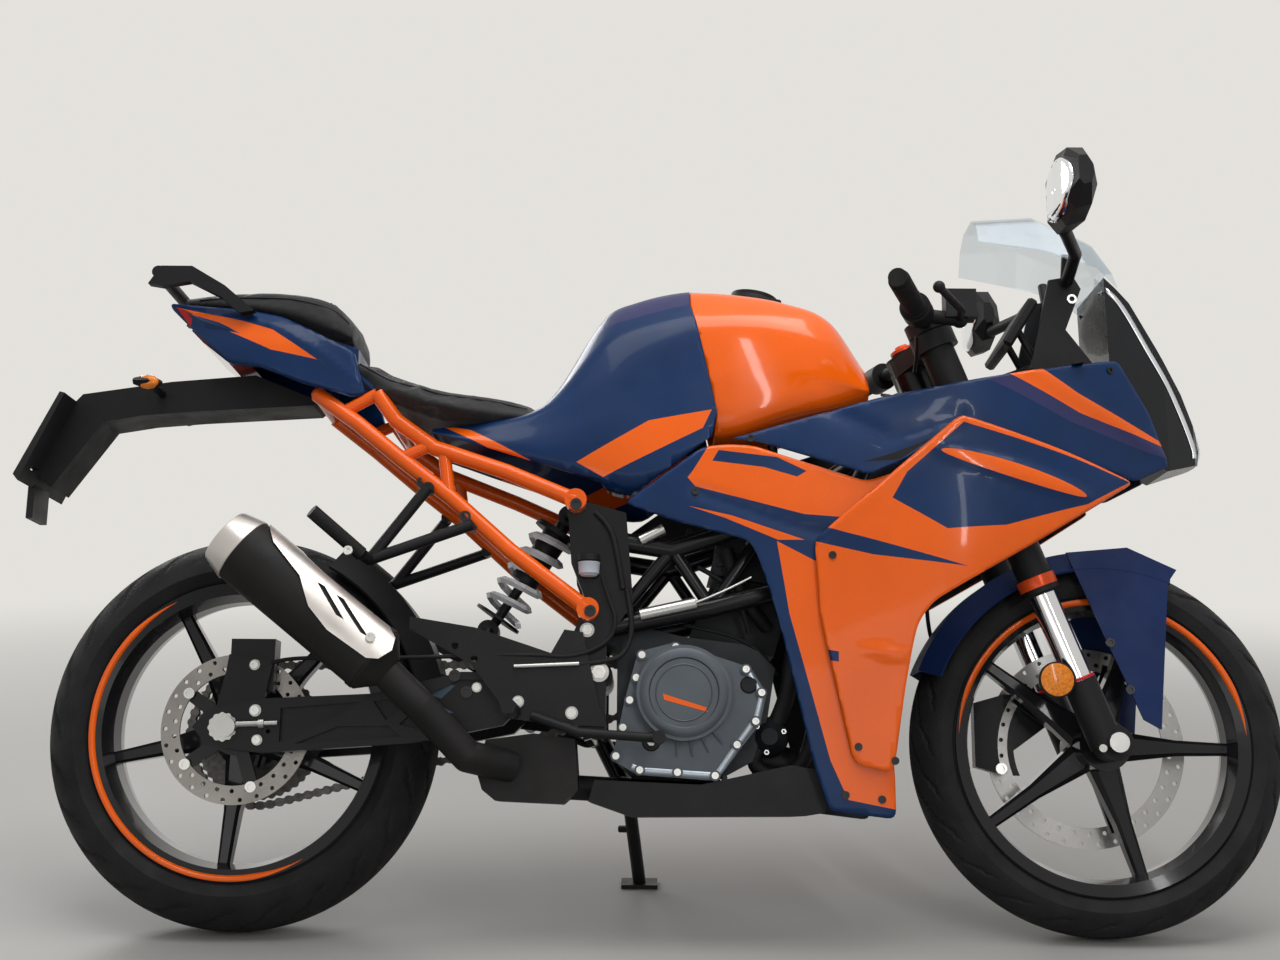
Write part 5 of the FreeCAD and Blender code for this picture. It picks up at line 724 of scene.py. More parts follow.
outward(ring)
sharpen(ring, 40)
points = [filler_top + filler_ahead * ahead + Vector((0, aside, 0)) + filler_way * rise
          for ahead in (36, 46) for aside in (-12, 12) for rise in (-9, 0)]
hinge = new_piece("filler_hinge", points, [(0, 1, 3, 2), (4, 6, 7, 5), (0, 4, 5, 1), (2, 3, 7, 6), (0, 2, 6,
        4), (1, 5, 7, 3)],
                  "frame", black_plastic, smooth=False)
outward(hinge)

# Seats. Foam pads under a black vinyl cover, pulled over a base plate and sewn: a low one for the rider
# and a narrow, upturned one for the passenger. The cover swells a little between its seams.
cover_vinyl = finish("seat_vinyl", (0.016, 0.016, 0.017), 0.46, grain=0.35, grain_scale=1600)
cover_vinyl.node_tree.nodes["Principled BSDF"].inputs["Sheen Weight"].default_value = 0.12
cover_vinyl.node_tree.nodes["Principled BSDF"].inputs["Sheen Roughness"].default_value = 0.5
piping_vinyl = finish("seat_piping", (0.010, 0.010, 0.011), 0.40, grain=0.2, grain_scale=1500)

rider_hoops = [
    (-208, [(824, 0), (822, 56), (806, 84), (799, 76), (798, 0)]),
    (-280, [(831, 0), (827, 86), (807, 117), (794, 112), (794, 0)]),
    (-370, [(841, 0), (835, 108), (812, 140), (799, 132), (799, 0)]),
    (-452, [(874, 0), (864, 98), (844, 120), (829, 112), (829, 0)]),
    (-492, [(900, 0), (891, 78), (877, 88), (863, 82), (863, 0)]),
    (-510, [(907, 0), (901, 70), (890, 80), (882, 74), (882, 0)]),
]
pillion_hoops = [
    (-516, [(956, 0), (948, 70), (929, 88), (920, 82), (920, 0)]),
    (-550, [(994, 0), (981, 88), (949, 108), (932, 100), (932, 0)]),
    (-620, [(1013, 0), (998, 88), (973, 108), (960, 100), (960, 0)]),
    (-716, [(1018, 0), (1004, 72), (987, 88), (979, 80), (979, 0)]),
    (-804, [(1010, 0), (1004, 46), (997, 56), (993, 50), (993, 0)]),
]
pad_voxel = 0.005
pad_pressure = 4.0
pad_rise = 0.006


def pad(name, hoops, node):
    """A padded seat: a slightly small core, blown up a little like foam under a tight cover."""
    core = stood(name, flat_shape(*hooped(name, hoops, 5, 7, hold=0.5)), "frame", cover_vinyl)
    outward(core)
    skin = core.modifiers.new("skin", "REMESH")
    skin.mode = "VOXEL"
    skin.voxel_size = pad_voxel
    view = bpy.context.evaluated_depsgraph_get()
    data = bpy.data.meshes.new_from_object(core.evaluated_get(view))
    core.modifiers.clear()
    core.data = data
    rest = [vert.co.copy() for vert in data.vertices]
    swell = core.modifiers.new("swell", "CLOTH")
    swell.settings.use_pressure = True
    swell.settings.uniform_pressure_force = pad_pressure
    swell.settings.effector_weights.gravity = 0
    swell.settings.tension_stiffness = 15
    swell.settings.bending_stiffness = 0.5
    swell.point_cache.frame_start, swell.point_cache.frame_end = 1, 20
    for step in range(1, 21):
        bpy.context.scene.frame_set(step)
    view = bpy.context.evaluated_depsgraph_get()
    data = bpy.data.meshes.new_from_object(core.evaluated_get(view))
    core.modifiers.clear()
    bpy.context.scene.frame_set(1)
    for vert, place in zip(data.vertices, rest):
        move = vert.co - place
        if move.length > pad_rise:
            vert.co = place + move * (pad_rise / move.length)
    core.data = data
    if not data.materials:
        data.materials.append(cover_vinyl)
    data.polygons.foreach_set("use_smooth", [True] * len(data.polygons))
    even = core.modifiers.new("even", "SUBSURF")
    even.levels = even.render_levels = 1
    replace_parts(core, node)
    return core


def piping(name, pad_piece, route, radius, body="frame"):
    """A sewn cord along a line of points, laid onto the pad under it."""
    tree = BVHTree.FromObject(pad_piece, bpy.context.evaluated_depsgraph_get())
    line = bpy.data.curves.new(name, "CURVE")
    line.dimensions = "3D"
    line.bevel_depth = radius / 1000
    line.bevel_resolution = 2
    spline = line.splines.new("NURBS")
    places = []
    for place in route:
        found, way, _, _ = tree.find_nearest(tipped @ Vector(place))
        places.append(found + way * radius / 1000 * 0.2)
    spline.points.add(len(places) - 1)
    for point, place in zip(spline.points, places):
        point.co = (*place, 1)
    spline.order_u = 3
    spline.use_endpoint_u = True
    shape = bpy.data.objects.new(name + "_line", line)
    bpy.context.scene.collection.objects.link(shape)
    data = bpy.data.meshes.new_from_object(shape.evaluated_get(bpy.context.evaluated_depsgraph_get()))
    bpy.data.objects.remove(shape)
    data.materials.append(piping_vinyl)
    piece = bpy.data.objects.new(name, data)
    bpy.context.scene.collection.objects.link(piece)
    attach(piece, body)
    return piece


def run_along(hoops, row, side, share=0.0):
    """Points along a pad's row of hoop points, or part way to the next row."""
    points = []
    for (x, rows), (next_x, next_rows) in zip(hoops, hoops[1:]):
        for step in (0, 0.34, 0.67):
            a, b = rows[row], rows[min(row + 1, len(rows) - 1)]
            c, d = next_rows[row], next_rows[min(row + 1, len(rows) - 1)]
            here = (a[0] + (b[0] - a[0]) * share, a[1] + (b[1] - a[1]) * share)
            there = (c[0] + (d[0] - c[0]) * share, c[1] + (d[1] - c[1]) * share)
            points.append((x + (next_x - x) * step, side * (here[1] + (there[1] - here[1]) * step),
                           here[0] + (there[0] - here[0]) * step))
    return points[1:]


rider_pad = pad("rider_pad", rider_hoops, "rider_seat")
pillion_pad = pad("pillion_pad", pillion_hoops, "pillion_seat")
for side, side_name in ((-1, "right"), (1, "left")):
    piping("rider_piping_" + side_name, rider_pad, run_along(rider_hoops, 1, side, 0.25), 1.6)
    piping("pillion_piping_" + side_name, pillion_pad, run_along(pillion_hoops, 1, side, 0.25), 1.6)
for seam, x in (("front", -546), ("rear", -554)):
    route = [(x, y, 1004 - 0.0016 * y * y) for y in range(-84, 85, 12)]
    piping("pillion_seam_" + seam, pillion_pad, route, 0.9)

# Tail. Navy panels either side of the passenger's seat, with an orange flash, a red lamp between their
# ends, and black handles above them. A long black arm behind carries the plate and the indicators.
tail_table = ((826, 862, 915, 985), (
    (-824, (55, 65, 71, 67)), (-756, (77, 87, 93, 79)), (-690, (91, 107, 111, 91)),
    (-624, (107, 115, 119, 95)), (-524, (108, 112, 112, 96)), (-480, (106, 108, 104, 90))))
tail_outline = [(-820, 994), (-688, 975), (-628, 961), (-510, 902), (-488, 832), (-512, 829), (-592, 850),
                (-660, 877), (-710, 884), (-752, 920), (-818, 985)]
tail_flash = [(-808, 986), (-745, 968), (-690, 953), (-640, 936), (-566, 886), (-640, 901), (-690, 925),
              (-745, 952)]
panel("tail_panel", tail_table, tail_outline, [(tail_flash, 1)], [navy_paint, orange_paint, black_plastic],
      creases=[([(-820, 975), (-690, 958), (-624, 940), (-500, 850)], 13, 4.0)], corner=8)
dress(black_plastic, "grab_rail", "plate_arm")
dress(navy_paint, "tail_fairing")

lamp_red = finish("lamp_red", (0.42, 0.006, 0.008), 0.12, coat=0.8, grain=0.0, tint=0.3, tint_scale=60)
lamp_amber = finish("lamp_amber", (0.75, 0.20, 0.01), 0.14, coat=0.8, tint=0.2, tint_scale=60)
dress(lamp_red, "tail_lamp")
dress(black_plastic, "indicators")
for side, side_name in ((-1, "right"), (1, "left")):
    tip_place = Vector((-830, side * 112, 846))
    rings, faces = [], []
    for step, (ahead, half) in enumerate(((17, 3.0), (10, 9.0), (0, 11.0), (-12, 9.0), (-20, 4.0))):
        for turn in range(12):
            angle = math.radians(30 * turn)
            rings.append((tip_place.x + ahead * 0.9,
                          tip_place.y + side * (8 - step * 0.2 + half * 0.8 * math.cos(angle)),
                          tip_place.z + half * 1.12 * math.sin(angle)))
        if step:
            for turn in range(12):
                a, b = (step - 1) * 12 + turn, (step - 1) * 12 + (turn + 1) % 12
                faces.append((a, b, b + 12, a + 12))
    faces += [tuple(range(12)), tuple(range(59, 47, -1))]
    lens = new_piece("indicator_lens_" + side_name, rings, faces, "frame", lamp_amber)
    outward(lens)
dark_plate = finish("plate_black", (0.020, 0.020, 0.021), 0.42, grain=0.12, grain_scale=900)
dress(dark_plate, "number_plate")
reflector_red = finish("reflector_red", (0.30, 0.008, 0.010), 0.16, coat=0.7, tint=0.25, tint_scale=300)


def block(name, low, high, body, material, chamfer=1.5):
    """A small block with broken edges."""
    (x0, y0, z0), (x1, y1, z1) = low, high
    corners = [(x, y, z) for x in (x0, x1) for y in (y0, y1) for z in (z0, z1)]
    piece = new_piece(name, corners, [(0, 1, 3, 2), (4, 6, 7, 5), (0, 4, 5, 1), (2, 3, 7, 6), (0, 2, 6, 4),
                                      (1, 5, 7, 3)],
                      body, material, smooth=False)
    outward(piece)
    if chamfer:
        edge = piece.modifiers.new("edge", "BEVEL")
        edge.width = chamfer / 1000
        edge.segments = 2
    return piece


block("rear_reflector", (-1040.5, -27, 646), (-1037, 27, 690), "frame", reflector_red)

# Nose. A headlamp unit between the upper panels under one clear, curved cover, and a clear acrylic
# screen above it, clamped by black brackets that also carry the mirrors and the dash.
lamp_dark = finish("lamp_housing", (0.010, 0.011, 0.013), 0.28, coat=0.5, grain=0.08)
lamp_chrome = finish("lamp_chrome", (0.70, 0.72, 0.75), 0.10, metal=1.0)
clear = bpy.data.materials.new("clear_cover")
clear.use_nodes = True
clear_tree = clear.node_tree
clear_tree.nodes.remove(clear_tree.nodes["Principled BSDF"])
clear_edge = clear_tree.nodes.new("ShaderNodeLayerWeight")
clear_share = clear_tree.nodes.new("ShaderNodeMapRange")
clear_through = clear_tree.nodes.new("ShaderNodeBsdfTransparent")
clear_shine = clear_tree.nodes.new("ShaderNodeBsdfGlossy")
clear_mix = clear_tree.nodes.new("ShaderNodeMixShader")
clear_edge.inputs["Blend"].default_value = 0.35
clear_share.inputs["To Min"].default_value, clear_share.inputs["To Max"].default_value = 0.012, 0.15
clear_through.inputs["Color"].default_value = (0.88, 0.91, 0.93, 1)
clear_shine.inputs["Color"].default_value = (0.75, 0.79, 0.84, 1)
clear_tree.links.new(clear_edge.outputs["Facing"], clear_share.inputs["Value"])
clear_tree.links.new(clear_share.outputs["Result"], clear_mix.inputs[0])
clear_tree.links.new(clear_through.outputs["BSDF"], clear_mix.inputs[1])
clear_tree.links.new(clear_shine.outputs["BSDF"], clear_mix.inputs[2])
clear_tree.links.new(mix_noise(clear_tree, 40.0, 0.02, 0.07), clear_shine.inputs["Roughness"])
clear_tree.links.new(clear_mix.outputs["Shader"], clear_tree.nodes["Material Output"].inputs["Surface"])
dress(clear, "windscreen")
dress(lamp_dark, "headlamp")
dress(black_plastic, "cockpit_bracket", "mirrors", "dash", "handlebars")
grip_rubber = finish("grip_rubber", (0.012, 0.012, 0.012), 0.72, grain=0.5, grain_scale=1300)
dress(grip_rubber, "grips")

cover_columns, cover_rows = 14, 26
nose_line = [(702, 1045), (744, 1005), (790, 930), (830, 860), (864, 775), (856, 745)]
nose_half = [(702, 78), (744, 76), (790, 62), (830, 44), (864, 22), (856, 12)]
points, faces = [], []
for row in range(cover_rows + 1):
    share = row / cover_rows * (len(nose_line) - 1)
    knots = list(range(len(nose_line)))
    x = curve(knots, [p[0] for p in nose_line], share) + 3
    z = curve(knots, [p[1] for p in nose_line], share)
    half = curve(knots, [p[1] for p in nose_half], share)
    for column in range(cover_columns + 1):
        across = column / cover_columns * 2 - 1
        points.append((x - 14 * across * across * half / 78 - 3, across * half, z))
    if row:
        for column in range(cover_columns):
            a = (row - 1) * (cover_columns + 1) + column
            faces.append((a, a + 1, a + cover_columns + 2, a + cover_columns + 1))
lamp_cover = new_piece("headlamp_cover", points, faces, "frame", clear)
cover_wall = lamp_cover.modifiers.new("wall", "SOLIDIFY")
cover_wall.thickness = 0.002
cover_wall.offset = 0


def struck(y, z, way, *names):
    """How far along the bike a line from the front or the back first meets any of some CAD nodes."""
    reach = 1200.0
    start, heading = upright(-way * reach, y, z), tip.to_3x3() @ Vector((way, 0, 0))
    found = []
    for name in names:
        back = nodes[name].matrix_world.inverted()
        hit, spot, normal, index = nodes[name].ray_cast(back @ start, (back.to_3x3() @ heading).normalized())
        if hit:
            found.append((nodes[name].matrix_world @ spot - start).length * 1000)
    return way * (min(found) - reach) if found else None


# What shows through the lamp's cover: a chrome strip down the front of the unit on each side. The
# mirrors' glass faces the rider, laid on the back of each shell.
for side, side_name in ((-1, "right"), (1, "left")):
    points, faces = [], []
    for step in range(25):
        z = 1030 - 11.0 * step
        half = curve([p[1] for p in reversed(nose_line)], [p[1] for p in reversed(nose_half)], z) * 0.86
        for across in (half - 5, half - 1, half):
            x = struck(side * across, z, -1, "headlamp") or 700
            points.append((x + 0.9, side * across, z))
        if step:
            a = len(points) - 6
            faces += [(a, a + 1, a + 4, a + 3), (a + 1, a + 2, a + 5, a + 4)]
    strip = new_piece("lamp_strip_" + side_name, points, faces, "frame", lamp_chrome)
    strip_wall = strip.modifiers.new("wall", "SOLIDIFY")
    strip_wall.thickness = 0.0006

glass = finish("mirror_glass", (0.86, 0.88, 0.90), 0.03, metal=1.0, tint=0.02)
for side, side_name in ((-1, "right"), (1, "left")):
    points, faces = [], []
    for ring in range(7):
        for step in range(32):
            angle = 2 * math.pi * step / 32
            y = side * (332 + 66 * ring / 6 * math.cos(angle))
            z = 1092 + 44 * ring / 6 * math.sin(angle)
            x = struck(y, z, 1, "mirrors")
            points.append(((560.0 if x is None or x > 575 else x) - 0.8, y, z))
            if ring:
                a, b = (ring - 1) * 32 + step, (ring - 1) * 32 + (step + 1) % 32
                faces.append((a, b, b + 32, a + 32))
    sheet = new_piece("mirror_glass_" + side_name, points, faces, "frame", glass)
    sheet_wall = sheet.modifiers.new("wall", "SOLIDIFY")
    sheet_wall.thickness = 0.0015
    sheet_wall.offset = 1

# Tyres. Black rubber with slanting water grooves that are deepest at the shoulder, and smooth, plain walls.
tyre_rubber = finish("tyre_rubber", (0.016, 0.016, 0.017), 0.66, grain=0.4, grain_scale=420, tint=0.3,
                     tint_scale=14)
tread_turns = 432
tread_depth = 3.2


def tread_cut(turn, spread, repeats):
    """How deep the grooves go at a place on the tread: long slanting ones and short ones between them."""
    side = 1 if spread > 0 else -1
    depth = 0.0
    for offset, low, high, slant, width in ((0.0, 6, 62, 0.030, 0.055), (0.5, 26, 60, 0.018, 0.045)):
        phase = (turn * repeats + offset + (0.5 if side < 0 else 0) - abs(spread) * slant) % 1
        away = min(phase, 1 - phase)
        if low < abs(spread) < high and away < width:
            depth = max(depth, min(1, (width - away) / 0.018) * min(1, (high - abs(spread)) / 8,
                    (abs(spread) - low) / 5))
    return depth


def round_tyre(name, axle, radius, crown, half_bead, repeats, body):
    """A tyre: treaded crown, plain walls, and closed beads inside the rim."""
    middle = radius - crown
    marks = [("crown", a) for a in range(-75, 76, 3)]
    line = [(219, -half_bead + 5, None), (219, -half_bead - 0.2, None), (231, -half_bead - 0.2, None),
            (234, -half_bead - 4.0, None)]
    line += [(middle + crown * math.cos(math.radians(a)), crown * math.sin(math.radians(a)), a) for _,
             a in marks]
    line += [(234, half_bead + 4.0, None), (231, half_bead + 0.2, None), (219, half_bead + 0.2, None),
             (219, half_bead - 5, None)]
    points, faces = [], []
    count = len(line)
    for turn in range(tread_turns):
        angle = 2 * math.pi * turn / tread_turns
        for reach, y, spread in line:
            if spread is not None and abs(spread) < 64:
                cut = tread_cut(turn / tread_turns, spread, repeats) * tread_depth
                reach -= cut * math.cos(math.radians(spread))
                y -= cut * math.sin(math.radians(spread))
            points.append((axle.x + reach * math.cos(angle), y, axle.z + reach * math.sin(angle)))
        after = (turn + 1) % tread_turns
        for step in range(count):
            nxt = (step + 1) % count
            faces.append((turn * count + step, turn * count + nxt, after * count + nxt, after * count + step))
    piece = new_piece(name, points, faces, body, tyre_rubber)
    outward(piece)
    sharpen(piece, 28)
    return piece


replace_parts(round_tyre("front_tyre_tread", front_axle, front_tyre_radius, 55.0, 43.0, 24, "front_wheel"),
            "front_tyre")
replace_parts(round_tyre("rear_tyre_tread", rear_axle, rear_tyre_radius, 75.0, 57.0, 24, "rear_wheel"),
            "rear_tyre")

# Orange lines on the rims' lips, drawn to a point at each end.
for side, side_name in ((-1, "right"), (1, "left")):
    for name, axle, half, body, start, sweep in (
            ("front_rim_line_", front_axle, 43, "front_wheel", 4, 172),
        ("rear_rim_line_", rear_axle, 57, "rear_wheel", 118, 182)):
        points, faces = [], []
        for step in range(line_steps + 1):
            share = step / line_steps
            angle = math.radians(start + sweep * share)
            narrow = min(1, share * 9, (1 - share) * 9)
            for reach in (224 - 4.6 * narrow, 224 + 4.6 * narrow):
                points.append((axle.x + reach * math.cos(angle),
                               side * (half + 7 * (reach - 211) / 18 + 0.45),
                               axle.z + reach * math.sin(angle)))
            if step:
                faces.append((2 * step - 2, 2 * step - 1, 2 * step + 1, 2 * step))
        line = new_piece(name + side_name, points, faces, body, orange_paint)
        thick = line.modifiers.new("thick", "SOLIDIFY")
        thick.thickness = 0.0004

# Brake discs. Ground stainless steel, pierced by rings of cooling holes and bolted to the wheel.
disc_steel = finish("disc_steel", (0.30, 0.295, 0.285), 0.36, metal=0.9, grain=0.10, grain_scale=300,
                    tint=0.10)
worn_steel = finish("worn_disc_steel", (0.25, 0.235, 0.22), 0.36, metal=0.9, grain=0.12, grain_scale=300,
                    tint=0.2)
disc_tree = bpy.data.node_groups.new("pierced_disc", "GeometryNodeTree")
disc_sockets = {}
for label, kind in (("Outer", "NodeSocketFloat"), ("Inner", "NodeSocketFloat"),
                    ("First ring", "NodeSocketFloat"),
                    ("Second ring", "NodeSocketFloat"), ("Hole", "NodeSocketFloat"),
                    ("Count", "NodeSocketInt"),
                    ("Thickness", "NodeSocketFloat"), ("Material", "NodeSocketMaterial")):
    disc_sockets[label] = disc_tree.interface.new_socket(label, in_out="INPUT", socket_type=kind).identifier
disc_tree.interface.new_socket("Geometry", in_out="OUTPUT", socket_type="NodeSocketGeometry")
disc_in = disc_tree.nodes.new("NodeGroupInput")
disc_out = disc_tree.nodes.new("NodeGroupOutput")
joined = disc_tree.nodes.new("GeometryNodeJoinGeometry")
for label, fine in (("Outer", 96), ("Inner", 72)):
    edge_ring = disc_tree.nodes.new("GeometryNodeCurvePrimitiveCircle")
    edge_ring.inputs["Resolution"].default_value = fine
    disc_tree.links.new(disc_in.outputs[label], edge_ring.inputs["Radius"])
    disc_tree.links.new(edge_ring.outputs["Curve"], joined.inputs[0])
hole_ring = disc_tree.nodes.new("GeometryNodeCurvePrimitiveCircle")
hole_ring.inputs["Resolution"].default_value = 10
disc_tree.links.new(disc_in.outputs["Hole"], hole_ring.inputs["Radius"])
for label, turn in (("First ring", 0.0), ("Second ring", 0.5)):
    seats = disc_tree.nodes.new("GeometryNodeMeshCircle")
    disc_tree.links.new(disc_in.outputs["Count"], seats.inputs["Vertices"])
    disc_tree.links.new(disc_in.outputs[label], seats.inputs["Radius"])
    share = disc_tree.nodes.new("ShaderNodeMath")
    share.operation = "DIVIDE"
    share.inputs[0].default_value = turn * 2 * math.pi
    disc_tree.links.new(disc_in.outputs["Count"], share.inputs[1])
    angle = disc_tree.nodes.new("ShaderNodeCombineXYZ")
    disc_tree.links.new(share.outputs[0], angle.inputs["Z"])
    spun = disc_tree.nodes.new("GeometryNodeTransform")
    disc_tree.links.new(seats.outputs["Mesh"], spun.inputs["Geometry"])
    disc_tree.links.new(angle.outputs[0], spun.inputs["Rotation"])
    holes = disc_tree.nodes.new("GeometryNodeInstanceOnPoints")
    disc_tree.links.new(spun.outputs["Geometry"], holes.inputs["Points"])
    disc_tree.links.new(hole_ring.outputs["Curve"], holes.inputs["Instance"])
    real_holes = disc_tree.nodes.new("GeometryNodeRealizeInstances")
    disc_tree.links.new(holes.outputs["Instances"], real_holes.inputs["Geometry"])
    disc_tree.links.new(real_holes.outputs["Geometry"], joined.inputs[0])
filled = disc_tree.nodes.new("GeometryNodeFillCurve")
disc_tree.links.new(joined.outputs[0], filled.inputs["Curve"])
flipped = disc_tree.nodes.new("GeometryNodeFlipFaces")
disc_tree.links.new(filled.outputs["Mesh"], flipped.inputs["Mesh"])
raised = disc_tree.nodes.new("GeometryNodeExtrudeMesh")
raised.inputs["Individual"].default_value = False
disc_tree.links.new(filled.outputs["Mesh"], raised.inputs["Mesh"])
disc_tree.links.new(disc_in.outputs["Thickness"], raised.inputs["Offset Scale"])
both = disc_tree.nodes.new("GeometryNodeJoinGeometry")
disc_tree.links.new(flipped.outputs["Mesh"], both.inputs[0])
disc_tree.links.new(raised.outputs["Mesh"], both.inputs[0])
real_disc = disc_tree.nodes.new("GeometryNodeRealizeInstances")
disc_tree.links.new(both.outputs[0], real_disc.inputs["Geometry"])
steel_set = disc_tree.nodes.new("GeometryNodeSetMaterial")
disc_tree.links.new(real_disc.outputs["Geometry"], steel_set.inputs["Geometry"])
disc_tree.links.new(disc_in.outputs["Material"], steel_set.inputs["Material"])
disc_tree.links.new(steel_set.outputs["Geometry"], disc_out.inputs[0])


def brake_disc(name, axle, y, outer, inner, rings, hole, count, thick, steel, body, node):
    """A pierced disc on a wheel, in the place of the plain one."""
    data = bpy.data.meshes.new(name)
    maker = bpy.data.objects.new(name, data)
    bpy.context.scene.collection.objects.link(maker)
    grown(maker, disc_tree, disc_sockets, body,
          {"Outer": outer, "Inner": inner, "First ring": rings[0], "Second ring": rings[1], "Hole": hole,
           "Count": count, "Thickness": thick, "Material": steel})
    maker.data.transform(tipped @ Matrix.Translation((axle.x, y + thick / 2,
                                                      axle.z)) @ Matrix.Rotation(math.pi / 2, 4, "X"))
    outward(maker)
    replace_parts(maker, node)
    return maker


brake_disc("front_brake_disc", front_axle, 59.0, 160, 126, (152, 136), 3.6, 34, 4.4, disc_steel,
           "front_wheel", "front_disc")
brake_disc("rear_brake_disc", rear_axle, -70.0, 115, 86, (108, 94), 3.4, 26, 4.4, worn_steel, "rear_wheel",
           "rear_disc")
for name, axle, y, reach, side, body in (("front_disc_bolts", front_axle, 62.5, 133, 1, "front_wheel"),
                                         ("rear_disc_bolts", rear_axle, -73.5, 92, -1, "rear_wheel")):
    spots = []
    for number in range(5):
        angle = 2 * math.pi * number / 5
        spots.append(((axle.x + reach * math.cos(angle), y, axle.z + reach * math.sin(angle)), (0, side, 0)))
    bolts(name, body, spots, 8.5, 3.5, steel_bolt, sides=16)

# Drive chain. Steel rollers between pairs of plates, alternately inner and outer, round both sprockets.
chain_steel = finish("chain_steel", (0.10, 0.095, 0.09), 0.38, metal=0.9, grain=0.15, tint=0.3,
                     tint_scale=120)
dress(chain_steel, "rear_sprocket")
chain_pitch, chain_y = 15.875, 93.0
small_centre, large_centre = Vector((-52, 388)), Vector((rear_axle.x, rear_axle.z))
small_radius, large_radius = 38.2, 113.8
span = small_centre - large_centre
lean_of_run = math.atan2(span.y, span.x)
open_of_run = math.asin((large_radius - small_radius) / span.length)
loop = []
for centre, radius, first, last in ((large_centre, large_radius, math.pi / 2 - open_of_run,
                                     3 * math.pi / 2 + open_of_run),
                                    (small_centre, small_radius, -math.pi / 2 + open_of_run,
                                     math.pi / 2 - open_of_run)):
    for step in range(41):
        angle = lean_of_run + first + (last - first) * step / 40
        loop.append(centre + Vector((math.cos(angle), math.sin(angle))) * radius)
loop.append(loop[0])
around = sum((b - a).length for a, b in zip(loop, loop[1:]))
link_count = 2 * round(around / chain_pitch / 2)
pins, travelled, index = [], 0.0, 0
for number in range(link_count):
    want = around * number / link_count
    while travelled + (loop[index + 1] - loop[index]).length < want:
        travelled += (loop[index + 1] - loop[index]).length
        index += 1
    part = (want - travelled) / max((loop[index + 1] - loop[index]).length, 1e-6)
    pins.append(loop[index].lerp(loop[index + 1], part))
link_spots = []
for number in range(link_count):
    here, after = pins[number], pins[(number + 1) % link_count]
    middle = (here + after) / 2
    link_spots.append(((middle.x, chain_y, middle.y), (after.x - here.x, 0, after.y - here.y)))

link_tree = bpy.data.node_groups.new("chain_links", "GeometryNodeTree")
link_sockets = {}
link_tree.interface.new_socket("Points", in_out="INPUT", socket_type="NodeSocketGeometry")
for label, kind in (("Pitch", "NodeSocketFloat"), ("Plate", "NodeSocketFloat"), ("Wall", "NodeSocketFloat"),
                    ("Width", "NodeSocketFloat"), ("Across", "NodeSocketVector"),
                    ("Material", "NodeSocketMaterial")):
    link_sockets[label] = link_tree.interface.new_socket(label, in_out="INPUT", socket_type=kind).identifier
link_tree.interface.new_socket("Geometry", in_out="OUTPUT", socket_type="NodeSocketGeometry")
link_in = link_tree.nodes.new("NodeGroupInput")
link_out = link_tree.nodes.new("NodeGroupOutput")


def sum_of(tree, operation, first, second):
    """One step of arithmetic in a tree, on sockets or plain numbers."""
    step = tree.nodes.new("ShaderNodeMath")
    step.operation = operation
    for socket, value in zip(step.inputs, (first, second)):
        if isinstance(value, (int, float)):
            socket.default_value = value
        else:
            tree.links.new(value, socket)
    return step.outputs[0]


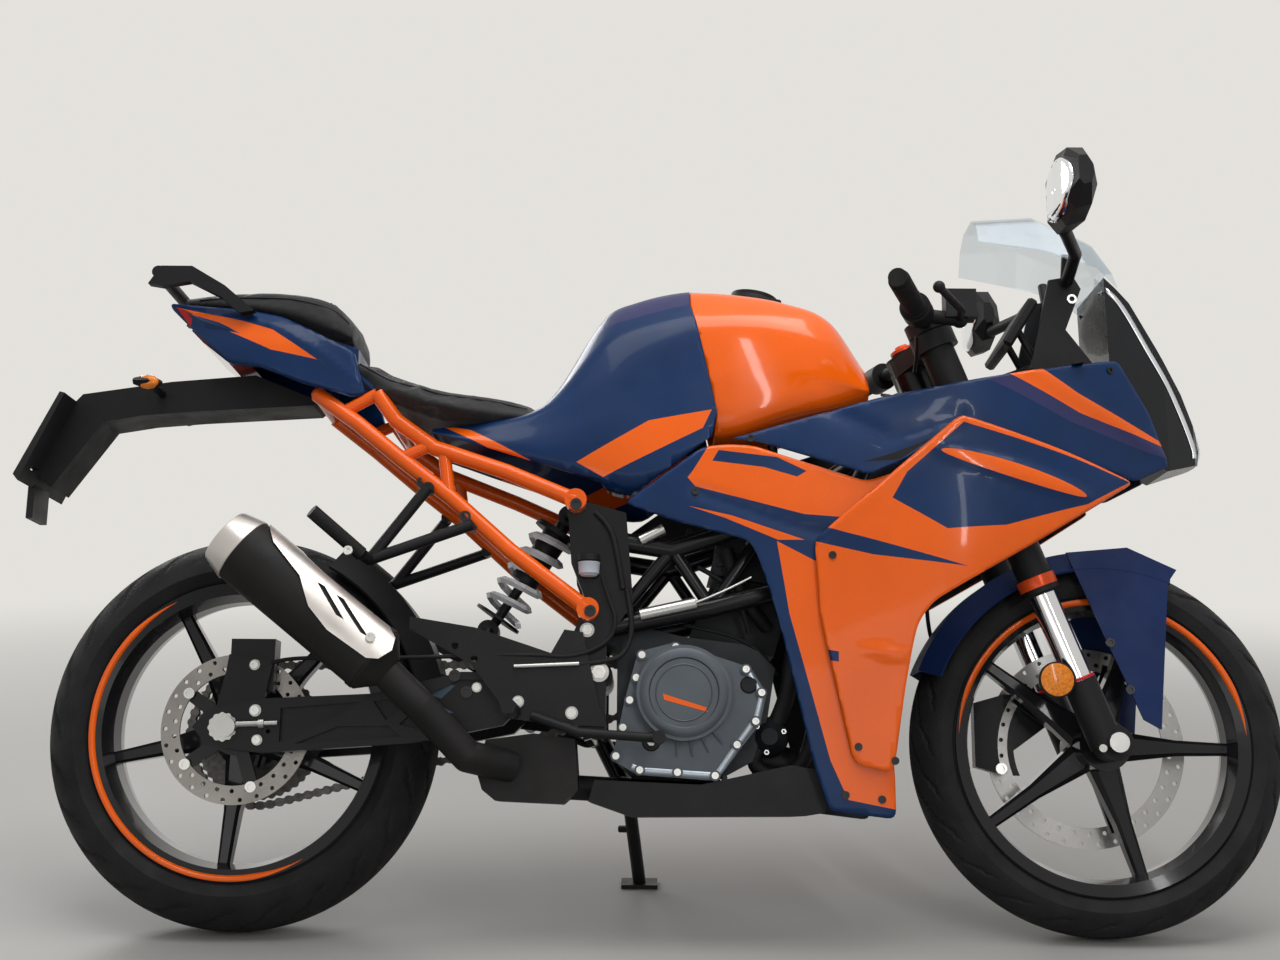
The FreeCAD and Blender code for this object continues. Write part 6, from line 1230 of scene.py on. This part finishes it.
def link_plates(tree, width_scale):
    """Two waisted plates and their pins' ends, at a share of the chain's width apart."""
    parts = tree.nodes.new("GeometryNodeJoinGeometry")
    half = sum_of(tree, "MULTIPLY", link_in.outputs["Width"], 0.5 * width_scale)
    for side in (-1, 1):
        shift_y = sum_of(tree, "MULTIPLY", half, side)
        for end in (-0.5, 0.5):
            eye = tree.nodes.new("GeometryNodeMeshCylinder")
            eye.inputs["Vertices"].default_value = 10
            tree.links.new(sum_of(tree, "MULTIPLY", link_in.outputs["Plate"], 0.5), eye.inputs["Radius"])
            tree.links.new(link_in.outputs["Wall"], eye.inputs["Depth"])
            place = tree.nodes.new("ShaderNodeCombineXYZ")
            tree.links.new(sum_of(tree, "MULTIPLY", link_in.outputs["Pitch"], end), place.inputs["X"])
            tree.links.new(shift_y, place.inputs["Z"])
            moved = tree.nodes.new("GeometryNodeTransform")
            tree.links.new(eye.outputs["Mesh"], moved.inputs["Geometry"])
            tree.links.new(place.outputs[0], moved.inputs["Translation"])
            tree.links.new(moved.outputs["Geometry"], parts.inputs[0])
        waist = tree.nodes.new("GeometryNodeMeshCube")
        size = tree.nodes.new("ShaderNodeCombineXYZ")
        tree.links.new(link_in.outputs["Pitch"], size.inputs["X"])
        tree.links.new(sum_of(tree, "MULTIPLY", link_in.outputs["Plate"], 0.62), size.inputs["Y"])
        tree.links.new(sum_of(tree, "MULTIPLY", link_in.outputs["Wall"], 0.9), size.inputs["Z"])
        tree.links.new(size.outputs[0], waist.inputs["Size"])
        lift = tree.nodes.new("ShaderNodeCombineXYZ")
        tree.links.new(shift_y, lift.inputs["Z"])
        moved = tree.nodes.new("GeometryNodeTransform")
        tree.links.new(waist.outputs["Mesh"], moved.inputs["Geometry"])
        tree.links.new(lift.outputs[0], moved.inputs["Translation"])
        tree.links.new(moved.outputs["Geometry"], parts.inputs[0])
    if width_scale < 1:
        for end in (-0.5, 0.5):
            roller = tree.nodes.new("GeometryNodeMeshCylinder")
            roller.inputs["Vertices"].default_value = 12
            tree.links.new(sum_of(tree, "MULTIPLY", link_in.outputs["Plate"], 0.34), roller.inputs["Radius"])
            tree.links.new(sum_of(tree, "MULTIPLY", link_in.outputs["Width"], 1.12), roller.inputs["Depth"])
            place = tree.nodes.new("ShaderNodeCombineXYZ")
            tree.links.new(sum_of(tree, "MULTIPLY", link_in.outputs["Pitch"], end), place.inputs["X"])
            moved = tree.nodes.new("GeometryNodeTransform")
            tree.links.new(roller.outputs["Mesh"], moved.inputs["Geometry"])
            tree.links.new(place.outputs[0], moved.inputs["Translation"])
            tree.links.new(moved.outputs["Geometry"], parts.inputs[0])
    return parts.outputs[0]


along_way = link_tree.nodes.new("GeometryNodeInputNamedAttribute")
along_way.data_type = "FLOAT_VECTOR"
along_way.inputs["Name"].default_value = "way"
aimed = link_tree.nodes.new("FunctionNodeAlignRotationToVector")
aimed.axis = "X"
link_tree.links.new(along_way.outputs["Attribute"], aimed.inputs["Vector"])
squared = link_tree.nodes.new("FunctionNodeAlignRotationToVector")
squared.axis = "Z"
squared.pivot_axis = "X"
link_tree.links.new(aimed.outputs["Rotation"], squared.inputs["Rotation"])
link_tree.links.new(link_in.outputs["Across"], squared.inputs["Vector"])
number_in = link_tree.nodes.new("GeometryNodeInputIndex")
odd = sum_of(link_tree, "MODULO", number_in.outputs[0], 2)
even = sum_of(link_tree, "SUBTRACT", 1, odd)
all_links = link_tree.nodes.new("GeometryNodeJoinGeometry")
for chosen, width_scale in ((odd, 1.0), (even, 0.72)):
    laid = link_tree.nodes.new("GeometryNodeInstanceOnPoints")
    link_tree.links.new(link_in.outputs["Points"], laid.inputs["Points"])
    link_tree.links.new(chosen, laid.inputs["Selection"])
    link_tree.links.new(link_plates(link_tree, width_scale), laid.inputs["Instance"])
    link_tree.links.new(squared.outputs["Rotation"], laid.inputs["Rotation"])
    link_tree.links.new(laid.outputs["Instances"], all_links.inputs[0])
real_links = link_tree.nodes.new("GeometryNodeRealizeInstances")
link_tree.links.new(all_links.outputs[0], real_links.inputs["Geometry"])
link_finish = link_tree.nodes.new("GeometryNodeSetMaterial")
link_tree.links.new(real_links.outputs["Geometry"], link_finish.inputs["Geometry"])
link_tree.links.new(link_in.outputs["Material"], link_finish.inputs["Material"])
link_tree.links.new(link_finish.outputs["Geometry"], link_out.inputs[0])
chain = grown(point_set("drive_chain", link_spots), link_tree, link_sockets, "frame",
              {"Pitch": 0.015875, "Plate": 0.0142, "Wall": 0.0018, "Width": 0.0138,
               "Across": tuple(tip.to_3x3() @ Vector((0, 1, 0))), "Material": chain_steel})
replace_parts(chain, "chain")

# Engine. Die-cast aluminium cases, bead-blasted dark grey, with ribs, a round clutch cover and bright
# flange bolts round its edge. The cylinder above it is black.
case_grey = finish("case_grey", (0.030, 0.033, 0.037), 0.46, metal=0.5, grain=0.30, grain_scale=1500,
                   tint=0.18)
cover_grey = finish("cover_grey", (0.060, 0.070, 0.082), 0.38, metal=0.6, grain=0.22, grain_scale=1600,
                    tint=0.14)
# Bright metal for the cover's machined edge, partly a painted highlight.
edge_metal_and_painted_highlight = finish("machined_edge_and_painted_highlight", (0.34, 0.38, 0.43), 0.30, metal=0.9, grain=0.10, grain_scale=1200)
head_black = finish("head_black", (0.016, 0.017, 0.019), 0.44, metal=0.4, grain=0.3, grain_scale=1300)
cast_black = finish("cast_black", (0.014, 0.014, 0.015), 0.40, metal=0.2, grain=0.25, grain_scale=1200)
dress(cover_grey, "clutch_cover")
dress(case_grey, "engine_case")
dress(head_black, "engine_top")
dress(cast_black, "belly_pan", "side_stand", "footrests", "pillion_footrests", "chain_guard",
      "steering_yokes")


def met(x, z, side, *names):
    """How far across the bike a line from one side first meets any of some CAD nodes."""
    reach = 400.0
    start, way = upright(x, side * reach, z), tip.to_3x3() @ Vector((0, -side, 0))
    found = []
    for name in names:
        back = nodes[name].matrix_world.inverted()
        hit, spot, normal, index = nodes[name].ray_cast(back @ start, (back.to_3x3() @ way).normalized())
        if hit:
            found.append((nodes[name].matrix_world @ spot - start).length * 1000)
    return side * (reach - min(found)) if found else None


def turned(name, centre, way, profile, body, material, steps=48):
    """A round piece turned about a line through a point, from its radii and the distances along it."""
    axis = Vector(way).normalized()
    aside = axis.orthogonal().normalized()
    above = axis.cross(aside)
    middle = Vector(centre)
    points, faces = [], []
    count = len(profile)
    for step in range(steps):
        angle = 2 * math.pi * step / steps
        spoke = aside * math.cos(angle) + above * math.sin(angle)
        points += [middle + spoke * reach + axis * along for reach, along in profile]
        after = (step + 1) % steps
        for k in range(count):
            n = (k + 1) % count
            faces.append((step * count + k, step * count + n, after * count + n, after * count + k))
    piece = new_piece(name, points, faces, body, material)
    outward(piece)
    sharpen(piece, 30)
    return piece


out = (0, -1, 0)
clutch_middle = Vector((18, 362))
cover_face = -118.3
cover_corners = [(-52, 425), (4, 440), (120, 402), (144, 364), (134, 318), (104, 280), (68, 232), (-52, 240),
                 (-90, 262), (-72, 350)]
rim_spots = []
for (x0, z0), (x1, z1) in zip(cover_corners, cover_corners[1:] + cover_corners[:1]):
    for share in ((0.0, 0.5) if math.hypot(x1 - x0, z1 - z0) > 75 else (0.0,)):
        spot = Vector((x0 + (x1 - x0) * share, z0 + (z1 - z0) * share))
        spot += (clutch_middle - spot).normalized() * 8
        rim_spots.append((spot.x, spot.y))
bolts("cover_bolt_collars", "frame", [((x, cover_face - 4.4, z), out) for x, z in rim_spots], 8.2, 3.0,
      cover_grey, sides=18, socket=0.4)
bolts("cover_rim_bolts", "frame", [((x, cover_face - 7.0, z), out) for x, z in rim_spots], 5.4, 5.0,
      steel_bolt, sides=12)
turned("clutch_ring", (clutch_middle.x, -138.4, clutch_middle.y), out,
       [(51.5, -2.0), (51.5, 0.6), (53.5, 2.4), (57, 2.8), (64, 1.8), (70, -1.6), (71.8, -6), (71.8, -14),
        (60, -14)],
       "frame", cover_grey, 96)
turned("clutch_face_ring", (clutch_middle.x, -138.3, clutch_middle.y), out,
       [(41.0, -1.0), (41.2, 0.8), (42.4, 1.3), (43.6, 0.8), (43.8, -1.0)], "frame", cover_grey, 96)
turned("filler_plug", (-31, -118, 289), out, [(0.5, -3), (0.5, 6), (5, 6), (6, 3), (12, 3), (14, 1), (15,
        -3)], "frame", cast_black)
bolts("filler_plug_star", "frame", [((-31, -124.5, 289), out)], 6.5, 3.0, steel_bolt, sides=6)
turned("oil_sight", (117, -118.5, 376), out, [(0.5, -3), (0.5, 2), (11, 2.4), (13, 1), (14, -3)], "frame",
       head_black)

# A machined chamfer along the cover's lower and front edge, in a bright metal that is partly a painted
# highlight standing in for the light it catches.
edge_line = [(-60, 252), (-45, 246.5), (62, 240), (72, 246), (100, 288), (128, 326), (137, 362), (118, 394)]
points, faces = [], []
for index, (x, z) in enumerate(edge_line):
    ahead, behind = edge_line[min(index + 1, len(edge_line) - 1)], edge_line[max(index - 1, 0)]
    run = Vector((ahead[0] - behind[0], ahead[1] - behind[1])).normalized()
    for inset, rise in ((0.0, -0.3), (1.5, 1.2), (5.0, 2.0), (8.5, 1.4), (10.0, -0.3)):
        points.append((x - run.y * (inset - 5), cover_face - rise, z + run.x * (inset - 5)))
    if index:
        base = index * 5
        faces += [(base - 5 + k, base - 4 + k, base + 1 + k, base + k) for k in range(4)]
cover_edge_piece = new_piece("cover_edge_and_painted_highlight", points, faces, "frame", edge_metal_and_painted_highlight)
outward(cover_edge_piece)

for number, turn in enumerate(range(-52, -104, -15)):
    near, far = [Vector((math.cos(math.radians(turn)),
                         math.sin(math.radians(turn)))) * reach for reach in (71, 96)]
    half = Vector((-near.y, near.x)).normalized() * 1.4
    corners = []
    for spot, rise in ((near, 7), (far, 1)):
        for sign in (-1, 1):
            for y in (cover_face + 1, cover_face - rise):
                corners.append((clutch_middle.x + spot.x + half.x * sign, y,
                                clutch_middle.y + spot.y + half.y * sign))
    rib = new_piece("cover_rib_%d" % number, corners,
                    [(0, 1, 3, 2), (4, 6, 7, 5), (0, 4, 5, 1), (2, 3, 7, 6), (0, 2, 6, 4),
                                                      (1, 5, 7, 3)], "frame", cover_grey, smooth=False)
    outward(rib)
band = [(-14, 378), (-12, 369), (54, 351), (52, 358)]
clutch_band = new_piece("clutch_band", [(x, -138.9, z - 18) for x, z in band] + [(x, -137.5, z - 18) for x,
        z in band],
                        [(0, 1, 2, 3), (4, 7, 6, 5), (0, 4, 5, 1), (1, 5, 6, 2), (2, 6, 7, 3), (3, 7, 4, 0)],
                        "frame", orange_paint, smooth=False)
outward(clutch_band)

for number, (x, z, reach) in enumerate(((62, 590, 20), (98, 560, 17), (80, 520, 14), (120, 600, 12))):
    face = met(x, z, -1, "engine_top")
    if face:
        turned("head_boss_%d" % number, (x, face, z), out,
               [(0.5, -4), (0.5, 7), (reach * 0.6, 7), (reach * 0.7, 4), (reach, 3), (reach, -4)],
               "frame", head_black, 28)
        bolts("head_boss_bolt_%d" % number, "frame", [((x, face - 8, z), out)], 4.5, 4.0, steel_bolt, sides=6)

# Chassis. A black steel trellis frame, an orange bolt-on subframe, and a cast swingarm whose pockets
# are left blue-grey. Bright flange bolts and a toothed chain adjuster stand out on the black.
frame_black = finish("frame_black", (0.008, 0.008, 0.009), 0.24, coat=0.4, grain=0.06, grain_scale=500)
frame_orange = finish("frame_orange", (0.88, 0.115, 0.003), 0.24, coat=0.8, grain=0.05, grain_scale=500,
                      tint=0.06)
arm_black = finish("arm_black", (0.010, 0.010, 0.011), 0.34, coat=0.2, grain=0.12, grain_scale=900)
pocket_grey = finish("pocket_grey", (0.060, 0.085, 0.115), 0.42, metal=0.5, grain=0.2, grain_scale=1200)
bright_steel = finish("bright_steel", (0.42, 0.42, 0.41), 0.30, metal=1.0, grain=0.05, grain_scale=900)
caliper_black = finish("caliper_black", (0.012, 0.012, 0.013), 0.30, metal=0.3, coat=0.3, grain=0.15,
                       grain_scale=1100)
dress(frame_black, "main_frame")
dress(frame_orange, "subframe")
dress(arm_black, "swingarm")
dress(bright_steel, "rear_axle", "front_axle")
dress(caliper_black, "rear_caliper", "front_caliper")

spots = [(-111, 393, 15.0, 6.0), (-130, 457, 11.0, 4.0), (-630, 331, 9.0, 4.0), (-625, 287, 8.0, 4.0),
         (-232, 346, 9.0, 5.0),
         (-96, 326, 8.0, 4.0), (-151, 330, 9.5, 5.0), (-297, 369, 7.5, 3.0), (-640, 402, 8.0, 4.0)]
for number, (x, z, reach, height) in enumerate(spots):
    face = met(x, z, -1, "main_frame", "swingarm", "footrests", "rear_caliper", "chain_guard")
    if face:
        turned("chassis_washer_%d" % number, (x, face, z), out,
               [(0.5, -2), (0.5, 1.4), (reach, 1.4), (reach + 0.6, 0.6), (reach + 0.6, -2)],
               "frame", bright_steel, 36)
        bolts("chassis_bolt_%d" % number, "frame", [((x, face - 1.4 - height / 2, z), out)], reach * 0.74,
              height, steel_bolt, sides=6 if reach > 10 else 12)
hidden = [(-391, 686), (-321, 631), (-330, 386), (-312, 362), (-149, 648), (-125, 483)]
dark_spots = []
for x, z in hidden:
    face = met(x, z, -1, "pillion_footrests", "subframe", "footrests", "main_frame", "swingarm")
    if face:
        dark_spots.append(((x, face - 1.5, z), out))
bolts("dark_frame_bolts", "frame", dark_spots, 9.0, 3.4, dark_bolt, sides=20, socket=2.4)

# Chain adjusters either side of the axle: a toothed washer, its nut and a threaded puller.
for side in (-1, 1):
    face = met(rear_axle.x - 12, rear_axle.z, side, "swingarm") or side * 125
    teeth = []
    for step in range(48):
        reach = 20.5 + (1.6 if step % 4 < 2 else 0)
        teeth.append((reach * math.cos(2 * math.pi * step / 48), reach * math.sin(2 * math.pi * step / 48)))
    ring = [(rear_axle.x + x - 6, y, rear_axle.z + z) for y in (face - side * 1, face + side * 4) for x,
            z in teeth]
    sides_of = [(k, (k + 1) % 48, 48 + (k + 1) % 48, 48 + k) for k in range(48)]
    washer = new_piece("adjuster_" + ("left" if side > 0 else "right"), ring,
                       sides_of + [tuple(range(48)), tuple(range(95, 47, -1))], "frame", bright_steel,
                       smooth=False)
    outward(washer)
    turned("adjuster_bolt_" + ("left" if side > 0 else "right"),
           (rear_axle.x + 15, face + side * 5, rear_axle.z + 4), (1, 0, 0.04),
           [(0.5, 0), (4.5, 0), (4.5, 34), (7, 34), (7, 42), (4, 42), (4, 62), (0.5, 62)], "frame",
           bright_steel, 12)

# Pockets of the swingarm, each a shallow tray in a lighter finish.
for number, tray in enumerate(([(-560, 338), (-470, 330), (-430, 342), (-420, 352), (-500, 368), (-560, 356)],
                               [(-405, 330), (-330, 330), (-372, 352)],
                               [(-392, 362), (-350, 352), (-330, 372), (-370, 376)])):
    depth = [met(x, z, -1, "swingarm") for x, z in tray]
    if all(depth):
        faces = [tuple(range(len(tray)))]
        piece = new_piece("arm_pocket_%d" % number, [(x, max(depth) - 0.4, z) for x, z in tray], faces,
                          "frame", pocket_grey, smooth=False)

# Hoses and cables: black rubber and braided sleeve, clipped to the frame and run in easy curves.
hose_rubber = finish("hose_rubber", (0.012, 0.012, 0.013), 0.50, grain=0.35, grain_scale=1500)


def hose(name, route, radius, body, material, sides=10):
    """A bent hose or rod through points of the upright bike."""
    line = bpy.data.curves.new(name, "CURVE")
    line.dimensions = "3D"
    line.bevel_depth = radius / 1000
    line.bevel_resolution = max(1, sides // 2 - 2)
    line.use_fill_caps = True
    line.resolution_u = 8
    spline = line.splines.new("NURBS")
    spline.points.add(len(route) - 1)
    for point, place in zip(spline.points, route):
        point.co = (*upright(*place), 1)
    spline.order_u = 3
    spline.use_endpoint_u = True
    shape = bpy.data.objects.new(name + "_line", line)
    bpy.context.scene.collection.objects.link(shape)
    data = bpy.data.meshes.new_from_object(shape.evaluated_get(bpy.context.evaluated_depsgraph_get()))
    bpy.data.objects.remove(shape)
    data.materials.clear()
    data.materials.append(material)
    piece = bpy.data.objects.new(name, data)
    bpy.context.scene.collection.objects.link(piece)
    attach(piece, body)
    return piece


hose("rear_brake_hose", [(-108, -140, 538), (-98, -140, 505), (-84, -140, 470), (-96, -140, 436), (-150, -139,
        413),
                         (-207, -138, 418), (-330, -134, 414), (-480, -132, 410), (-590, -118, 412),
                         (-612, -112, 404)],
     3.2, "frame", hose_rubber)
hose("lower_loom", [(-70, -131, 520), (-60, -131, 470), (-66, -131, 430), (-88, -133, 408), (-140, -136,
        404)], 4.2, "frame", hose_rubber)
hose("frame_loom", [(-120, -128, 640), (-96, -132, 620), (-84, -132, 570), (-76, -131, 520)], 4.5, "frame",
     hose_rubber)
hose("vent_hose", [(30, -88, 620), (22, -92, 590), (-10, -90, 560), (-40, -88, 540), (-60, -88, 500)], 6.5,
     "frame", hose_rubber)
hose("coolant_hose", [(150, -60, 470), (120, -84, 500), (96, -88, 540), (86, -86, 590)], 10.5, "frame",
     hose_rubber)
hose("brake_rod", [(-239, -141, 399), (-141, -141, 404)], 3.4, "frame", bright_steel)
hose("frame_sleeve", [(-49, -126, 480), (36, -126, 499)], 10.0, "frame", bright_steel, 16)
hose("frame_wire", [(36, -136, 499), (79, -134, 516), (121, -128, 540)], 2.0, "frame", bright_steel)
hose("upper_sleeve", [(-50, -126, 596), (-14, -126, 615)], 9.0, "frame", bright_steel, 16)

# Exhaust and dampers. The pipe and its box are heat-proof black, the silencer black with a satin steel
# shield, and the spring is white over a black damper.
pipe_black = finish("pipe_black", (0.016, 0.015, 0.015), 0.50, metal=0.2, grain=0.2, grain_scale=800,
                    tint=0.3)
shield_satin = finish("shield_satin", (0.60, 0.57, 0.54), 0.34, metal=0.8, grain=0.06, grain_scale=900)
spring_white = finish("spring_white", (0.86, 0.87, 0.88), 0.30, coat=0.5, grain=0.03)
dress(pipe_black, "exhaust_pipe", "silencer")
dress(shield_satin, "silencer_shield")
dress(spring_white, "shock_spring")
dress(cast_black, "shock_absorber", "radiator")

# Front end. Chrome sliders, black outer tubes and castings, an orange collar on each fork tube, a thin
# red dust ring, and an amber reflector behind each leg.
chrome = finish("slider_chrome", (0.72, 0.72, 0.74), 0.07, metal=1.0, tint=0.03)
navy_satin = finish("fender_navy", (0.008, 0.022, 0.090), 0.48, coat=0.0, grain=0.05, grain_scale=700)
collar_orange = finish("collar_orange", (0.80, 0.085, 0.012), 0.30, metal=0.2, coat=0.4)
dust_red = finish("dust_ring_red", (0.55, 0.010, 0.020), 0.35, coat=0.2)
amber_reflector = finish("amber_reflector", (0.80, 0.22, 0.008), 0.14, coat=0.9, grain=0.5, grain_scale=260,
                         tint=0.3, tint_scale=240)
dress(chrome, "fork_sliders")
dress(cast_black, "fork_outer_tubes", "fork_legs")
dress(navy_satin, "front_fender")
dress(cast_black, "brake_cup")
rake = math.radians(21)
fork_up = Vector((-math.sin(rake), 0, math.cos(rake)))
fork_ahead = Vector((math.cos(rake), 0, math.sin(rake)))
tube_behind, fork_half_spacing = 9.0, 98.0


def fork_point(along, ahead, side):
    """A point by its distance up the fork and ahead of the axle, and its place across."""
    return front_axle + fork_up * along + fork_ahead * ahead + Vector((0, side, 0))


for side, side_name in ((-1, "right"), (1, "left")):
    foot = fork_point(0, -tube_behind, side * fork_half_spacing)
    turned("fork_collar_" + side_name, foot + fork_up * 258, fork_up,
           [(28, 0), (30.2, 0.5), (30.4, 2), (30.4, 16), (29.8, 18), (28, 18)], "steering", collar_orange, 64)
    turned("fork_lip_" + side_name, foot + fork_up * 247, fork_up,
           [(22.2, 0), (26.5, 0), (30.2, 4), (30.2, 9), (24, 10), (22.2, 10)], "steering", cast_black, 64)
    turned("dust_ring_" + side_name, foot + fork_up * 105.2, fork_up,
           [(21.8, 0), (25.4, 0), (25.4, 2.6), (23.6, 4.6), (21.8, 4.6)], "steering", dust_red, 64)
    turned("fork_cap_" + side_name, foot + fork_up * 727, fork_up,
           [(0.5, 0), (22.4, 0), (22.4, 4), (19, 7), (12, 7.5), (11, 12), (0.5, 12)], "steering",
           collar_orange, 48)
    turned("reflector_rim_" + side_name, (585, side * 124.5, 387), (0, side, 0),
           [(0.5, -4), (27.5, -4), (27.5, 1.5), (26.2, 2.4), (25.2, 1.4), (0.5, 1.4)], "steering", cast_black,
           56)
    turned("reflector_lens_" + side_name, (585, side * 124.5, 387), (0, side, 0),
           [(0.5, 0), (25.0, 0), (25.0, 2.0), (22, 3.0), (0.5, 3.4)], "steering", amber_reflector, 56)
    bolts("fender_bolts_" + side_name, "steering",
          [((684, side * 72.6, 450), (0, side, 0)), ((711, side * 72.6, 377), (0, side, 0))],
          7.0, 2.6, dark_bolt, sides=18)
bolts("axle_pinch_bolts", "steering", [((front_axle.x - 22, -126, front_axle.z - 8), (-0.4, -1, -0.2))], 6.0,
      5.0, steel_bolt)
bolts("caliper_bolts", "steering", [((479, 38.5, 381), (0, -1, 0)), ((531, 38.5, 259), (0, -1, 0))], 9.0, 5.0,
      steel_bolt, sides=16)
hose("front_brake_hose", [(430, 30, 640), (420, 42, 560), (424, 62, 480), (446, 70, 430), (470, 72, 380)],
     3.4, "steering", hose_rubber)
hose("clutch_cable", [(378, 190, 918), (384, 150, 906), (387, 112, 892), (390, 78, 884)], 3.0, "steering",
     hose_rubber)
hose("throttle_cable", [(374, -196, 908), (382, -152, 902), (387, -112, 892), (390, -78, 884)], 3.0,
     "steering", hose_rubber)

# Fluid cup. A milky cup under the black cap of the rear brake's reservoir.
milky = finish("milky_cup", (0.52, 0.54, 0.60), 0.30, coat=0.3, tint=0.1)
turned("rear_fluid_cup", (-128, -142.3, 537.5), (0, 0, 1),
       [(0.5, 0), (11, 0), (15.5, 4), (16.6, 19), (17.2, 20), (17.2, 21), (0.5, 21)],
       "frame", milky, 40)

# Round the engine's front: the water pump with its hoses, the oil filter and a starter lead, all black
# with bright bolt heads, so that no daylight shows between the cases and the fairing.
turned("water_pump", (150, -66, 300), out, [(0.5, -40), (0.5, 26), (13, 26), (17, 21), (27, 15), (31, 8), (31,
        -40)], "frame", head_black, 40)
turned("oil_filter", (172, -30, 262), (1, 0, -0.25),
       [(0.5, -40), (0.5, 34), (22, 34), (26, 30), (27, 26), (27, -40)], "frame", cast_black, 40)
bolts("pump_bolts", "frame", [((150 + 24 * math.cos(math.radians(a)), -82.5,
                                300 + 24 * math.sin(math.radians(a))), out)
                              for a in (20, 140, 260)], 4.2, 5.0, steel_bolt, sides=6)
hose("pump_hose", [(160, -70, 318), (176, -74, 350), (186, -70, 400), (190, -60, 440), (214, -40, 470)], 13.0,
     "frame", hose_rubber, 16)
hose("pump_low_hose", [(136, -74, 282), (120, -70, 262), (150, -66, 240), (190, -60, 246), (216, -50, 280),
                       (224, -40, 330)],
     11.0, "frame", hose_rubber, 16)
hose("starter_lead", [(20, -84, 470), (60, -90, 462), (100, -88, 452), (140, -80, 430), (164, -70, 396)], 3.0,
     "frame", hose_rubber)
hose("header_lead", [(40, -96, 560), (70, -98, 545), (96, -98, 520), (112, -92, 490), (120, -80, 460)], 4.0,
     "frame", hose_rubber)

# Silencer's outlet cap, spun in bright steel, and its strap.
silencer_front, silencer_rear = Vector((-420, -188, 384)), Vector((-668, -204, 583))
can_way = (silencer_rear - silencer_front).normalized()
turned("silencer_cap", silencer_rear - can_way * 33, can_way,
       [(52.6, 0), (53.2, 1), (52.4, 6), (44.6, 34), (43.2, 36.4), (35, 35.4), (33, 32), (24, 27), (20, 24),
        (17, 24), (17, 22), (42, 30), (50, 0)],
       "frame", shield_satin, 72)
turned("silencer_band", silencer_front + can_way * 30, can_way,
       [(52.2, 0), (53.4, 0), (53.4, 10), (52.2, 10)], "frame", pipe_black, 72)
bolts("shield_bolts", "frame", [((-478, -250.8, 556), (0.0, -1, 0.2)), ((-440, -246, 430), (0, -1, 0))], 7.0,
      4.0, steel_bolt, sides=16)

# Trim round the nose: a chrome line down each side of the lamp unit, a bright pinch bolt on each arm
# that carries a mirror, and the red engine switch on the right bar.
for side, side_name in ((-1, "right"), (1, "left")):
    points, faces = [], []
    knots = list(range(len(nose_line)))
    for step in range(41):
        share = 0.35 + 4.0 * step / 40
        x, z = curve(knots, [p[0] for p in nose_line], share), curve(knots, [p[1] for p in nose_line], share)
        for back in (20, 15, 12):
            y = met(x - back, z - back * 0.35, side, "headlamp")
            points.append((x - back, side * 60 if y is None else y + side * 0.8, z - back * 0.35))
        if step:
            a = len(points) - 6
            faces += [(a, a + 1, a + 4, a + 3), (a + 1, a + 2, a + 5, a + 4)]
    line = new_piece("lamp_side_strip_" + side_name, points, faces, "frame", lamp_chrome)
    line_wall = line.modifiers.new("wall", "SOLIDIFY")
    line_wall.thickness = 0.0006
arm_spots = []
for side in (-1, 1):
    y = met(652, 1012, side, "cockpit_bracket")
    if y is not None:
        arm_spots.append(((652, y + side * 0.4, 1012), (0, side, 0)))
bolts("arm_bolts", "frame", arm_spots, 8.0, 5.0, steel_bolt, sides=18)
switch_red = finish("switch_red", (0.60, 0.020, 0.010), 0.34, coat=0.3)
block("engine_switch", (364, -212, 960), (378, -200, 976), "steering", switch_red, chamfer=1.0)
